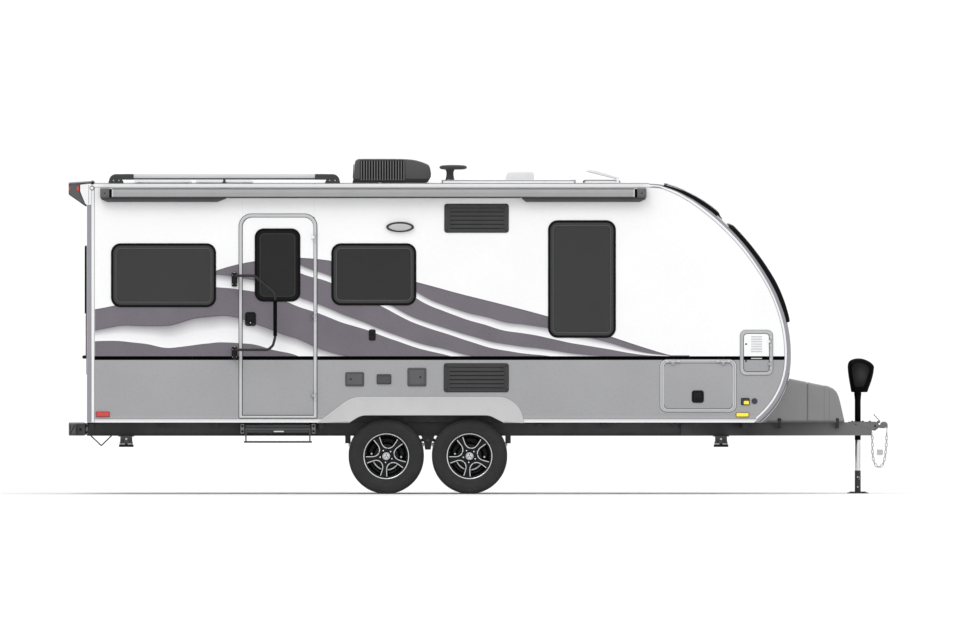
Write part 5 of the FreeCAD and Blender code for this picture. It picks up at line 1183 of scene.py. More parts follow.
for z0, z1 in ((1898.0, 2024.0), (1232.0, 1345.0)):
    g.lathe((gx, gy, z0 - 1), (0, 0, 1), [(0, 0), (7, 0), (7, 1.0), (5, 1.0), (5, 12), (0, 12)], 18)
    g.lathe((gx, gy, z1 - 11), (0, 0, 1), [(0, 0), (5, 0), (5, 11), (7.5, 11), (6.5, 14), (0, 15)], 18)
    for q in (z0 + 22, z1 - 22):
        for dx in (-16, 16):
            g.lathe((gx + dx, -1228, q), (0, -1, 0), [(0, 0), (5, 0), (4, 2.2), (0, 2.6)], 14)
make("handle_pins", g, M["zinc"], smooth=40)


# ------------------------------------------------------------------ awning
def yz_ring(pts, x):
    return [(x, y, z) for y, z in pts]


case = [(-1219.6, 2796), (-1300, 2796), (-1311, 2793.5), (-1318.5, 2788), (-1321.6, 2780), (-1322, 2752), (-1320.5, 2750.5), (-1320.5, 2748.5), (-1322, 2747), (-1321.6, 2728), (-1318.5, 2721),
        (-1312, 2717), (-1300, 2715), (-1246, 2715), (-1240, 2712), (-1219.6, 2712)]
g = Geo()
g.loft([yz_ring(case, x) for x in (-3353.0, -1000.0, 1427.0)])
make("awning_case", g, M["awning"], rep=("awning_cassette",), smooth=30)
cap = [(-1219.5, 2798), (-1302, 2798), (-1314, 2795), (-1321.5, 2788), (-1325, 2779), (-1325, 2729), (-1321.5, 2719), (-1314, 2712.5), (-1302, 2710), (-1219.5, 2708)]
stub = [(-1219.5, 2792), (-1300, 2792), (-1314, 2788), (-1320, 2778), (-1317, 2728), (-1312, 2719), (-1300, 2714), (-1219.5, 2712)]


def shrink(p, q):
    return (-1262 + (p[0] + 1262) * q, 2753 + (p[1] - 2753) * q)


g, gn, gh = Geo(), Geo(), Geo()
for edge, step in ((-3462.0, 1), (1536.0, -1)):
    g.loft([yz_ring([shrink(p, 0.92) for p in cap], edge), yz_ring([shrink(p, 0.97) for p in cap], edge + step * 3), yz_ring(cap, edge + step * 9),
            yz_ring(cap, edge + step * 78), yz_ring([shrink(p, 0.97) for p in cap], edge + step * 83)])
    gn.loft([yz_ring(stub, edge + step * 82), yz_ring(stub, edge + step * 109)])
    # light bands at both case ends: painted highlight on the ends of the case
    gh.loft([yz_ring([shrink(p, 1.012) for p in case], edge + step * 107), yz_ring([shrink(p, 1.012) for p in case], edge + step * 118)])
make("awning_caps", g, M["mid"], smooth=35)
make("awning_necks", gn, M["jack_black"], bevel=1.5)
make("awning_end_highlight_bands", gh, M["ring"], bevel=1.0)
g = Geo()
for x0, x1, s_ in ((-3460.0, -2303.0, 1), (395.0, 1534.0, -1)):
    if s_ > 0:
        pts = [(x0 + 6, 2705), (x1, 2705), (x1 - 88, 2671.5), (x0 + 62, 2671.5), (x0 + 6, 2698)]
    else:
        pts = [(x0, 2705), (x1 - 4, 2705), (x1 - 4, 2698), (x1 - 60, 2671.5), (x0 + 38, 2671.5)]
    g.prism(pts, "XZ", -1300, -1219.6)
    g.box(min(x0, x1) + 120, max(x0, x1) - 120, -1302, -1298, 2684, 2692)
make("awning_arms", g, plastic("awning_arm", C(80, 80, 81), 0.5, 0.16, 0.06), bevel=2.0, segs=3)
g = Geo()
# dark joint along the top of the case; the dark strips below the case and over the arms are painted shadow under the
# case
g.box(-3352, 1426, -1322.4, -1300, 2793.4, 2797.4)
g.box(-3352, 1426, -1320.0, -1240, 2711.0, 2715.4)
for x0, x1 in ((-3448.0, -2306.0), (398.0, 1524.0)):
    g.box(x0, x1, -1312, -1240, 2704.6, 2711.4)
make("awning_joint_and_shadow_strips", g, M["line"], bevel=0.6)
g = Geo()
for x in (-3421.0, 1495.0):
    g.lathe((x, -1325.0, 2753), (0, -1, 0), [(0, -1.5), (7, -1.5), (7, 0), (5, 0.8), (0, 0.8)], 24)
    for dz in (-30, 30):
        g.lathe((x + 24, -1319.0, 2753 + dz * 0.8), (0, -1, 0), [(0, -10), (4, -10), (4, 6.2), (3, 7), (0, 7)], 12)
make("awning_fixings", g, M["black"], smooth=40)
g = Geo()
g.prism([(-1240, 2711), (-1252, 2711), (-1253, 2706.5), (-1250, 2705.6), (-1243, 2705.6), (-1240, 2707)], "YZ", -2290, 385)
make("awning_lead_bar", g, M["alu"], bevel=0.8)


# ------------------------------------------------------------------ roof
g = Geo()
shape = [(-1147, 2853), (-466, 2853), (-446, 2876), (-435, 2902), (-434, 2930), (-438, 2956), (-444, 2980), (-453, 3001), (-470, 3013), (-512, 3030), (-565, 3046), (-606, 3053.5), (-660, 3058),
         (-720, 3060.5), (-1092, 3060.5), (-1112, 3055), (-1125, 3044), (-1131, 3028), (-1134, 3005)]
rings = []
for y, q, dz in ((-334, 0.955, -9), (-331, 0.972, -5.0), (-324, 0.988, -2), (-312, 0.997, -0.6), (-296, 1.0, 0), (0, 1.0, 0), (296, 1.0, 0), (312, 0.997, -0.6), (324, 0.988, -2), (331, 0.972, -5.0), (334, 0.955, -9)):
    rings.append([(-790 + (x + 790) * q, y, 2853 + (z - 2853) * (q if z > 2854 else 1)) for x, z in shape])
g.loft(rings)
make("ac_shroud", g, M["ac"], rep=("air_conditioner",), smooth=55)
g = Geo()
g.prism([(-1149, 2850), (-462, 2850), (-455, 2862), (-462, 2882), (-1141, 2882), (-1149, 2866)], "XZ", -336, 336)
make("ac_base", g, plastic("cooler_base", C(46, 46, 47), 0.55, 0.16, 0.07), bevel=3.0, segs=3)
g = Geo()
for k in (-1, 1):
    for i in range(17):
        x = -1078 + i * 24.4
        g.prism([(x, 2868), (x + 11, 2868), (x + 11, 3045), (x, 3045)], "XZ", k * 325, k * 339.5)
g2 = Geo()
for k in (-1, 1):
    g2.box(-1086, -670, k * 330, k * 335.2, 2862, 3049)
make("ac_fins", g, M["ac_fin"], bevel=1.2)
make("ac_grille_back", g2, M["black_gloss"], bevel=1.0)
g = Geo()
for i in range(9):
    y = -200 + i * 50
    g.prism([(-1151, 2880), (-1144, 2880), (-1136, 3010), (-1144, 3010)], "XZ", y - 14, y + 14)
for i in range(7):
    y = -210 + i * 70
    g.prism([(-1060, 3057), (-760, 3057), (-760, 3060.9), (-1060, 3060.9)], "XZ", y - 10, y + 10)
make("ac_rear_slots", g, M["black"], bevel=1.5)
g = Geo()
g.prism([(-1152, 2843.4), (-480, 2843.4), (-472, 2847), (-480, 2854), (-1152, 2854)], "XZ", -340, 340)
make("ac_gasket", g, M["rubber"], bevel=2.0)

g = Geo()
g.lathe((-261, -420, 2843.5), (0, 0, 1), [(0, 0), (60, 0), (60, 3), (54, 7), (47, 16), (41, 32), (36, 52), (33, 76), (33, 96), (36, 108), (42, 118), (42, 124), (0, 124)], 36)
rings = []
for q, z in ((0.25, 2964.2), (0.62, 2964.6), (0.86, 2968), (0.97, 2975), (1.0, 2984), (0.985, 2992), (0.93, 2999), (0.8, 3004), (0.5, 3007.2), (0.15, 3008)):
    rings.append([(-231.5 + 126 * q * math.cos(a), -420 + 119 * q * math.sin(a), z) for a in [2 * math.pi * i / 40 for i in range(40)]])
g.loft(rings)
make("antenna", g, M["dark"], rep=(), smooth=45)
g = Geo()
for dx in (-48, 48):
    for dy in (-20, 20):
        g.lathe((-261 + dx * 0.9, -420 + dy, 2846.4), (0, 0, 1), [(0, 0), (4, 0), (4, 2), (0, 3)], 10)
make("antenna_screws", g, M["zinc"], smooth=40)

# Low white panel, dome and roof vent with its lid.
def flat_slab(g_, x0, x1, y0, y1, z0, z1, r=20, e=4, n=3, m=0, crown=0.0):
    rings = []
    o = rr(x0, x1, y0, y1, r, 6)
    lay = [(0, z0)] + [(e * (1 - math.cos(math.pi / 2 * i / n)), z1 - e + e * math.sin(math.pi / 2 * i / n)) for i in range(n + 1)]
    for d, z in lay:
        rings.append([(x - nx * d, y - ny * d, z) for x, y, nx, ny in o])
    if crown:
        cx, cy = (x0 + x1) / 2, (y0 + y1) / 2
        b = rings[-1]
        for f in (0.15, 0.4, 0.8):
            rings.append([(p[0] + (cx - p[0]) * f, p[1] + (cy - p[1]) * f, z1 + crown * (1 - (1 - f) ** 2)) for p in b])
    g_.loft(rings, m=m)


g = Geo()
flat_slab(g, -337, 889, -560, 560, 2843.4, 2866, 30, 5)
for i in range(6):
    y = -420 + i * 168
    flat_slab(g, -290, 842, y - 52, y + 52, 2867, 2870.6, 14, 2.5)
make("low_roof_panel", g, M["trim_white"], smooth=40)
g = Geo()
o, i_ = rr(-338.5, 890.5, -561.5, 561.5, 31, 6), rr(-330, 882, -553, 553, 24, 6)
g.loft([[(a[0], a[1], 2861.5), (a[0], a[1], 2866.4), (a[0] * 0.8 + b[0] * 0.2, a[1] * 0.8 + b[1] * 0.2, 2868), (b[0], b[1], 2866.8), (b[0], b[1], 2861.5)] for a, b in zip(o, i_)], closed=True)
for x in (-331.0, 883.0):
    for y in (-556.0, 556.0):
        g.lathe((x, y, 2843.6), (0, 0, 1), [(0, 0), (5, 0), (5, 20), (0, 20)], 12)
make("low_panel_edging", g, M["outline"], smooth=40)
g = Geo()
hump = [(242, 2870), (508, 2870), (507, 2912), (504, 2932), (496, 2942), (484, 2945.6), (440, 2946.4), (310, 2946.4), (284, 2945), (270, 2939), (262, 2926), (252, 2896)]
rings = []
for y, q in ((-158, 0.86), (-154, 0.93), (-146, 0.975), (-134, 1.0), (0, 1.0), (134, 1.0), (146, 0.975), (154, 0.93), (158, 0.86)):
    rings.append([(375 + (x - 375) * (0.5 + 0.5 * q), y, 2870 + (z - 2870) * q) for x, z in hump])
g.loft(rings)
for i in range(9):
    x = 268 + i * 26.5
    for k in (-1, 1):
        g.prism([(x, 2876), (x + 8, 2876), (x + 8, 2926), (x, 2926)], "XZ", k * 150, k * 158.6)
make("roof_dome", g, M["smoke"], smooth=45)
g = Geo()
flat_slab(g, 955, 1298, -192 + 6, 192 - 6, 2843.4, 2847, 18, 2)
o_, i_ = rr(969, 1284, -178, 178, 22, 6), rr(991, 1262, -156, 156, 12, 6)
g.loft([[(a[0], a[1], 2846), (a[0], a[1], 2864), (a[0] + (b[0] - a[0]) * 0.2, a[1] + (b[1] - a[1]) * 0.2, 2868), (a[0] + (b[0] - a[0]) * 0.8, a[1] + (b[1] - a[1]) * 0.8, 2868), (b[0], b[1], 2864), (b[0], b[1], 2846)] for a, b in zip(o_, i_)], closed=True)
for k in (-1, 1):
    g.prism([(1262, 2844), (1288, 2844), (1288, 2886), (1283, 2892), (1275, 2894), (1267, 2892), (1262, 2886)], "XZ", k * 187, k * 194.6)
for x in (972, 1128, 1282):
    for y in (-183, 183):
        if not (x == 1282):
            g.lathe((x, y, 2846), (0, 0, 1), [(0, 0), (4, 0), (3.4, 2.4), (0, 3)], 10)
make("vent_collar", g, M["trim_white"], rep=("roof_fittings",), smooth=40)
g = Geo()
for x0, x1 in ((955, 972), (1282, 1298)):
    for y in (-189, 175):
        flat_slab(g, x0, x1, y, y + 14, 2846, 2862, 4, 2)
o, i_ = rr(967.5, 1285.5, -179.5, 179.5, 23, 6), rr(972, 1281, -175, 175, 19, 6)
g.loft([[(a[0], a[1], 2863.4), (a[0], a[1], 2867.4), (b[0], b[1], 2869), (b[0], b[1], 2863.4)] for a, b in zip(o, i_)], closed=True)
make("vent_collar_seal", g, M["line"], smooth=40)
g = Geo()
g.box(992, 1261, -155, 155, 2845, 2847)
for i in range(10):
    a = 2 * math.pi * i / 10
    cx, cy = 1126, 0
    p = [(cx + 30 * math.cos(a), cy + 30 * math.sin(a)), (cx + 118 * math.cos(a - 0.12), cy + 118 * math.sin(a - 0.12)), (cx + 118 * math.cos(a + 0.26), cy + 118 * math.sin(a + 0.26)), (cx + 30 * math.cos(a + 0.5), cy + 30 * math.sin(a + 0.5))]
    g.prism(p, "XY", 2848, 2851)
g.lathe((1126, 0, 2847), (0, 0, 1), [(0, 0), (32, 0), (32, 8), (26, 12), (0, 12)], 28)
make("vent_fan", g, M["black"], smooth=40)


def lid_pt(x, z):
    a = ANGLE(14.0)
    dx, dz = x - 1275.0, z - 2884.0
    return (1275.0 + dx * math.cos(a) + dz * math.sin(a), 2884.0 - dx * math.sin(a) + dz * math.cos(a))


g = Geo()
prof_l = [(977, 2874.5), (1282, 2874.5), (1282, 2889), (1262, 2893), (1220, 2896), (1160, 2898), (1060, 2899), (1020, 2898), (994, 2894), (980, 2886)]
rings = []
for y, q in ((-185, 0.90), (-181, 0.955), (-172, 0.99), (-160, 1.0), (0, 1.0), (160, 1.0), (172, 0.99), (181, 0.955), (185, 0.90)):
    r_ = []
    for x, z in prof_l:
        xx = 1130 + (x - 1130) * (0.55 + 0.45 * q)
        zz = 2874.5 + (z - 2874.5) * q
        lx, lz = lid_pt(xx, zz)
        r_.append((lx, y, lz))
    rings.append(r_)
g.loft(rings)
for y in (-120, -60, 0, 60, 120):
    a, b, c, d = lid_pt(1040, 2897.4), lid_pt(1180, 2896.0), lid_pt(1180, 2899.6), lid_pt(1040, 2900.8)
    g.prism([a, b, c, d], "XZ", y - 7, y + 7)
g.lathe((1275, -192.5, 2884), (0, 1, 0), [(0, 0), (4.4, 0), (5, 0.8), (5, 384.2), (4.4, 385), (0, 385)], 20)
make("vent_lid", g, M["smoke"], body="roof_vent_lid", rep=("roof_vent_lid",), smooth=40)
g = Geo()
# rim bead of the lid
rim = []
for x, y, nx, ny in rr(977.5, 1281.5, -184.5, 184.5, 20, 6):
    a, b = lid_pt(x + nx * 1.2, 2873.4), lid_pt(x + nx * 1.2, 2877.6)
    c, d = lid_pt(x - nx * 3.0, 2877.6), lid_pt(x - nx * 3.0, 2873.4)
    rim.append([(a[0], y + ny * 1.2, a[1]), (b[0], y + ny * 1.2, b[1]), (c[0], y - ny * 3.0, c[1]), (d[0], y - ny * 3.0, d[1])])
g.loft(rim, closed=True)
make("vent_lid_rim", g, M["outline"], body="roof_vent_lid", smooth=40)

# Rails on feet, and two solar panels between them.
g, gu, gb_ = Geo(), Geo(), Geo()
for k in (-1, 1):
    y = k * 960.0
    sec = [(y - 16, 2889), (y - 18, 2893), (y - 18, 2910), (y - 14, 2915.5), (y - 6, 2917.5), (y + 6, 2917.5), (y + 14, 2915.5), (y + 18, 2910), (y + 18, 2893), (y + 16, 2889)]
    g.loft([yz_ring(sec, x) for x in (-3175.0, -2300.0, -1480.0)])
    gu.loft([yz_ring([(y - 15, 2875), (y - 17, 2877.5), (y - 17, 2889.2), (y + 17, 2889.2), (y + 17, 2877.5), (y + 15, 2875)], x) for x in (-3172.0, -1483.0)])
    for X, q in ((-3384.0, 1), (-1268.0, -1)):
        def fx(d):
            return X + q * d
        foot = [(fx(0), 2843.6), (fx(2), 2858), (fx(8), 2880), (fx(20), 2898), (fx(38), 2911), (fx(60), 2917.4), (fx(228), 2918.6), (fx(229), 2874), (fx(119), 2874), (fx(128), 2860), (fx(133), 2843.6)]
        gb_.prism(foot, "XZ", y - 25, y + 25)
        dome = [(fx(14), 2844), (fx(16), 2862), (fx(30), 2884), (fx(54), 2897), (fx(82), 2893), (fx(104), 2876), (fx(116), 2858), (fx(120), 2844)]
        gb_.prism(dome, "XZ", y - 27.5, y + 27.5)
        gb_.prism([(fx(-2), 2843.6), (fx(-1), 2852), (fx(135), 2852), (fx(137), 2843.6)], "XZ", y - 28.5, y + 28.5)
    gb_.prism([(-2352, 2843.6), (-2298, 2843.6), (-2300, 2849), (-2314, 2856), (-2316, 2880), (-2336, 2880), (-2338, 2856), (-2350, 2849)], "XZ", y - 22, y + 22)
make("rack_bars", g, M["ring"], rep=("roof_rack",), smooth=40)
make("rack_channels", gu, M["line"], smooth=40)
make("rack_feet", gb_, M["dark"], bevel=3.0, segs=3, angle=28)
g = Geo()
for k in (-1, 1):
    y = k * 960.0
    for x in (-3340, -3290, -1312, -1362):
        g.lathe((x, y + k * 27.5, 2868), (0, k, 0), [(0, 0), (6, 0), (5, 1.4), (0, 1.9)], 12)
make("rack_bolts", g, M["zinc"], smooth=40)

g, gc = Geo(), Geo()
for x0, x1 in ((-3150.0, -2620.0), (-2590.0, -2060.0)):
    a, b = rr(x0, x1, -760, 760, 3, 2), rr(x0 + 13, x1 - 13, -747, 747, 2, 2)
    g.loft([[(p[0], p[1], 2849.5), (p[0], p[1], 2861.6), (q[0], q[1], 2861.6), (q[0], q[1], 2849.5)] for p, q in zip(a, b)], closed=True)
    gc.box(x0 + 12, x1 - 12, -748, 748, 2852, 2859)
    for y in (-700, 700):
        for xx in (x0 + 60, x1 - 60):
            g.box(xx - 20, xx + 20, y - 12, y + 12, 2843.5, 2850)
make("solar_frames", g, M["trim_white"], rep=("solar_panels",), bevel=0.8)
make("solar_cells", gc, M["solar"], bevel=0.4)


# ------------------------------------------------------------------ vents and hatches
def louvre_vent(gf_, gb2, x0, x1, z0, z1, k=-1):
    o = rr(x0, x1, z0, z1, 22, 7)
    gf_.ringsweep(o, [(0, 0), (0, 7), (-3, 11), (-8, 13), (-30, 13), (-34, 11), (-36, 4), (-36, 0)], 1219, k)
    gb2.slab(rr(x0 + 30, x1 - 30, z0 + 30, z1 - 30, 8, 4), 1219.2, 1222, k, 0.8, 2)
    n = 5
    h = (z1 - z0 - 72) / n
    for i in range(n):
        z = z0 + 36 + i * h
        # slat: leans outwards at the bottom
        pts = [(k * 1222, z + h * 0.98), (k * 1226, z + h * 0.98), (k * 1234, z + h * 0.22), (k * 1234, z + h * 0.12), (k * 1231, z + h * 0.12), (k * 1222, z + h * 0.82)]
        gf_.prism(pts, "YZ", x0 + 52, x1 - 40)
    gf_.box(x0 + 34, x0 + 53, k * 1220, k * 1231, z0 + 34, z1 - 34)
    gf_.box(x1 - 41, x1 - 34, k * 1220, k * 1231, z0 + 34, z1 - 34)
    for z in (z0 + 44, z1 - 44):
        gf_.lathe((x1 - 62, k * 1230, z), (0, k, 0), [(0, 0), (9, 0), (9, 4.4), (7.6, 5.6), (0, 5.6)], 20)
        gf_.box(x1 - 76, x1 - 48, k * 1233.6, k * 1236, z - 2, z + 2)


gf, gb2 = Geo(), Geo()
louvre_vent(gf, gb2, -311.0, 274.5, 2393.0, 2653.0)
louvre_vent(gf, gb2, -316.0, 274.5, 934.0, 1194.0)
make("fridge_vents", gf, M["dark"], rep=("service_hatches",), bevel=0.9)
make("fridge_vent_backs", gb2, M["black"], bevel=0.5)


def hatch(gf_, gl_, x0, x1, z0, z1, k, lock=None, r=11, h=13):
    gf_.ringsweep(rr(x0, x1, z0, z1, r, 6), [(0, 0), (0, h * 0.55), (-2, h * 0.85), (-5, h), (-9, h), (-11, h * 0.72), (-11, 0)], 1219, k)
    gf_.slab(rr(x0 + 12.5, x1 - 12.5, z0 + 12.5, z1 - 12.5, max(3, r - 8), 5), 1219.2, 1219 + h * 0.86, k, 2.0, 3, crown=0.8)
    if lock:
        gl_.lathe((lock[0], k * (1219 + h * 0.86), lock[1]), (0, k, 0), [(0, 0), (8, 0), (8, 2), (6.5, 3.4), (0, 3.4)], 20)


g = Geo()
for x0, x1, z0, z1, k, r in ((-1216, -1050, 988, 1112, -1, 11), (-647, -480, 988, 1151, -1, 11), (-929, -801, 1007, 1093, -1, 9), (-311, 274.5, 2393, 2653, -1, 22), (-316, 274.5, 934, 1194, -1, 22),
                             (-2340, -2190, 900, 1050, 1, 11), (500, 850, 900, 1240, 1, 11), (-3240, -3090, 900, 1050, 1, 14), (-300, -120, 1500, 1680, 1, 20), (960, 1100, 1010, 1130, 1, 14)):
    g.ringsweep(rr(x0 - 3, x1 + 3, z0 - 3, z1 + 3, r + 3, 6), [(0, 0), (0, 1.6), (-1.5, 2.6), (-5, 2.6), (-5, 0)], 1219.1, k)
make("hatch_seals", g, M["rubber"], smooth=40)
gf, gl = Geo(), Geo()
hatch(gf, gl, -1216, -1050, 988, 1112, -1, (-1168, 1050))
hatch(gf, gl, -647, -480, 988, 1151, -1, (-532, 1070))
hatch(gf, gl, -2340, -2190, 900, 1050, 1, None)
hatch(gf, gl, 500, 850, 900, 1240, 1, (540, 1070))
make("hatches", gf, M["hatch"], smooth=40)
make("hatch_locks", gl, M["black"], smooth=40)
g = Geo()
# socket cover with hinged flap
g.slab(rr(-929, -801, 1007, 1093, 9, 5), 1219.2, 1232, -1, 3.0, 3)
g.slab(rr(-921, -809, 1013, 1078, 6, 5), 1231, 1236.6, -1, 2.0, 3, crown=0.6)
g.lathe((-915, -1233, 1085), (1, 0, 0), [(0, 0), (3.2, 0), (3.2, 100), (0, 100)], 14)
for i in range(4):
    g.box(-880 + i * 12, -876 + i * 12, -1237.4, -1235, 1018, 1024)
make("socket_cover", g, plastic("socket_plastic", C(80, 80, 82), 0.45, 0.15, 0.06), bevel=0.6)
g = Geo()
# door keeper: base, two jaws
g.slab(rr(-1004, -941, 1404, 1507, 16, 6), 1219.2, 1226, -1, 3.0, 3)
g.slab(rr(-998, -947, 1412, 1448, 9, 5), 1225, 1234, -1, 3.0, 3, crown=0.6)
g.slab(rr(-998, -947, 1463, 1499, 9, 5), 1225, 1234, -1, 3.0, 3, crown=0.6)
g.box(-980, -965, -1232, -1225, 1446, 1466)
make("door_keeper", g, M["black"], smooth=40)
# Left-side fittings: water inlet, power hatch, heater grille, stove vent, exhaust.
g = Geo()
g.lathe((-2265, 1229.5, 975), (0, 1, 0), [(13.2, -12), (13.2, 14), (15, 15), (22, 15), (24, 13), (24, 0), (24, -12)], 36, closed=True)
for i in range(6):
    g.lathe((-2265, 1243.5 - i * 3, 975), (0, 1, 0), [(11.8, 0), (13.2, -0.8), (13.2, 0.8)], 24, closed=True)
g.lathe((-3165, 1252.5, 975), (0, 1, 0), [(0, 0), (52, 0), (52, 1), (46, 2.4), (0, 2.4)], 36)
make("left_metal_fittings", g, M["zinc"], smooth=40)
g = Geo()
g.slab(rr(-3240, -3090, 900, 1050, 14, 6), 1219.2, 1249, 1, 6.0, 3, crown=2.0)
g.box(-3190, -3140, 1238, 1254.8, 1036, 1046)
g.slab(rr(-300, -120, 1500, 1680, 20, 6), 1219.2, 1232, 1, 5.0, 3)
for i in range(6):
    z = 1520 + i * 25
    g.prism([(1231, z + 18), (1235, z + 18), (1244, z + 3), (1240, z), (1231, z + 12)], "YZ", -286, -134)
g.slab(rr(960, 1100, 1010, 1130, 14, 6), 1219.2, 1231, 1, 5.0, 3)
g.prism([(1230, 1022), (1314, 1022), (1314, 1060), (1300, 1096), (1268, 1118), (1230, 1120)], "YZ", 974, 1086)
make("left_plastic_fittings", g, M["mid"], bevel=2.0)
g = Geo()
for i in range(9):
    z = 930 + i * 32
    g.prism([(1230, z + 22), (1232.6, z + 22), (1237, z + 3), (1234, z), (1230, z + 12)], "YZ", 580, 820)
for i in range(3):
    g.box(984, 1076, 1313, 1315, 1028 + i * 10, 1033 + i * 10)
make("left_grilles", g, M["dark"], bevel=0.8)


# ------------------------------------------------------------------ luggage and service doors
gf, gt = Geo(), Geo()
for k in (-1, 1):
    pair_ring(gf, rr(1662.6, 2358, 751, 1229, 60, 10), rr(1696, 2325, 776, 1201, 39, 10),
              [(0, 0.2), (0, 4.5), (0.1, 7.8), (0.24, 9.4), (0.38, 8.6), (0.5, 8.2), (0.62, 8.6), (0.76, 9.4), (0.9, 7.8), (1, 4.5), (1, -39), (0.93, -39), (0.93, 0.2)], 1219, k)
    for x in (1780.0, 2240.0):
        for q in (x - 62, x + 34):
            gf.lathe((q, k * 1236, 1211), (1, 0, 0), [(0, 0), (5.2, 0), (6, 0.8), (6, 27.2), (5.2, 28), (0, 28)], 22)
            gf.box(q, q + 28, k * 1228.4, k * 1239, 1209, 1221.5)
pair_ring(gf, rr(2395, 2692, 1089, 1498, 50, 10), rr(2424, 2663, 1117, 1469, 35, 10),
          [(0, 0.2), (0, 4.5), (0.12, 7.8), (0.26, 9.4), (0.4, 8.6), (0.52, 8.2), (0.64, 8.6), (0.78, 9.4), (0.92, 7.8), (1, 4.5), (1, 0.2)], 1219, -1, m=1)
for z in (1190.0, 1396.0):
    for q in (z - 50, z + 26):
        gf.lathe((2670, -1236, q), (0, 0, 1), [(0, 0), (5.2, 0), (6, 0.8), (6, 23.2), (5.2, 24), (0, 24)], 22)
        gf.box(2667, 2684, -1239, -1228.4, q, q + 24)
make("locker_rings", gf, [M["ring"], M["ring2"]], rep=("locker_frames",), smooth=45)
gm = Geo()
for k in (-1, 1):
    pair_ring(gm, rr(1671, 2349.6, 759.4, 1220.6, 52, 10), rr(1687.5, 2333.5, 767.7, 1209.5, 47, 10), [(0, 7.6), (0, 8.9), (1, 8.9), (1, 7.6)], 1219, k)
make("locker_ring_inlays", gm, M["grey"], smooth=45)
g = Geo()
for k in (-1, 1):
    pair_ring(g, rr(1658.6, 2362, 747, 1233, 64, 10), rr(1663.4, 2357.2, 751.8, 1228.2, 59, 10), [(0, 0), (0, 1.4), (1, 2.2), (1, 0)], 1219, k)
    pair_ring(g, rr(1696.5, 2324.5, 776.5, 1200.5, 38.5, 10), rr(1700, 2321, 780, 1197, 35, 10), [(0, -6), (0, 2), (1, 2), (1, -6)], 1219, k)
pair_ring(g, rr(2391, 2696, 1085, 1502, 54, 10), rr(2395.8, 2691.2, 1089.8, 1497.2, 49, 10), [(0, 0), (0, 1.4), (1, 2.2), (1, 0)], 1219, -1)
pair_ring(g, rr(2424.4, 2662.6, 1117.4, 1468.6, 34.6, 10), rr(2428, 2659, 1121, 1465, 31, 10), [(0, 0.2), (0, 3), (1, 3), (1, 0.2)], 1219, -1)
make("locker_seals", g, M["mid"], smooth=45)
for side, k in (("right", -1), ("left", 1)):
    g = Geo()
    g.slab(rr(1701, 2320, 781, 1196, 34, 8), 1189, 1224, k, 3.0, 3)
    make(side + "_luggage_leaf", g, M["skin"], body=side + "_luggage_door", rep=(side + "_luggage_door",), smooth=35)
    g = Geo()
    g.ringsweep(rr(1951, 2062, 834, 948, 24, 7), [(0, 0), (0, 5), (-2.5, 8.4), (-7, 9.4), (-12, 8.6), (-15, 3.6), (-15, 0)], 1224, k)
    g.slab(rr(1966, 2047, 849, 933, 10, 6), 1224, 1226, k, 1.0, 2)
    g.slab(rr(1972, 2041, 872, 930, 9, 6), 1226, 1234.6, k, 3.5, 3, crown=0.6)
    g.lathe((2006.5, k * 1225, 861), (0, k, 0), [(0, 0), (9, 0), (9, 4), (7.6, 5.6), (0, 5.6)], 20)
    make(side + "_luggage_latch", g, M["black"], body=side + "_luggage_door", smooth=40)
    g = Geo()
    for x in (1780.0, 2240.0):
        g.lathe((x - 24, k * 1236, 1211), (1, 0, 0), [(0, 0), (5.2, 0), (6, 0.8), (6, 47.2), (5.2, 48), (0, 48)], 22, m=1)
        g.prism([(k * 1233.5, 1206), (k * 1237, 1206.4), (k * 1237, 1186), (k * 1235.5, 1183), (k * 1223.5, 1183), (k * 1223.5, 1190), (k * 1233.5, 1190)], "YZ", x - 15, x + 15)
        for q in (-8, 8):
            g.lathe((x + q, k * 1237, 1193), (0, k, 0), [(0, 0), (3.6, 0), (3, 1.2), (0, 1.6)], 14)
    make(side + "_luggage_hinges", g, [M["grey"], M["ring"]], body=side + "_luggage_door", bevel=0.9)
g = Geo()
g.slab(rr(2429, 2658, 1122, 1464, 30, 8), 1219.9, 1230, -1, 3.0, 3)
make("service_leaf", g, M["skin"], body="front_service_door", rep=("front_service_door",), smooth=35)
g = Geo()
for i in range(8):
    z = 1279 + i * 22.5 - (0 if i else 28)
    if i == 0:
        z = 1236
    g.prism([(-1229.6, z + 9), (-1231.2, z + 9), (-1234.6, z + 1.5), (-1233.6, z - 0.5), (-1229.6, z - 0.5)], "YZ", 2494, 2594)
make("service_louvres", g, M["ring"], body="front_service_door", bevel=0.5)
g = Geo()
for z in (1372, 1217):
    g.lathe((2448, -1229.5, z), (0, -1, 0), [(0, 0), (8.5, 0), (8.5, 2.6), (7, 4), (0, 4)], 20)
make("service_locks", g, M["black"], body="front_service_door", smooth=40)
g = Geo()
for z in (1190.0, 1396.0):
    g.lathe((2670, -1236, z - 18), (0, 0, 1), [(0, 0), (5.2, 0), (6, 0.8), (6, 35.2), (5.2, 36), (0, 36)], 22, m=1)
    g.prism([(2645, -1237), (2665.4, -1237), (2665.4, -1233.5), (2654, -1233.5), (2654, -1229.5), (2645, -1229.5)], "XY", z - 11, z + 11)
make("service_hinges", g, [M["skin"], M["ring2"]], body="front_service_door", bevel=0.8)


# ------------------------------------------------------------------ lamps
def lamp(gb3, gl3, x0, x1, z0, z1, k, h=18):
    gb3.slab(rr(x0, x1, z0, z1, 6, 4), 1219.2, 1225, k, 2.0, 2)
    gl3.slab(rr(x0 + 4, x1 - 4, z0 + 4, z1 - 4, 6, 5), 1224, 1219 + h - 1, k, 4.0, 3, crown=0.8)


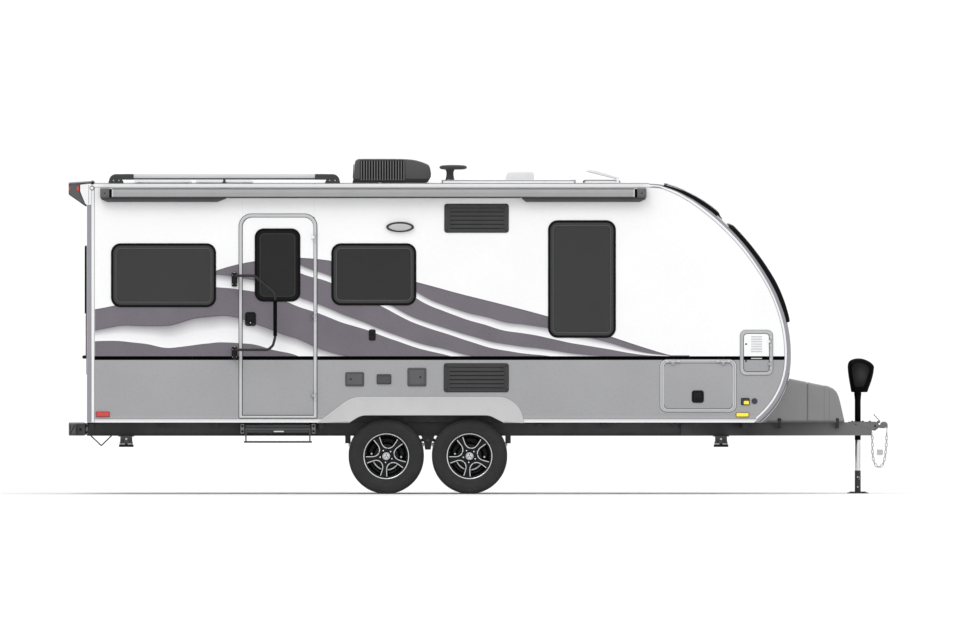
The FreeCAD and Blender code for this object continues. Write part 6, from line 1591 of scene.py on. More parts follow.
gbk, gam, gre = Geo(), Geo(), Geo()
lamp(gbk, gam, 2356, 2475, 704.5, 746, -1)
lamp(gbk, gre, -3500, -3376, 704.5, 753, -1)
lamp(gbk, gam, 2356, 2475, 704.5, 746, 1)
lamp(gbk, gre, -3500, -3376, 704.5, 753, 1)
gbk.slab(rr(2402, 2480, 814, 878, 8, 5), 1219.2, 1228, -1, 2.5, 3)
gam.slab(rr(2428, 2474, 820, 852, 4, 4), 1227, 1234, -1, 2.5, 3, crown=0.6)
g = Geo()
g.slab(rr(2410, 2424, 820, 872, 4, 4), 1227, 1232, -1, 1.5, 2)
g.slab(rr(2430, 2472, 857, 872, 4, 4), 1227, 1231, -1, 1.5, 2)
g.lathe((2525, -1219.3, 850), (0, -1, 0), [(0, 0), (27, 0), (27, 4), (24.5, 7.6), (20, 8.6), (18, 6.5), (0, 6.5)], 36)
for a in (45, 135):
    c_, s_ = math.cos(ANGLE(a)), math.sin(ANGLE(a))
    g.prism([(2525 + 16 * c_ - 2.2 * s_, 850 + 16 * s_ + 2.2 * c_), (2525 + 16 * c_ + 2.2 * s_, 850 + 16 * s_ - 2.2 * c_),
             (2525 - 16 * c_ + 2.2 * s_, 850 - 16 * s_ - 2.2 * c_), (2525 - 16 * c_ - 2.2 * s_, 850 - 16 * s_ + 2.2 * c_)], "XZ", -1228.6, -1225)
make("inlet_round", g, paint("inlet_blue_black", C(34, 38, 66), 0.35, 0.1, 0.1), smooth=40)
# porch lamp: oval bezel with a hooded clear lens
g = Geo()
o = circ(-718, 2443, 128, 48, 48)
g.ringsweep(o, [(0, 0), (0, 8), (-2, 20), (-6, 31), (-12, 36), (-17, 34), (-18, 26), (-18, 0)], 1219.2, -1)
make("porch_bezel", g, M["dark"], smooth=50)
g = Geo()
rings = []
for q, h in ((0.86, 2), (0.86, 26), (0.82, 31), (0.72, 35), (0.5, 38), (0.2, 39.5)):
    rings.append([(-718 + (x + 718) * q, -(1219.2 + h), 2443 + (z - 2443) * q) for x, z, nx, nz in circ(-718, 2440, 126, 44, 48)])
g.loft(rings)
make("porch_lens", g, M["clear"], rep=("exterior_lamps",), smooth=50)
# tail and reverse lamps, plate holder
grr = Geo()
for k in (-1, 1):
    a0, a1 = sorted((k * 1000.0, k * 1150.0))
    for d, h, gg_ in ((0, 6, gbk),):
        rg = rr(a0, a1, 1257, 1643, 22, 6)
        on_rear(gg_, [[(y - ny * dd, z - nz * dd, hh) for y, z, ny, nz in rg] for dd, hh in ((0, 0.2), (0, 5), (1.5, 7), (4, 8))])
    for z0, z1, tgt in ((1268, 1380, grr), (1388, 1440, None), (1448, 1632, grr)):
        rg = rr(a0 + 10, a1 - 10, z0, z1, 14, 6)
        rings = [[(y - ny * dd, z - nz * dd, hh) for y, z, ny, nz in rg] for dd, hh in ((0, 7), (0, 9), (2, 11), (5, 11.8))]
        if tgt is not None:
            on_rear(tgt, rings)
gcl = Geo()
for k in (-1, 1):
    a0, a1 = sorted((k * 1000.0, k * 1150.0))
    rg = rr(a0 + 10, a1 - 10, 1388, 1440, 14, 6)
    on_rear(gcl, [[(y - ny * dd, z - nz * dd, hh) for y, z, ny, nz in rg] for dd, hh in ((0, 7), (0, 9), (2, 11), (5, 11.8))])
make("lamp_bases", gbk, M["black"], smooth=40)
make("amber_lenses", gam, M["amber"], smooth=40)
make("red_side_lenses", gre, M["red"], smooth=40)
make("tail_lenses", grr, M["red"], smooth=40)
make("reverse_lenses", gcl, M["clear"], smooth=40)
g = Geo()
g.prism([(-3584.2, 1233), (-3618, 1233), (-3626, 1240), (-3626, 1254), (-3612, 1263.5), (-3584.2, 1263.5)], "XZ", -180, 180)
g.prism([(-3584.2, 1090), (-3589, 1090), (-3589, 1232), (-3584.2, 1232)], "XZ", -168, 168)
make("plate_holder", g, M["black"], bevel=2.0)


# ------------------------------------------------------------------ wheel arch trims
def resample(pts, n):
    P = [Vector((p[0], 0, p[1])) for p in pts]
    L = [0.0]
    for a, b in zip(P, P[1:]):
        L.append(L[-1] + (b - a).length)
    out = []
    for i in range(n):
        s = L[-1] * i / (n - 1)
        j = 0
        while j < len(L) - 2 and L[j + 1] < s:
            j += 1
        q = (s - L[j]) / max(1e-9, L[j + 1] - L[j])
        out.append(P[j].lerp(P[j + 1], q))
    return out


def with_normals(P, sign):
    out = []
    for i, p in enumerate(P):
        t = (P[min(i + 1, len(P) - 1)] - P[max(i - 1, 0)]).normalized()
        out.append((p.x, p.z, -t.z * sign, t.x * sign))
    return out


quarter = [(178 + 235 * math.sin(ANGLE(a)), 650 + 237 * math.cos(ANGLE(a))) for a in range(6, 91, 6)]
_top = fillet([(-1478, 0, 650.5), (-1160, 0, 887), (178, 0, 887)], 260, 14)
outer_ = [(p.x, p.z) for p in _top] + quarter
inner_ = [(p.x, p.z) for p in fillet([(-1185, 0, 650.5), (-1075, 0, 719), (100, 0, 719), (233, 0, 650.5)], 170, 14)]
NARC = 90
A_ = with_normals(resample(outer_, NARC), 1)
B_ = with_normals(resample(inner_, NARC), 1)
g = Geo()
for k in (-1, 1):
    rings = []
    for (ax, az, anx, anz), (bx, bz, bnx, bnz) in zip(A_, B_):
        az, bz = max(az, 650.3), max(bz, 650.3)
        def A(d, h):
            return (ax - anx * d, k * (1219.3 + h), max(650.3, az - anz * d))
        def B(d, h):
            return (bx + bnx * d, k * (1219.3 + h), max(650.3, bz + bnz * d))
        rings.append([A(0, 0), A(0, 7), A(2.5, 10.2), A(7, 11.4), A(14, 11.4), A(18, 9.6), A(22, 9.0), B(14, 9.0), B(10, 9.6), B(6, 11.0), B(2, 10.4), B(0, 7), B(0, 0)])
    g.loft(rings)
make("arch_trims", g, M["arch"], rep=("wheel_arch_trims",), smooth=55)
g = Geo()
for k in (-1, 1):
    for i in list(range(5, NARC - 4, 9)):
        g.lathe((A_[i][0] - A_[i][2] * 32, k * 1228.2, A_[i][1] - A_[i][3] * 32), (0, k, 0), [(0, 0), (4.4, 0), (3.4, 1.6), (0, 2)], 12)
make("arch_screws", g, M["arch"], smooth=40)


# ------------------------------------------------------------------ wheels and tyres
WY, WZ, WR = 1065.0, 345.0, 345.0
EDGE = [(79, 0), (79.6, 8), (81.5, 16), (85, 25), (90, 33), (100, 44.5), (113, 53.5), (129, 61.5), (150, 71), (166, 78.5), (179, 85)]
C36, S36 = math.cos(ANGLE(36)), math.sin(ANGLE(36))


def spokes(g_, cx, k, a0):
    def put(al, pe, ang, t):
        r_, q_ = math.hypot(al, pe), math.atan2(pe, al) + ang
        return (cx + r_ * math.cos(q_), k * (WY + t), WZ + r_ * math.sin(q_))
    rows = []
    for i, (d, hw) in enumerate(EDGE):
        c = (d * C36 + hw * S36, d * S36 - hw * C36)
        t = i / (len(EDGE) - 1)
        p = (c[0] - 28 * (1 - t), 0.0)
        L = math.hypot(c[0] - p[0], c[1])
        rows.append((p, c, L))
    rows.insert(0, ((18.0, 0.0), (34 * C36, 34 * S36), None))
    for q in range(5):
        ang = ANGLE(a0 + 72 * q)
        for s_ in (-1, 1):
            grid = []
            for p, c, L in rows:
                r_mid = c[0]
                h = 50 + 12 * (r_mid / 196.0) ** 1.5
                if L is None:
                    vs_ = [(0, h - 5), (0.4, h - 5), (0.6, h - 5), (0.7, h - 5), (0.9, h - 5), (1, h - 5), (1, h - 30), (0, h - 30)]
                else:
                    vs_ = [(0, h - 6), (0.45, h - 5.2), (1 - 10.5 / L, h - 4.5), (1 - 9 / L, h - 0.4), (1 - 1.6 / L, h), (1, h - 2), (1, h - 28), (0, h - 32)]
                grid.append([put(p[0] + (c[0] - p[0]) * v, s_ * (p[1] + (c[1] - p[1]) * v), ang, t) for v, t in vs_])
            n = len(grid[0])
            vs = [pt for r_ in grid for pt in r_]
            for i in range(len(grid) - 1):
                for j in range(n - 1):
                    if i == 0 and j == 5:
                        continue
                    a = i * n + j
                    f = (a, a + 1, a + n + 1, a + n)
                    g_.add([vs[x] for x in f], [(0, 1, 2, 3) if s_ > 0 else (3, 2, 1, 0)], 1 if (i > 0 and 2 <= j <= 4) else 0)
            # ends: at the hub and in the rim
            for i in (0, len(grid) - 1):
                f = [vs[i * n + j] for j in range(n)]
                g_.add(f, [tuple(range(n))], 0)


BIG = {"right_rear": (-844.0, -1), "right_front": (-82.0, -1), "left_rear": (-844.0, 1), "left_front": (-82.0, 1)}
for nm, (cx, k) in BIG.items():
    bd = nm + "_wheel"
    cy = k * WY
    g = Geo()
    g.lathe((cx, cy, WZ), (0, k, 0), [(196, -85), (207, -86), (210, -84), (210, -79), (199, -76), (192, -72), (189, -52), (168, -38), (168, 18), (188, 34), (192, 72), (197, 76.5), (200, 80), (199, 82.5),
                                       (196, 79), (188, 74), (184, 58), (178, 34), (160, 16), (160, -38), (178, -54), (186, -78)], 96, closed=True)
    # shield ring in the barrel, which closes the view past the drum
    g.lathe((cx, cy, WZ), (0, k, 0), [(136, -44), (161, -36), (161, -33), (150, -36), (138, -40.5), (134.5, -41), (134.5, -44)], 96, closed=True)
    make(nm + "_rim", g, M["spoke"], body=bd, rep=(nm + "_wheel",), smooth=40)
    g = Geo()
    g.lathe((cx, cy, WZ), (0, k, 0), [(197.5, 78), (200.5, 83.5), (204.5, 86), (208.5, 86), (210, 84.4), (210, 79), (206, 76)], 128, closed=True)
    g.lathe((cx, cy, WZ), (0, k, 0), [(0, 60), (30, 60), (36.5, 62), (36.5, 70), (34.5, 73), (30, 74.2), (24, 74.8), (0, 75)], 48)
    for i in range(5):
        a = ANGLE(46.6 + 72 * i)
        px_, pz_ = cx + 57 * math.cos(a), WZ + 57 * math.sin(a)
        g.lathe((px_, k * (WY + 44), pz_), (0, k, 0), [(0, 0), (8.2, 0), (8.2, 12), (6.6, 17), (3, 19), (0, 19.4)], 6)
    make(nm + "_rim_lip", g, M["chrome"], body=bd, smooth=40)
    g = Geo()
    spokes(g, cx, k, 46.6)
    g.lathe((cx, cy, WZ), (0, k, 0), [(0, 14), (60, 14), (64, 18), (64, 40), (60, 47), (44, 50), (40, 58), (38, 62), (0, 62)], 60)
    make(nm + "_spokes", g, [M["spoke"], M["chrome"]], body=bd, smooth=34)
    g = Geo()
    # cap ornament: a ring and three plain bars
    g.lathe((cx, cy, WZ), (0, k, 0), [(26.5, 74.2), (27.5, 75.6), (29.5, 75.6), (30, 74)], 48, closed=True)
    for i in range(3):
        a = ANGLE(90 + 120 * i)
        c_, s_ = math.cos(a), math.sin(a)
        g.prism([(cx + 4 * c_ - 2.6 * s_, WZ + 4 * s_ + 2.6 * c_), (cx + 4 * c_ + 2.6 * s_, WZ + 4 * s_ - 2.6 * c_), (cx + 20 * c_ + 5 * s_, WZ + 20 * s_ - 5 * c_), (cx + 20 * c_ - 5 * s_, WZ + 20 * s_ + 5 * c_)], "XZ", k * (WY + 74.5), k * (WY + 75.9))
    make(nm + "_cap_detail", g, M["spoke"], body=bd, bevel=0.5)
    g = Geo()
    g.lathe((cx, cy, WZ), (0, k, 0), [(40, -116), (122, -116), (124, -112), (124, -24), (118, -16), (104, -12), (84, -8), (80, 6), (70, 14), (40, 14)], 72, closed=True)
    for i in range(36):
        a = 2 * math.pi * i / 36
        c_, s_ = math.cos(a), math.sin(a)
        g.box(cx + 121 * c_ - 3, cx + 121 * c_ + 3, k * (WY - 100), k * (WY - 30), WZ + 121 * s_ - 3, WZ + 121 * s_ + 3)
    make(nm + "_drum", g, M["spoke"], body=bd, smooth=40)
    g = Geo()
    for a0_, a1_ in ((196.0, 250.0), (275.0, 329.0)):
        arc = [ANGLE(a0_ + (a1_ - a0_) * i / 14) for i in range(15)]
        g.loft([[(cx + r_ * math.cos(a), k * (WY + t_), WZ + r_ * math.sin(a)) for r_, t_ in ((118, -20), (118, -10), (124, -7), (131, -8), (133, -18))] for a in arc])
    for a in (171.0, -3.0):
        g.lathe((cx + 136 * math.cos(ANGLE(a)), k * (WY - 14), WZ + 136 * math.sin(ANGLE(a))), (0, k, 0), [(0, 0), (13, 0), (13, 10), (9, 16), (0, 17)], 20)
    make(nm + "_drum_ring", g, M["zinc"], body=bd, smooth=40)
    # valve
    g = Geo()
    a = ANGLE(10.6)
    d_ = Vector((math.cos(a), 0, math.sin(a)))
    p0 = Vector((cx, k * (WY + 60), WZ)) + d_ * 178
    p1 = Vector((cx, k * (WY + 78), WZ)) + d_ * 160
    g.tube([p0, p0.lerp(p1, 0.6), p0.lerp(p1, 0.61), p1], [4.5, 4.2, 3.4, 3.4], 12)
    make(nm + "_valve", g, M["rubber"], body=bd, smooth=40)
    # tyre
    g = Geo()
    half = [(75, 202), (79, 209), (83, 211.5), (86, 214), (88, 222), (91.5, 226), (92.5, 230), (92, 235), (96, 250), (100, 265), (102, 280), (101, 294), (98, 306), (97.6, 309), (98.6, 311), (98.2, 315),
            (95, 318), (91, 327), (88.5, 331.5), (84.5, 336), (80, 339)]
    prof = [(r, t) for t, r in half]
    tread = [(341.5, 76), (341.8, 60), (334, 57), (334, 49), (342.4, 46), (342.6, 24), (334, 21), (334, 12), (342.8, 9), (342.8, -9), (334, -12), (334, -21), (342.6, -24), (342.4, -46), (334, -49), (334, -57), (341.8, -60), (341.5, -76)]
    prof += tread + [(r, -t) for t, r in reversed(half)]
    prof += [(206, -60), (226, -70), (250, -84), (277, -89), (303, -86), (320, -76), (326, -60), (326, 60), (320, 76), (303, 86), (277, 89), (250, 84), (226, 70), (206, 60)]
    g.lathe((cx, cy, WZ), (0, k, 0), prof, 120, closed=True)
    make(nm + "_tyre_body", g, M["tyre"], body=bd, rep=(nm + "_tyre",), smooth=42)
    g = Geo()
    NB = 64
    for i in range(NB):
        for t0, t1, off, top in ((61, 84, 0, 344.4), (25, 45, 0.5, 345.0), (-8, 8, 0.25, 345.0), (-45, -25, 0.5, 345.0), (-84, -61, 0, 344.4)):
            a0_, a1_ = 2 * math.pi * (i + off + 0.06) / NB, 2 * math.pi * (i + off + 0.86) / NB
            sk = 0.012 * (1 if t0 > 0 else -1)
            vs = []
            for r_ in (338.0, top):
                for t_, sh in ((t0, -sk), (t1, sk)):
                    rr_ = r_ if abs(t_) < 80 else r_ - 3.5
                    for a_ in (a0_ + sh, a1_ + sh):
                        vs.append((cx + rr_ * math.cos(a_), k * (WY + t_), WZ + rr_ * math.sin(a_)))
            g.add(vs, [(0, 1, 3, 2), (4, 6, 7, 5), (0, 4, 5, 1), (2, 3, 7, 6), (0, 2, 6, 4), (1, 5, 7, 3)])
    make(nm + "_tread_blocks", g, M["tyre"], body=bd, smooth=30)
    g = Geo()
    for i in range(60):
        a = 2 * math.pi * i / 60
        if i % 15 < 3:
            continue
        c_, s_ = math.cos(a), math.sin(a)
        pts = [(cx + 312 * c_ - 1.2 * s_, WZ + 312 * s_ + 1.2 * c_), (cx + 312 * c_ + 1.2 * s_, WZ + 312 * s_ - 1.2 * c_), (cx + 326 * c_ + 1.2 * s_, WZ + 326 * s_ - 1.2 * c_), (cx + 326 * c_ - 1.2 * s_, WZ + 326 * s_ + 1.2 * c_)]
        g.prism(pts, "XZ", k * (WY + 90), k * (WY + 97.6))
    make(nm + "_tyre_ribs", g, M["tyre"], body=bd, bevel=0.5)


# ------------------------------------------------------------------ running gear
for n_, m_ in (("axles", "chassis"), ("leaf_springs", "chassis"), ("stabilizer_channels", "rail")):
    dress(n_, M[m_])
for s_ in ("right", "left"):
    for e_ in ("rear", "front"):
        dress("%s_%s_stabilizer_leg" % (s_, e_), M["cross"])
        dress("%s_%s_stabilizer_foot" % (s_, e_), M["black"])
        k_, x_ = (-1 if s_ == "right" else 1), (-3223.0 if e_ == "rear" else 2219.0)
        g = Geo()
        a_, b_ = sorted((k_ * 1064.0, k_ * 1136.0))
        g.box(x_ - 50, x_ + 50, a_, b_, 436, 446)
        for q in (-47, 47):
            g.box(x_ + q - 2.5, x_ + q + 2.5, a_, b_, 444, 457)
        g.box(x_ - 66, x_ + 66, *sorted((k_ * 1158.0, k_ * 1163.0)), 431, 445)
        make("%s_%s_foot_block" % (s_, e_), g, M["black"], body="%s_%s_stabilizer_foot" % (s_, e_), bevel=2.0)
g = Geo()
for k in (-1, 1):
    for x in (-844.0, -82.0):
        for dx in (-36, 36):
            for dy in (-27, 27):
                g.lathe((x + dx, k * 880 + dy, 372), (0, 0, 1), [(0, 0), (6, 0), (6, 66), (10, 66), (10, 74), (0, 74)], 12)
        g.box(x - 52, x + 52, k * 880 - 38, k * 880 + 38, 427, 434)
        for dx in (-196, 196):
            g.box(x + dx - 14, x + dx + 14, k * 880 - 25, k * 880 + 25, 409, 436)
        for dx in (-330, 330):
            g.lathe((x + dx, k * 880 - 30, 446), (0, 1, 0), [(0, 0), (13, 0), (16, 4), (16, 56), (13, 60), (0, 60)], 20)
            g.lathe((x + dx, k * 880 + k * 28, 446), (0, k, 0), [(0, 0), (8, 0), (8, 8), (6, 9), (0, 9)], 6)
    g.lathe((-463, k * 880 + k * 18, 512), (0, k, 0), [(0, 0), (12, 0), (12, 10), (9, 12), (0, 12)], 6)
    # hanger plate between the wheels
    g.prism([(-520, 531), (-406, 531), (-428, 470), (-440, 408), (-486, 408), (-498, 470)], "XZ", k * 884, k * 905)
make("spring_clamps", g, M["zinc"], smooth=40)
g = Geo()
for k in (-1, 1):
    g.prism([(-524, 531), (-402, 531), (-426, 470), (-436, 412), (-440, 404), (-486, 404), (-490, 412), (-500, 470)], "XZ", k * 905.2, k * 914)
    for x in (-844.0, -82.0):
        g.lathe((x, k * 939, 345), (0, -k, 0), [(0, 0), (136, 0), (140, 3), (140, 7), (90, 9), (60, 9), (0, 9)], 48)
    g.prism([(1852, 533), (1952, 533), (1952, 648), (1852, 648)], "XZ", k * 910.6, k * 915)
make("hanger_plates", g, M["rail"], bevel=1.6)
g = Geo()
for k in (-1, 1):
    for x in (-463.0,):
        g.bolt((x, k * 914, 490), (0, k, 0), 9, 8)
    for x in (-3540, -2900, -2400, -1440, 560, 1150, 1800):
        for dz in (610, 640):
            g.bolt((x + 0, k * 910.5, dz), (0, k, 0), 7, 6)
make("chassis_bolts", g, M["plate"], smooth=35)
g = Geo()
# faces of the step brackets, each with two bolts
for x in (-2160.5, -1509.5):
    g.slab(rr(x - 17, x + 17, 551, 642, 6, 4), 1180.2, 1185, -1, 1.5, 2)
    for dz in (574, 620):
        g.bolt((x, -1185, dz), (0, -1, 0), 7.5, 6, m=1)
make("step_bracket_faces", g, [M["plate"], M["black"]], smooth=35)
# Stabilizer screws, hex drives and end plates.
g = Geo()
for x in (-3223.0, 2219.0):
    g.lathe((x, -1118, 503), (0, 1, 0), [(0, 0), (9.5, 0), (9.5, 1300), (0, 1300)], 20)
    i_ = 0
    while i_ < 60:
        g.lathe((x, -1095 + i_ * 8, 503), (0, 1, 0), [(9.4, 0), (11.5, 2), (11.5, 3.2), (9.4, 5)], 16, closed=True)
        i_ += 1
    g.lathe((x, -1132, 503), (0, 1, 0), [(0, 0), (9.5, 0), (11, 1.5), (11, 18), (0, 18)], 6)
make("stabilizer_screws", g, M["zinc"], smooth=40)
g = Geo()
for x in (-3223.0, 2219.0):
    for k in (-1, 1):
        a0_, a1_ = sorted((k * 1113.0, k * 1121.0))
        g.prism([(x - 62, 459), (x + 62, 459), (x + 62, 463), (x + 56, 468), (x + 54, 530.4), (x - 54, 530.4), (x - 56, 468), (x - 62, 463)], "XZ", a0_, a1_)
        g.box(x - 74, x + 74, k * 845, k * 915, 524, 530.6)
make("stabilizer_ends", g, M["chassis"], bevel=1.5)


# ------------------------------------------------------------------ bumper and spoiler
g = Geo()
o = rr(-3750, -3600.2, 533.5, 645.5, 9, 4)
g.loft([[(x, y, z) for x, z, nx, nz in o] for y in (-1100.0, 0.0, 1100.0)])
for k in (-1, 1):
    g.prism([(-3600.4, 540), (-3600.4, 640), (-3583.2, 640), (-3583.2, 540)], "XZ", k * 856, k * 904)
make("bumper_tube", g, M["chassis"], rep=("rear_bumper",), smooth=40)
g = Geo()
for k in (-1, 1):
    o2 = rr(-3750, -3682, 534, 645, 14, 6)
    g.loft([[(x, k * y, z) for x, z, nx, nz in [(a - c * d, b - e * d, c, e) for a, b, c, e in o2]] for y, d in ((1100.6, 0), (1160, 0), (1170, 1.5), (1176, 4.5), (1179.6, 10))])
    g.loft([[(x, k * y, z) for x, z, nx, nz in [(a - c * 18, b - e * 18, c, e) for a, b, c, e in o2]] for y in (1178, 1182)])
make("bumper_caps", g, plastic("bumper_cap", C(84, 84, 85), 0.46, 0.12, 0.05), bevel=1.0)
g = Geo()
for k in (-1, 1):
    for z in (560, 620):
        g.bolt((-3592, k * 904.5, z), (0, k, 0), 7, 6)
    g.bolt((-3641, k * 1100.5, 590), (0, k, 0), 8, 6)
make("bumper_fixings", g, M["black"], smooth=40)
g = Geo()
for k in (-1, 1):
    # light V-shaped stay below the rail
    g.tube(fillet([(-3551, k * 868, 532), (-3451, k * 868, 437), (-3354, k * 868, 532)], 8, 4), 3.0, 10)
make("rail_stays", g, M["rod"], smooth=40)

side = [(-3751, 2837), (-3735, 2842), (-3512, 2856), (-3512, 2843.6), (-3584.8, 2843.6), (-3584.8, 2634), (-3590, 2628.5), (-3743, 2734), (-3750.5, 2742)]
g = Geo()
cxs, czs = -3650.0, 2780.0
rings = []
for y, d in ((-1199.5, 3.5), (-1198, 1.4), (-1195, 0), (0, 0), (1195, 0), (1198, 1.4), (1199.5, 3.5)):
    ring = []
    for x, z in side:
        q = Vector((cxs - x, czs - z))
        q = q.normalized() * d
        ring.append((x + q.x, y, z + q.y))
    rings.append(ring)
g.loft(rings)
for k in (-1, 1):
    for z0, z1 in ((2790, 2796), (2760, 2764)):
        g.box(-3751, -3740, k * 300, k * 1130, z0, z1)
make("spoiler_body", g, plastic("spoiler_plastic", C(92, 92, 93), 0.5, 0.2, 0.1, scale=420.0), rep=("rear_spoiler",), bevel=1.5, angle=35)
g, gt, gk = Geo(), Geo(), Geo()
for k in (-1, 1):
    a0_, a1_ = sorted((k * 1190.0, k * 1219.0))
    cheek = [(-3644, 2830), (-3586, 2838), (-3586, 2648), (-3600, 2660), (-3644, 2768)]
    g.prism(cheek, "XZ", a0_, a1_)
    a0_, a1_ = sorted((k * 1218.9, k * 1225.5))
    g.prism([(-3644, 2830), (-3544, 2839), (-3544, 2648), (-3584, 2644), (-3600, 2660), (-3644, 2768)], "XZ", a0_, a1_)
    # dark edges of the end cap and the joint to the white cheek
    def bar(p, q, w, y0, y1):
        d = Vector((q[0] - p[0], q[1] - p[1])).normalized()
        n_ = Vector((-d.y, d.x)) * w
        gt.prism([(p[0] + n_.x, p[1] + n_.y), (p[0] - n_.x, p[1] - n_.y), (q[0] - n_.x, q[1] - n_.y), (q[0] + n_.x, q[1] + n_.y)], "XZ", *sorted((k * y0, k * y1)))
    for p, q, w in (((-3745, 2836), (-3650, 2841), 4.0), ((-3646, 2832), (-3646, 2764), 4.5), ((-3648, 2772), (-3592, 2640), 5.5), ((-3742, 2740), (-3672, 2690), 4.0), ((-3672, 2690), (-3594, 2634), 4.0), ((-3746, 2836), (-3746, 2744), 4.0)):
        bar(p, q, w, 1192.0, 1201.5)
    bar((-3650, 2841), (-3546, 2847), 3.6, 1180.0, 1226.5)
    bar((-3566.5, 2826), (-3566.5, 2656), 1.8, 1224.0, 1226.2)
    gt.lathe((-3537, k * 1219, 2799), (0, k, 0), [(15, 0), (22, 0), (22, 6), (20, 7.6), (17, 7.6), (15, 6)], 28, closed=True)
    g.lathe((-3537, k * 1219, 2799), (0, k, 0), [(0, 0), (15.2, 0), (15.2, 5), (0, 5.6)], 28)
    gk.lathe((-3532, k * 1192, 2845), (0, k, 0), [(0, 0), (12, 0), (14, 2), (14, 28), (11, 31), (0, 31)], 24)
make("spoiler_inlay", g, M["trim_white"], bevel=1.6)
make("spoiler_edges", gt, M["line"], bevel=0.8)
make("spoiler_knobs", gk, M["black"], smooth=40)
g = Geo()
for k in (-1, 1):
    a0_, a1_ = sorted((k * 1196.0, k * 1204.5))
    g.prism([(-3748.5, 2776), (-3736, 2776), (-3736, 2812), (-3748.5, 2812)], "XZ", a0_, a1_)
    g.prism([(-3676, 2774), (-3656, 2774), (-3656, 2814), (-3676, 2814)], "XZ", a0_, a1_)
for y in (-220, -110, 0, 110, 220):
    g.prism([(-3750.8, 2786), (-3744, 2786), (-3744, 2808), (-3750.8, 2808)], "XZ", y - 34, y + 34)
make("spoiler_lamps", g, M["red"], bevel=1.6)


# ------------------------------------------------------------------ tongue cover, jack, coupler, chains
TOP = [(2596, 1100), (2700, 1082), (2830, 1053), (2950, 1029), (3080, 1002), (3200, 978), (3240, 962), (3268, 938), (3290, 902), (3312, 826), (3335, 722), (3350, 653)]
PLAN = [(2550, 600), (2800, 560), (2900, 512), (3000, 457), (3100, 402), (3200, 346), (3260, 316), (3310, 282), (3340, 246), (3350, 214)]


def table(tb, x):
    if x <= tb[0][0]:
        return tb[0][1]
    for (x0_, y0_), (x1_, y1_) in zip(tb, tb[1:]):
        if x <= x1_:
            return y0_ + (y1_ - y0_) * (x - x0_) / (x1_ - x0_)
    return tb[-1][1]


def nose_x(z):
    return nose(nose_at(z, 6.5), 6.5)[0]


XS = [0.0, 0.25, 0.5, 0.75] + [2880 + i * 20 for i in range(0, 5)] + [2972, 2996, 3003, 3010, 3017, 3040, 3080, 3120, 3158, 3166, 3172, 3200, 3208, 3216, 3240, 3256, 3270, 3284, 3296, 3308, 3320, 3332, 3342, 3349]
V_ = [(-1, 0.0), (-1, 0.5), (-0.997, 0.83), (-0.985, 0.925), (-0.962, 0.968), (-0.92, 0.988), (-0.84, 0.996), (-0.6, 1.0), (-0.3, 1.004), (0, 1.005)]
V_ = V_ + [(-a, b) for a, b in reversed(V_[:-1])]
g = Geo()
rings = []
for xv in XS:
    ring = []
    for v, f in V_:
        if xv < 1.5:
            zt = table(TOP, 2846)
            z = 651.5 + (zt - 651.5) * min(f, 1.0)
            xr = nose_x(z)
            x = xr + (2880 - xr) * xv
        else:
            x = xv
        zt = table(TOP, x)
        dip = 0.0
        if 2998 < x < 3012:
            dip = 5.0
        if 3168 <= x <= 3206:
            dip = -2.5
        w_ = table(PLAN, x) - (dip if dip > 0 else 0)
        z = 651.5 + (zt - dip - 651.5) * min(f, 1.004)
        ring.append((x, v * w_, z))
    rings.append(ring)
g.loft(rings)
make("tongue_cover_shell", g, M["cover"], rep=("tongue_cover",), smooth=46)
g = Geo()
# flange along the foot, following the plan
for k in (-1, 1):
    pth = [(x, k * (table(PLAN, x) + 3.5), 655) for x in [2640 + i * 35 for i in range(20)] + [3330, 3345]]
    g.loft([[(x, y - k * 5, 651.5), (x, y + k * 4, 651.5), (x, y + k * 4, 664), (x, y + k * 1, 668), (x, y - k * 5, 668)] for x, y, z in pth])
make("tongue_cover_flange", g, M["mid"], smooth=50)
g = Geo()
# darker strips along the groove and both rib edges: painted shade on the edges of the real groove and rib
for X, wd in ((3013.0, 1.6), (3163.0, 1.4), (3209.0, 1.4)):
    loops = []
    for q in range(len(V_)):
        v, f = V_[q]
        pts_ = []
        for dx, up in ((-wd, -1.5), (-wd, 1.0), (wd, 1.0), (wd, -1.5)):
            zt = table(TOP, X + dx)
            w_ = table(PLAN, X + dx)
            lift = 1.0 + up / (w_ if abs(v) > 0.97 else 1e9)
            pts_.append((X + dx, v * w_ * lift, 651.5 + (zt - 651.5) * min(f, 1.004) + (up if abs(v) <= 0.97 else 0)))
        loops.append(pts_)
    g.loft(loops)
make("tongue_cover_shade_lines", g, plastic("cover_shade_line", C(104, 104, 105), 0.5, 0.06, 0.05), smooth=60)
g = Geo()
for k in (-1, 1):
    for x0, x1 in ((2736, 2770), (3264, 3298)):
        y = table(PLAN, (x0 + x1) / 2)
        # strap outside the cover, hooked in below to the rail
        yr = 880 - ((x0 + x1) / 2 - 1901) * 0.4815 + 36
        g.prism([(x0, 598), (x1, 598), (x1, 684), (x1 - 5, 690), (x0 + 5, 690), (x0, 684)], "XZ", *sorted((k * (max(y, yr) + 2), k * (max(y, yr) + 8))))
        g.prism([(x0 + 7, 612), (x1 - 7, 612), (x1 - 7, 672), (x0 + 7, 672)], "XZ", *sorted((k * (max(y, yr) + 7), k * (max(y, yr) + 12))))
        g.box(x0, x1, *sorted((k * (yr - 34), k * (max(y, yr) + 4))), 598, 604)
make("tongue_cover_clamps", g, plastic("clamp_plastic", C(50, 50, 51), 0.5, 0.2, 0.06), bevel=2.0)

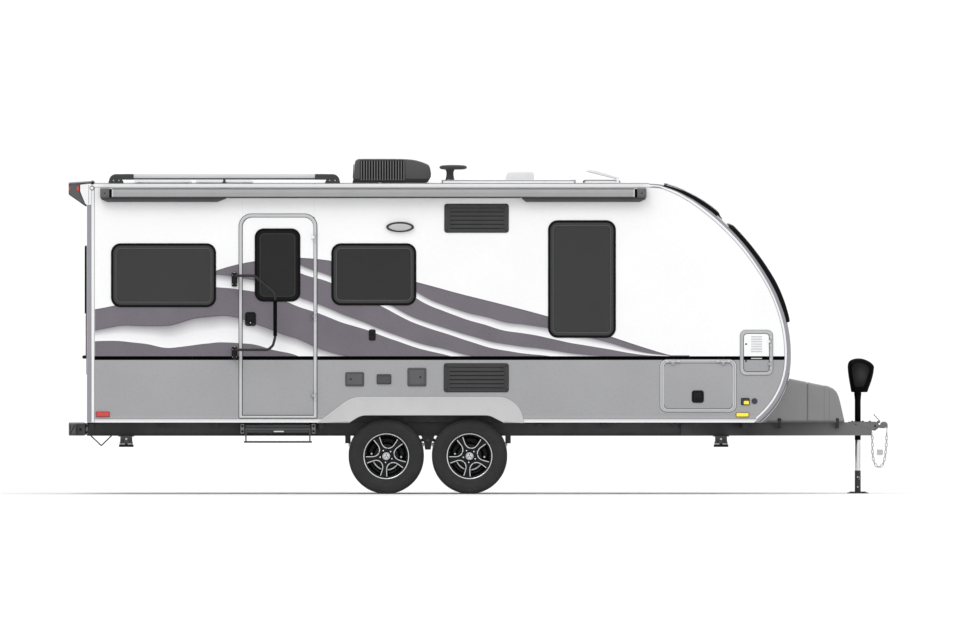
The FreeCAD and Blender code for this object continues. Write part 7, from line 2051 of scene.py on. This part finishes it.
# Jack head: oval moulding with a lighter cap, on a stepped neck.
HX = 3470.0
g = Geo()
sec = [(985, 27, 27, 3470), (926, 27, 27, 3470), (926, 66, 50, 3484), (931, 73, 55, 3485), (960, 80, 58, 3487), (1020, 96, 62, 3493), (1065, 106, 65, 3496), (1100, 112, 67, 3497.6), (1140, 116.5, 67.5, 3498.5), (1160, 117.5, 67, 3498.6), (1180, 111, 64, 3494), (1196, 101, 58, 3488),
       (1210, 86, 49, 3482), (1222, 66, 38, 3478), (1231, 42, 24, 3477), (1236, 14, 9, 3476)]
NS = 44
rings = []
for z, a, b, cx in sec:
    ring = []
    for i in range(NS):
        q = 2 * math.pi * i / NS
        c_, s_ = math.cos(q), math.sin(q)
        e_ = 3.0
        ring.append((cx + a * 1.035 * math.copysign(abs(c_) ** (2 / e_), c_), b * math.copysign(abs(s_) ** (2 / e_), s_), z))
    rings.append(ring)
g.loft(rings)
make("jack_head", g, M["jack_black"], rep=("tongue_jack_housing",), smooth=60)
g = Geo()
for k in (-1, 1):
    pts_ = spline([(p[0], 0.0, p[1]) for p in ((3421, 1160), (3452, 1186), (3492, 1192), (3535, 1182), (3562, 1162), (3575, 1132), (3564, 1088), (3531, 992), (3500, 977), (3448, 981), (3427, 1058), (3419, 1118))], 9.0, closed=True)
    o = []
    for i, p in enumerate(pts_):
        t_ = (pts_[(i + 1) % len(pts_)] - pts_[i - 1]).normalized()
        o.append((p.x, p.z, -t_.z, t_.x))
    g.slab(o, 56, 69.5, k, 5.0, 4, crown=1.5)
make("jack_side_covers", g, M["jack_cap"], smooth=50)
g = Geo()
g.lathe((HX, 0, 862), (0, 0, 1), [(27.5, 0), (30, 2), (30, 30), (33, 34), (33, 66), (27.5, 66)], 36, closed=True)
g.lathe((HX, 0, 490), (0, 0, 1), [(25.2, 0), (27, 0), (27.5, 1), (27.5, 430), (25.2, 430)], 36, closed=True)
g.lathe((HX, 0, 612), (0, 0, 1), [(27.5, 0), (56, 0), (57, 2), (57, 10), (55, 12), (27.5, 12)], 40, closed=True)
g.lathe((HX, 0, 648), (0, 0, 1), [(27.5, 0), (44, 0), (44, 6), (30, 14), (27.5, 14)], 36, closed=True)
make("jack_outer_tube", g, M["jack_black"], smooth=40)
g = Geo()
for i in range(3):
    a = ANGLE(90 + 120 * i)
    g.bolt((HX + 47 * math.cos(a), 47 * math.sin(a), 624), (0, 0, 1), 6, 6)
make("jack_bolts", g, M["zinc"], smooth=35)
g = Geo()
g.lathe((HX, 0, 200), (0, 0, 1), [(0, 0), (24.8, 0), (24.8, 496), (22, 500), (0, 500)], 36)
make("jack_inner_tube", g, M["chrome"], body="tongue_jack_leg", rep=("tongue_jack_leg",), smooth=40)
g = Geo()
g.lathe((HX, 0, 10), (0, 0, 1), [(0, 0), (27.5, 0), (27.5, 196), (26.5, 200), (25.0, 200), (25.0, 190), (0, 190)], 36)
o = rr(3372, 3568, -98, 98, 22, 6)
rings = [[(x - nx * d, y - ny * d, z) for x, y, nx, ny in o] for d, z in ((2, 0), (0, 2), (0, 6), (2, 8), (12, 8.6), (14, 10.6), (30, 11), (60, 12), (66, 17))]
g.loft(rings)
make("jack_foot", g, M["dark"], body="tongue_jack_leg", smooth=40)
g = Geo()
for z in (60, 150):
    g.lathe((HX, -40, z), (0, 1, 0), [(0, 0), (7, 0), (7, 80), (0, 80)], 16)
g.tube([(HX, -40, 150), (HX + 14, -46, 150), (HX + 18, -46, 140), (HX + 18, -40, 128), (HX + 6, -34, 128)], 2.2, 8)
make("jack_foot_pins", g, M["zinc"], body="tongue_jack_leg", smooth=40)

# Coupler: side plates that wrap the rail ends, top plate round the jack, neck, ball housing, lever.
g = Geo()
for k in (-1, 1):
    rings = []
    for X, y, zb, zt in ((3430, 180, 645, 651), (3450, 170, 639, 651), (3500, 146, 620, 651), (3550, 122, 601, 651), (3600, 98, 582, 651.5), (3612, 90, 578, 652), (3630, 74, 589, 652), (3646, 60, 600, 649), (3656, 51, 606, 640), (3662, 46, 612, 630)):
        rings.append([(X, k * y, zb), (X, k * y, zt), (X, k * (y - 6), zt), (X, k * (y - 6), zb)])
    g.loft(rings)
# top plate with the bore for the jack
plan = [(3380, -150), (3600, -100), (3640, -60), (3640, 60), (3600, 100), (3380, 150)]
rings = []
for i in range(64):
    a = 2 * math.pi * i / 64
    d = (math.cos(a), math.sin(a))
    best = 1e9
    for p, q in zip(plan, plan[1:] + plan[:1]):
        e = (q[0] - p[0], q[1] - p[1])
        den = d[0] * e[1] - d[1] * e[0]
        if abs(den) < 1e-9:
            continue
        wx, wy = p[0] - 3470.0, p[1]
        t_ = (wx * e[1] - wy * e[0]) / den
        u_ = (wx * d[1] - wy * d[0]) / den
        if t_ > 0 and -1e-6 <= u_ <= 1 + 1e-6:
            best = min(best, t_)
    x1_, y1_, x0_, y0_ = 3470 + best * d[0], best * d[1], 3470 + 28.2 * d[0], 28.2 * d[1]
    rings.append([(x0_, y0_, 650.6), (x0_, y0_, 656.5), (x1_, y1_, 656.5), (x1_, y1_, 650.6)])
g.loft(rings, closed=True)
g.prism([(3604, 575), (3630, 575), (3660, 600), (3722, 600), (3722, 634), (3682, 634), (3668, 628), (3656, 630), (3642, 650), (3604, 650)], "XZ", -36, 36)
g.lathe((3709.6, 0, 0), (0, 0, 1), [(0, 638), (16, 634), (25, 622), (26, 612), (26, 597), (37.5, 597), (37.5, 602), (35, 604.5), (35, 628), (33, 638), (27, 648), (17, 654.5), (7, 657), (0, 657.4)], 48)
# the coupler body takes the light end of the tongue paint's painted light
make("coupler_body", g, M["tongue"], rep=("coupler",), bevel=1.2, angle=40)
g = Geo()
g.prism([(3617, 717), (3622, 722), (3675, 665), (3669, 660)], "XZ", -12, 12)
g.lathe((3620, -27, 720), (0, 1, 0), [(0, 0), (4.5, 0), (5.5, 1), (5.5, 53), (4.5, 54), (0, 54)], 16)
for y in (-14, 8):
    g.prism([(3642, 654), (3650, 664), (3666, 669), (3677, 661), (3672, 644), (3654, 638)], "XZ", y, y + 6)
make("coupler_lever", g, M["plate"], bevel=1.0)
g = Geo()
for k in (-1, 1):
    g.lathe((3628, k * 73, 617), (0, k, 0), [(0, -60), (6, -60), (6, 1), (10, 1), (10, 7), (8, 9), (0, 9)], 6)
    for x, y in ((3420, 120), (3516, 92), (3580, 80)):
        g.bolt((x, k * y, 656.5), (0, 0, 1), 8, 9)
    g.lathe((3452, k * 160, 632), (0, k, 0), [(0, 0), (5, 0), (5, 14), (0, 14)], 12)
make("coupler_bolts", g, M["black"], smooth=35)
g = Geo()
random.seed(7)
for k in (-1, 1):
    for i in range(40):
        x = 3385 + i * 5.4
        y = 150 - (x - 3380) * 50 / 220.0
        g.ball((x, k * (y), 650.5), 3.4 + 0.5 * random.random(), n=8)
make("weld_beads", g, M["steel"], smooth=60)

# Chains: closed steel links along the hanging run, each turned a quarter from the last.
g = Geo()


def chain(k):
    pts = spline([(3603, k * 104, 528), (3604, k * 105, 440), (3608, k * 104, 350), (3622, k * 102, 282), (3650, k * 97, 247), (3680, k * 91, 247), (3706, k * 84, 282), (3722, k * 78, 350), (3732, k * 71, 450), (3736, k * 66, 556)], 4.0)
    L = [0.0]
    for a, b in zip(pts, pts[1:]):
        L.append(L[-1] + (b - a).length)
    pitch = 31.0
    n = int(L[-1] / pitch)
    pitch = L[-1] / n
    for i in range(n):
        s = (i + 0.5) * pitch
        j = max(q for q in range(len(L)) if L[q] <= s)
        j = min(j, len(pts) - 2)
        c = pts[j].lerp(pts[j + 1], (s - L[j]) / max(1e-6, L[j + 1] - L[j]))
        d = (pts[min(j + 3, len(pts) - 1)] - pts[max(0, j - 3)]).normalized()
        side_ = Vector((0, 1, 0))
        u = (side_ - d * side_.dot(d)).normalized()
        w = d.cross(u)
        t = (u + w * 0.35).normalized() if i % 2 else (w - u * 0.35).normalized()
        hl, hw = pitch / 2 + 2.4, 10.5
        path = []
        for a in range(0, 360, 20):
            ca, sa = math.cos(ANGLE(a)), math.sin(ANGLE(a))
            path.append(c + d * (hl * (1 if ca > 0 else -1) * min(1.0, abs(ca) * 1.25) * 0.72 + ca * 5.2) + t * (hw * sa))
        g.tube(path, 3.9, 8, closed=True)
    return pts


for k in (-1, 1):
    pts = chain(k)
    g.tube(fillet([(3600, k * 92, 560), (3600, k * 104, 544), (3600, k * 112, 528), (3600, k * 104, 514), (3600, k * 92, 520)], 8, 5), 5, 10)
    g.tube(fillet([(3736, k * 66, 548), (3736, k * 60, 560), (3738, k * 52, 585), (3730, k * 44, 604), (3716, k * 38, 604)], 8, 5), 4.5, 10)
g.v = [(min(v[0], 3.7478), v[1], v[2]) for v in g.v]
make("chain_links", g, M["zinc"], rep=("safety_chains",), smooth=60)
g = Geo()
for k in (-1, 1):
    pair_ring(g, rr(3645, 3701, 350, 402, 7, 4), rr(3654, 3692, 359, 393, 4, 4), [(0, 0), (0, 5), (0.3, 6), (0.7, 6), (1, 5), (1, 0)], 92, k)
    pair_ring(g, rr(3661, 3685, 366, 386, 4, 4), rr(3667, 3679, 372, 380, 2, 4), [(0, 1), (0, 4), (1, 4), (1, 1)], 92, k)
    g.slab(rr(3652, 3694, 357, 395, 4, 4), 93, 95, k, 0.5, 2)
make("chain_tags", g, M["zinc"], smooth=40)


# ------------------------------------------------------------------ entry step
g = Geo()
flat_slab(g, -2132, -1538, -1200, -960, 606, 630, 10, 3)
g.box(-2132, -2120, -1196, -930, 545, 610)
g.box(-1550, -1538, -1196, -930, 545, 610)
g.prism([(-1200, 561), (-1188, 561), (-1188, 612), (-1200, 612)], "YZ", -2131, -1539)
o = [(-1212, 469), (-1210, 468), (-1198, 468), (-1196, 470), (-1196, 483), (-1198, 485), (-1210, 485), (-1212, 483)]
g.prism(o, "YZ", -2146, -1524)
make("step_frame", g, plastic("step_enamel", C(66, 66, 67), 0.46, 0.14, 0.08), body="entry_step", rep=("entry_step",), bevel=1.6)
g = Geo()
for x in (-2128.0, -1543.0):
    g.lathe((x, -1202, 470), (0, 0, 1), [(0, 0), (6.4, 0), (6.4, 130), (0, 130)], 16)
g.prism([(-1201, 583), (-1206, 585), (-1206, 596), (-1201, 599)], "YZ", -2128, -1543)
make("step_rods", g, M["rod"], body="entry_step", smooth=40)
g = Geo()
for i in range(22):
    for j in range(7):
        x, y = -2104 + i * 26, -1180 + j * 34
        g.lathe((x + (13 if j % 2 else 0), y, 629.4), (0, 0, 1), [(0, 0), (8, 0), (7, 1.4), (5.2, 1.6), (4.6, 0.8), (0, 0.8)], 10)
make("step_grip", g, M["zinc"], body="entry_step", smooth=40)
g = Geo()
g.box(-1873, -1782, -1201.4, -1199, 566, 578)
make("step_fixings", g, M["chrome"], body="entry_step", bevel=0.8)


# ------------------------------------------------------------------ interior
g = Geo()
# galley: carcass, doors and drawers; overhead locker; fridge cabinet; sofa base; bed base
g.box(-2350, -1250, 580, 1172, 701.5, 1560)
g.box(-2350, -1250, 850, 1172, 2181, 2700)
g.box(-330, 290, -1172, -560, 876, 2700)
g.box(-330, 290, -930, -560, 701.5, 876)
g.box(-2900, -2880, -1172, 1172, 701.5, 1090)
g.box(-3535, -2880, -1172, 1172, 1072, 1090)
g.box(1500, 1518, -1172, 1172, 701.5, 1225)
g.box(1500, 2640, -1165, 1165, 1225.5, 1243)
make("cabinet_carcasses", g, M["wood"], rep=("interior_fittings",), bevel=2.0)
g = Geo()
for i in range(4):
    x = -2340 + i * 273
    g.slab(rr(x, x + 262, 730, 1330, 6, 3), -579.5, -562, 1, 3, 2)
    g.slab(rr(x, x + 262, 1345, 1535, 6, 3), -579.5, -562, 1, 3, 2)
    g.slab(rr(x, x + 262, 2195, 2690, 6, 3), -849.5, -832, 1, 3, 2)
for z0, z1 in ((900, 1560), (1575, 2240), (2255, 2680)):
    g.box(-315, 275, -560, -543, z0, z1)
for i in range(4):
    y = -1150 + i * 580
    g.box(-2880, -2866, y, y + 560, 730, 1060)
    g.box(1486, 1500, y, y + 560, 730, 1190)
make("cabinet_fronts", g, M["wood"], bevel=3.0)
g = Geo()
for i in range(4):
    x = -2340 + i * 273
    for z in (1300, 1440, 2230):
        y = 556 if z < 2000 else 826
        g.tube(fillet([(x + 90, y + 6, z), (x + 90, y - 14, z), (x + 170, y - 14, z), (x + 170, y + 6, z)], 8, 4), 4, 10)
g.tube(fillet([(-2000, 700, 1598), (-2000, 700, 1760), (-2000, 820, 1800), (-2000, 900, 1760), (-2000, 900, 1730)], 60, 8), 11, 14)
make("cabinet_pulls", g, M["zinc"], smooth=40)
g = Geo()
flat_slab(g, -2370, -1230, 540, 1172, 1560.5, 1600, 18, 4)
make("counter_slab", g, M["counter"], smooth=40)
g = Geo()
o, i_ = rr(-2200, -1800, 640, 1060, 50, 8), rr(-2185, -1815, 655, 1045, 40, 8)
g.loft([[(a[0], a[1], 1599), (a[0], a[1], 1603), (b[0], b[1], 1603.5), (b[0], b[1], 1599)] for a, b in zip(o, i_)], closed=True)
for cx_, cy_ in ((-1600, 740), (-1420, 740), (-1510, 960)):
    g.lathe((cx_, cy_, 1600), (0, 0, 1), [(0, 0), (58, 0), (58, 5), (50, 10), (30, 10), (26, 14), (0, 14)], 28)
make("sink_and_hob", g, M["steel"], smooth=40)


def cushion(name, x0, x1, y0, y1, z0, z1, mat, r=60, crown=14, pull=12, body="body", channels=0):
    """Crowned form with a flat foot, sides that pull in between the corners, piping and sewn channels."""
    cx, cy = (x0 + x1) / 2, (y0 + y1) / 2
    o = dense(rr(x0, x1, y0, y1, r, 8), 50.0)
    hx, hy = (x1 - x0) / 2, (y1 - y0) / 2
    h = z1 - z0

    def level(d, z, p):
        out = []
        for x, y, nx, ny in o:
            u, v = (x - cx) / hx, (y - cy) / hy
            amt = p * ((1 - u * u) * abs(ny) + (1 - v * v) * abs(nx))
            out.append((x - nx * (d + amt), y - ny * (d + amt), z))
        return out
    rings = [level(30, z0, pull), level(10, z0 + 2, pull), level(2.5, z0 + 10, pull), level(1.5, z0 + 14, pull), level(1.5, z0 + 18, pull),
             level(4, z0 + h * 0.3, pull * 0.55), level(4.5, z0 + h * 0.5, pull * 0.4), level(4, z1 - crown - h * 0.3 + 6, pull * 0.55),
             level(1.5, z1 - crown - 16, pull), level(1.5, z1 - crown - 12, pull), level(3, z1 - crown - 8, pull), level(12, z1 - crown - 2, pull), level(30, z1 - crown + 2, pull)]
    base = rings[-1]
    for f in (0.12, 0.25, 0.4, 0.55, 0.7, 0.85, 0.95):
        ring = []
        for x, y, z in base:
            xx, yy = x + (cx - x) * f, y + (cy - y) * f
            rise = (crown - 3) * (1 - (1 - f) ** 2.4)
            if channels:
                q = (yy - y0) / (y1 - y0) * channels
                rise -= 7.0 * math.exp(-((q - round(q)) / 0.045) ** 2) * min(1, f * 3)
            ring.append((xx, yy, z + rise + 1.2 * math.sin(xx * 0.021 + 1) * math.sin(yy * 0.017)))
        rings.append(ring)
    g_ = Geo()
    g_.loft(rings)
    ob = make(name, g_, mat, body=body, smooth=75)
    sub = ob.modifiers.new("soft", "SUBSURF")
    sub.levels = 1
    sub.render_levels = 1
    gp = Geo()
    for z in (z0 + 16, z1 - crown - 14):
        ring = level(-2.0, z, pull)
        gp.tube(ring, 4.0, 8, closed=True)
    make(name + "_piping", gp, mat, body=body, smooth=75)
    return ob


for i in range(3):
    y = -1166 + i * 778
    cushion("sofa_seat_%d" % (i + 1), -3424, -2884, y + 4, y + 772, 1092, 1208, M["sofa"], channels=3)
    cushion("sofa_back_%d" % (i + 1), -3530, -3432, y + 4, y + 772, 1212, 1598, M["sofa"], r=40, crown=10, pull=8)
cushion("mattress", 1508, 2560, -1155, 1155, 1246, 1398, M["bed"], r=80, crown=12, pull=10, channels=6)
for i, y in enumerate((-900.0, 180.0)):
    cushion("pillow_%d" % (i + 1), 2080, 2500, y, y + 720, 1398, 1400 + 92, M["bed"], r=90, crown=46, pull=26)


# ------------------------------------------------------------------ underbelly and remaining nodes
def floor_mat():
    """Printed vinyl planks inside; black coated board below and in the wheel boxes."""
    m = Mat("floor_and_underbelly", Coat_Weight=0.1)
    x, y, z = m.xyz()
    def gt(v, c):
        return m.math("GREATER_THAN", v, c)
    def lt(v, c):
        return m.math("LESS_THAN", v, c)
    ay = m.math("ABSOLUTE", y)
    box_ = m.math("MULTIPLY", m.math("MULTIPLY", gt(x, -1.2302), lt(x, 0.3152)), m.math("MULTIPLY", gt(ay, 0.9505), lt(z, 0.8602)))
    under = m.math("MAXIMUM", box_, lt(z, 0.6995))
    g_ = m.noise(4.0, 6.0, 0.65, stretch=(1.5, 9.0, 22.0), dist=0.8)
    wood_ = m.mix(m.rng(g_, 0.3, 0.7, 0.0, 1.0), C(120, 100, 82), C(150, 130, 108))
    blk = m.mix(m.rng(m.noise(14.0, 5.0, 0.6), 0.3, 0.7, 0.0, 1.0), C(26, 26, 27), C(38, 38, 39))
    m.put("Base Color", m.mix(under, wood_, blk))
    m.put("Roughness", m.rng(m.noise(30.0, 4.0, 0.6), 0.3, 0.7, 0.42, 0.62))
    m.bump(m.noise(160.0, 4.0, 0.6), 0.12, 0.0008)
    return m.m


dress("cabin_floor", floor_mat())


# ------------------------------------------------------------------ floor, light
def studio_floor():
    m = Mat("studio_floor", Specular_IOR_Level=0.15)
    c = m.mix(m.rng(m.noise(0.6, 4.0, 0.6), 0.3, 0.7, 0.0, 1.0), C(246, 246, 246), C(252, 252, 252))
    m.put("Base Color", c)
    m.put("Roughness", m.rng(m.noise(6.0, 4.0, 0.6), 0.3, 0.7, 0.8, 0.95))
    return m.m


me = bpy.data.meshes.new("studio_floor")
me.from_pydata([(-1500, -1500, 0), (1500, -1500, 0), (1500, 1500, 0), (-1500, 1500, 0)], [], [(0, 1, 2, 3)])
me.materials.append(studio_floor())
floor_ob = bpy.data.objects.new("studio_floor", me)
sc.collection.objects.link(floor_ob)

world = bpy.data.worlds.new("studio")
sc.world = world
world.use_nodes = True
bg = world.node_tree.nodes["Background"]
bg.inputs["Color"].default_value = (1.0, 1.0, 1.0, 1.0)
bg.inputs["Strength"].default_value = 1.0


def sun(name, direction, strength, angle):
    """Wide soft light from one side; the angle is that of a large soft box."""
    d = bpy.data.lights.new(name, "SUN")
    d.energy = strength
    d.angle = ANGLE(angle)
    o_ = bpy.data.objects.new(name, d)
    sc.collection.objects.link(o_)
    o_.rotation_mode = "QUATERNION"
    o_.rotation_quaternion = Vector(direction).to_track_quat("-Z", "Y")
    return o_


sun("key", (0.42, 0.80, -1.0), 0.85, 34.0)
sun("fill", (-0.75, 0.75, -0.65), 0.28, 70.0)
sun("back", (-0.2, -0.9, -0.8), 0.45, 60.0)
sc.view_settings.view_transform = "Standard"
sc.view_settings.look = "None"
sc.view_settings.exposure = 0.0
sc.view_settings.gamma = 1.0
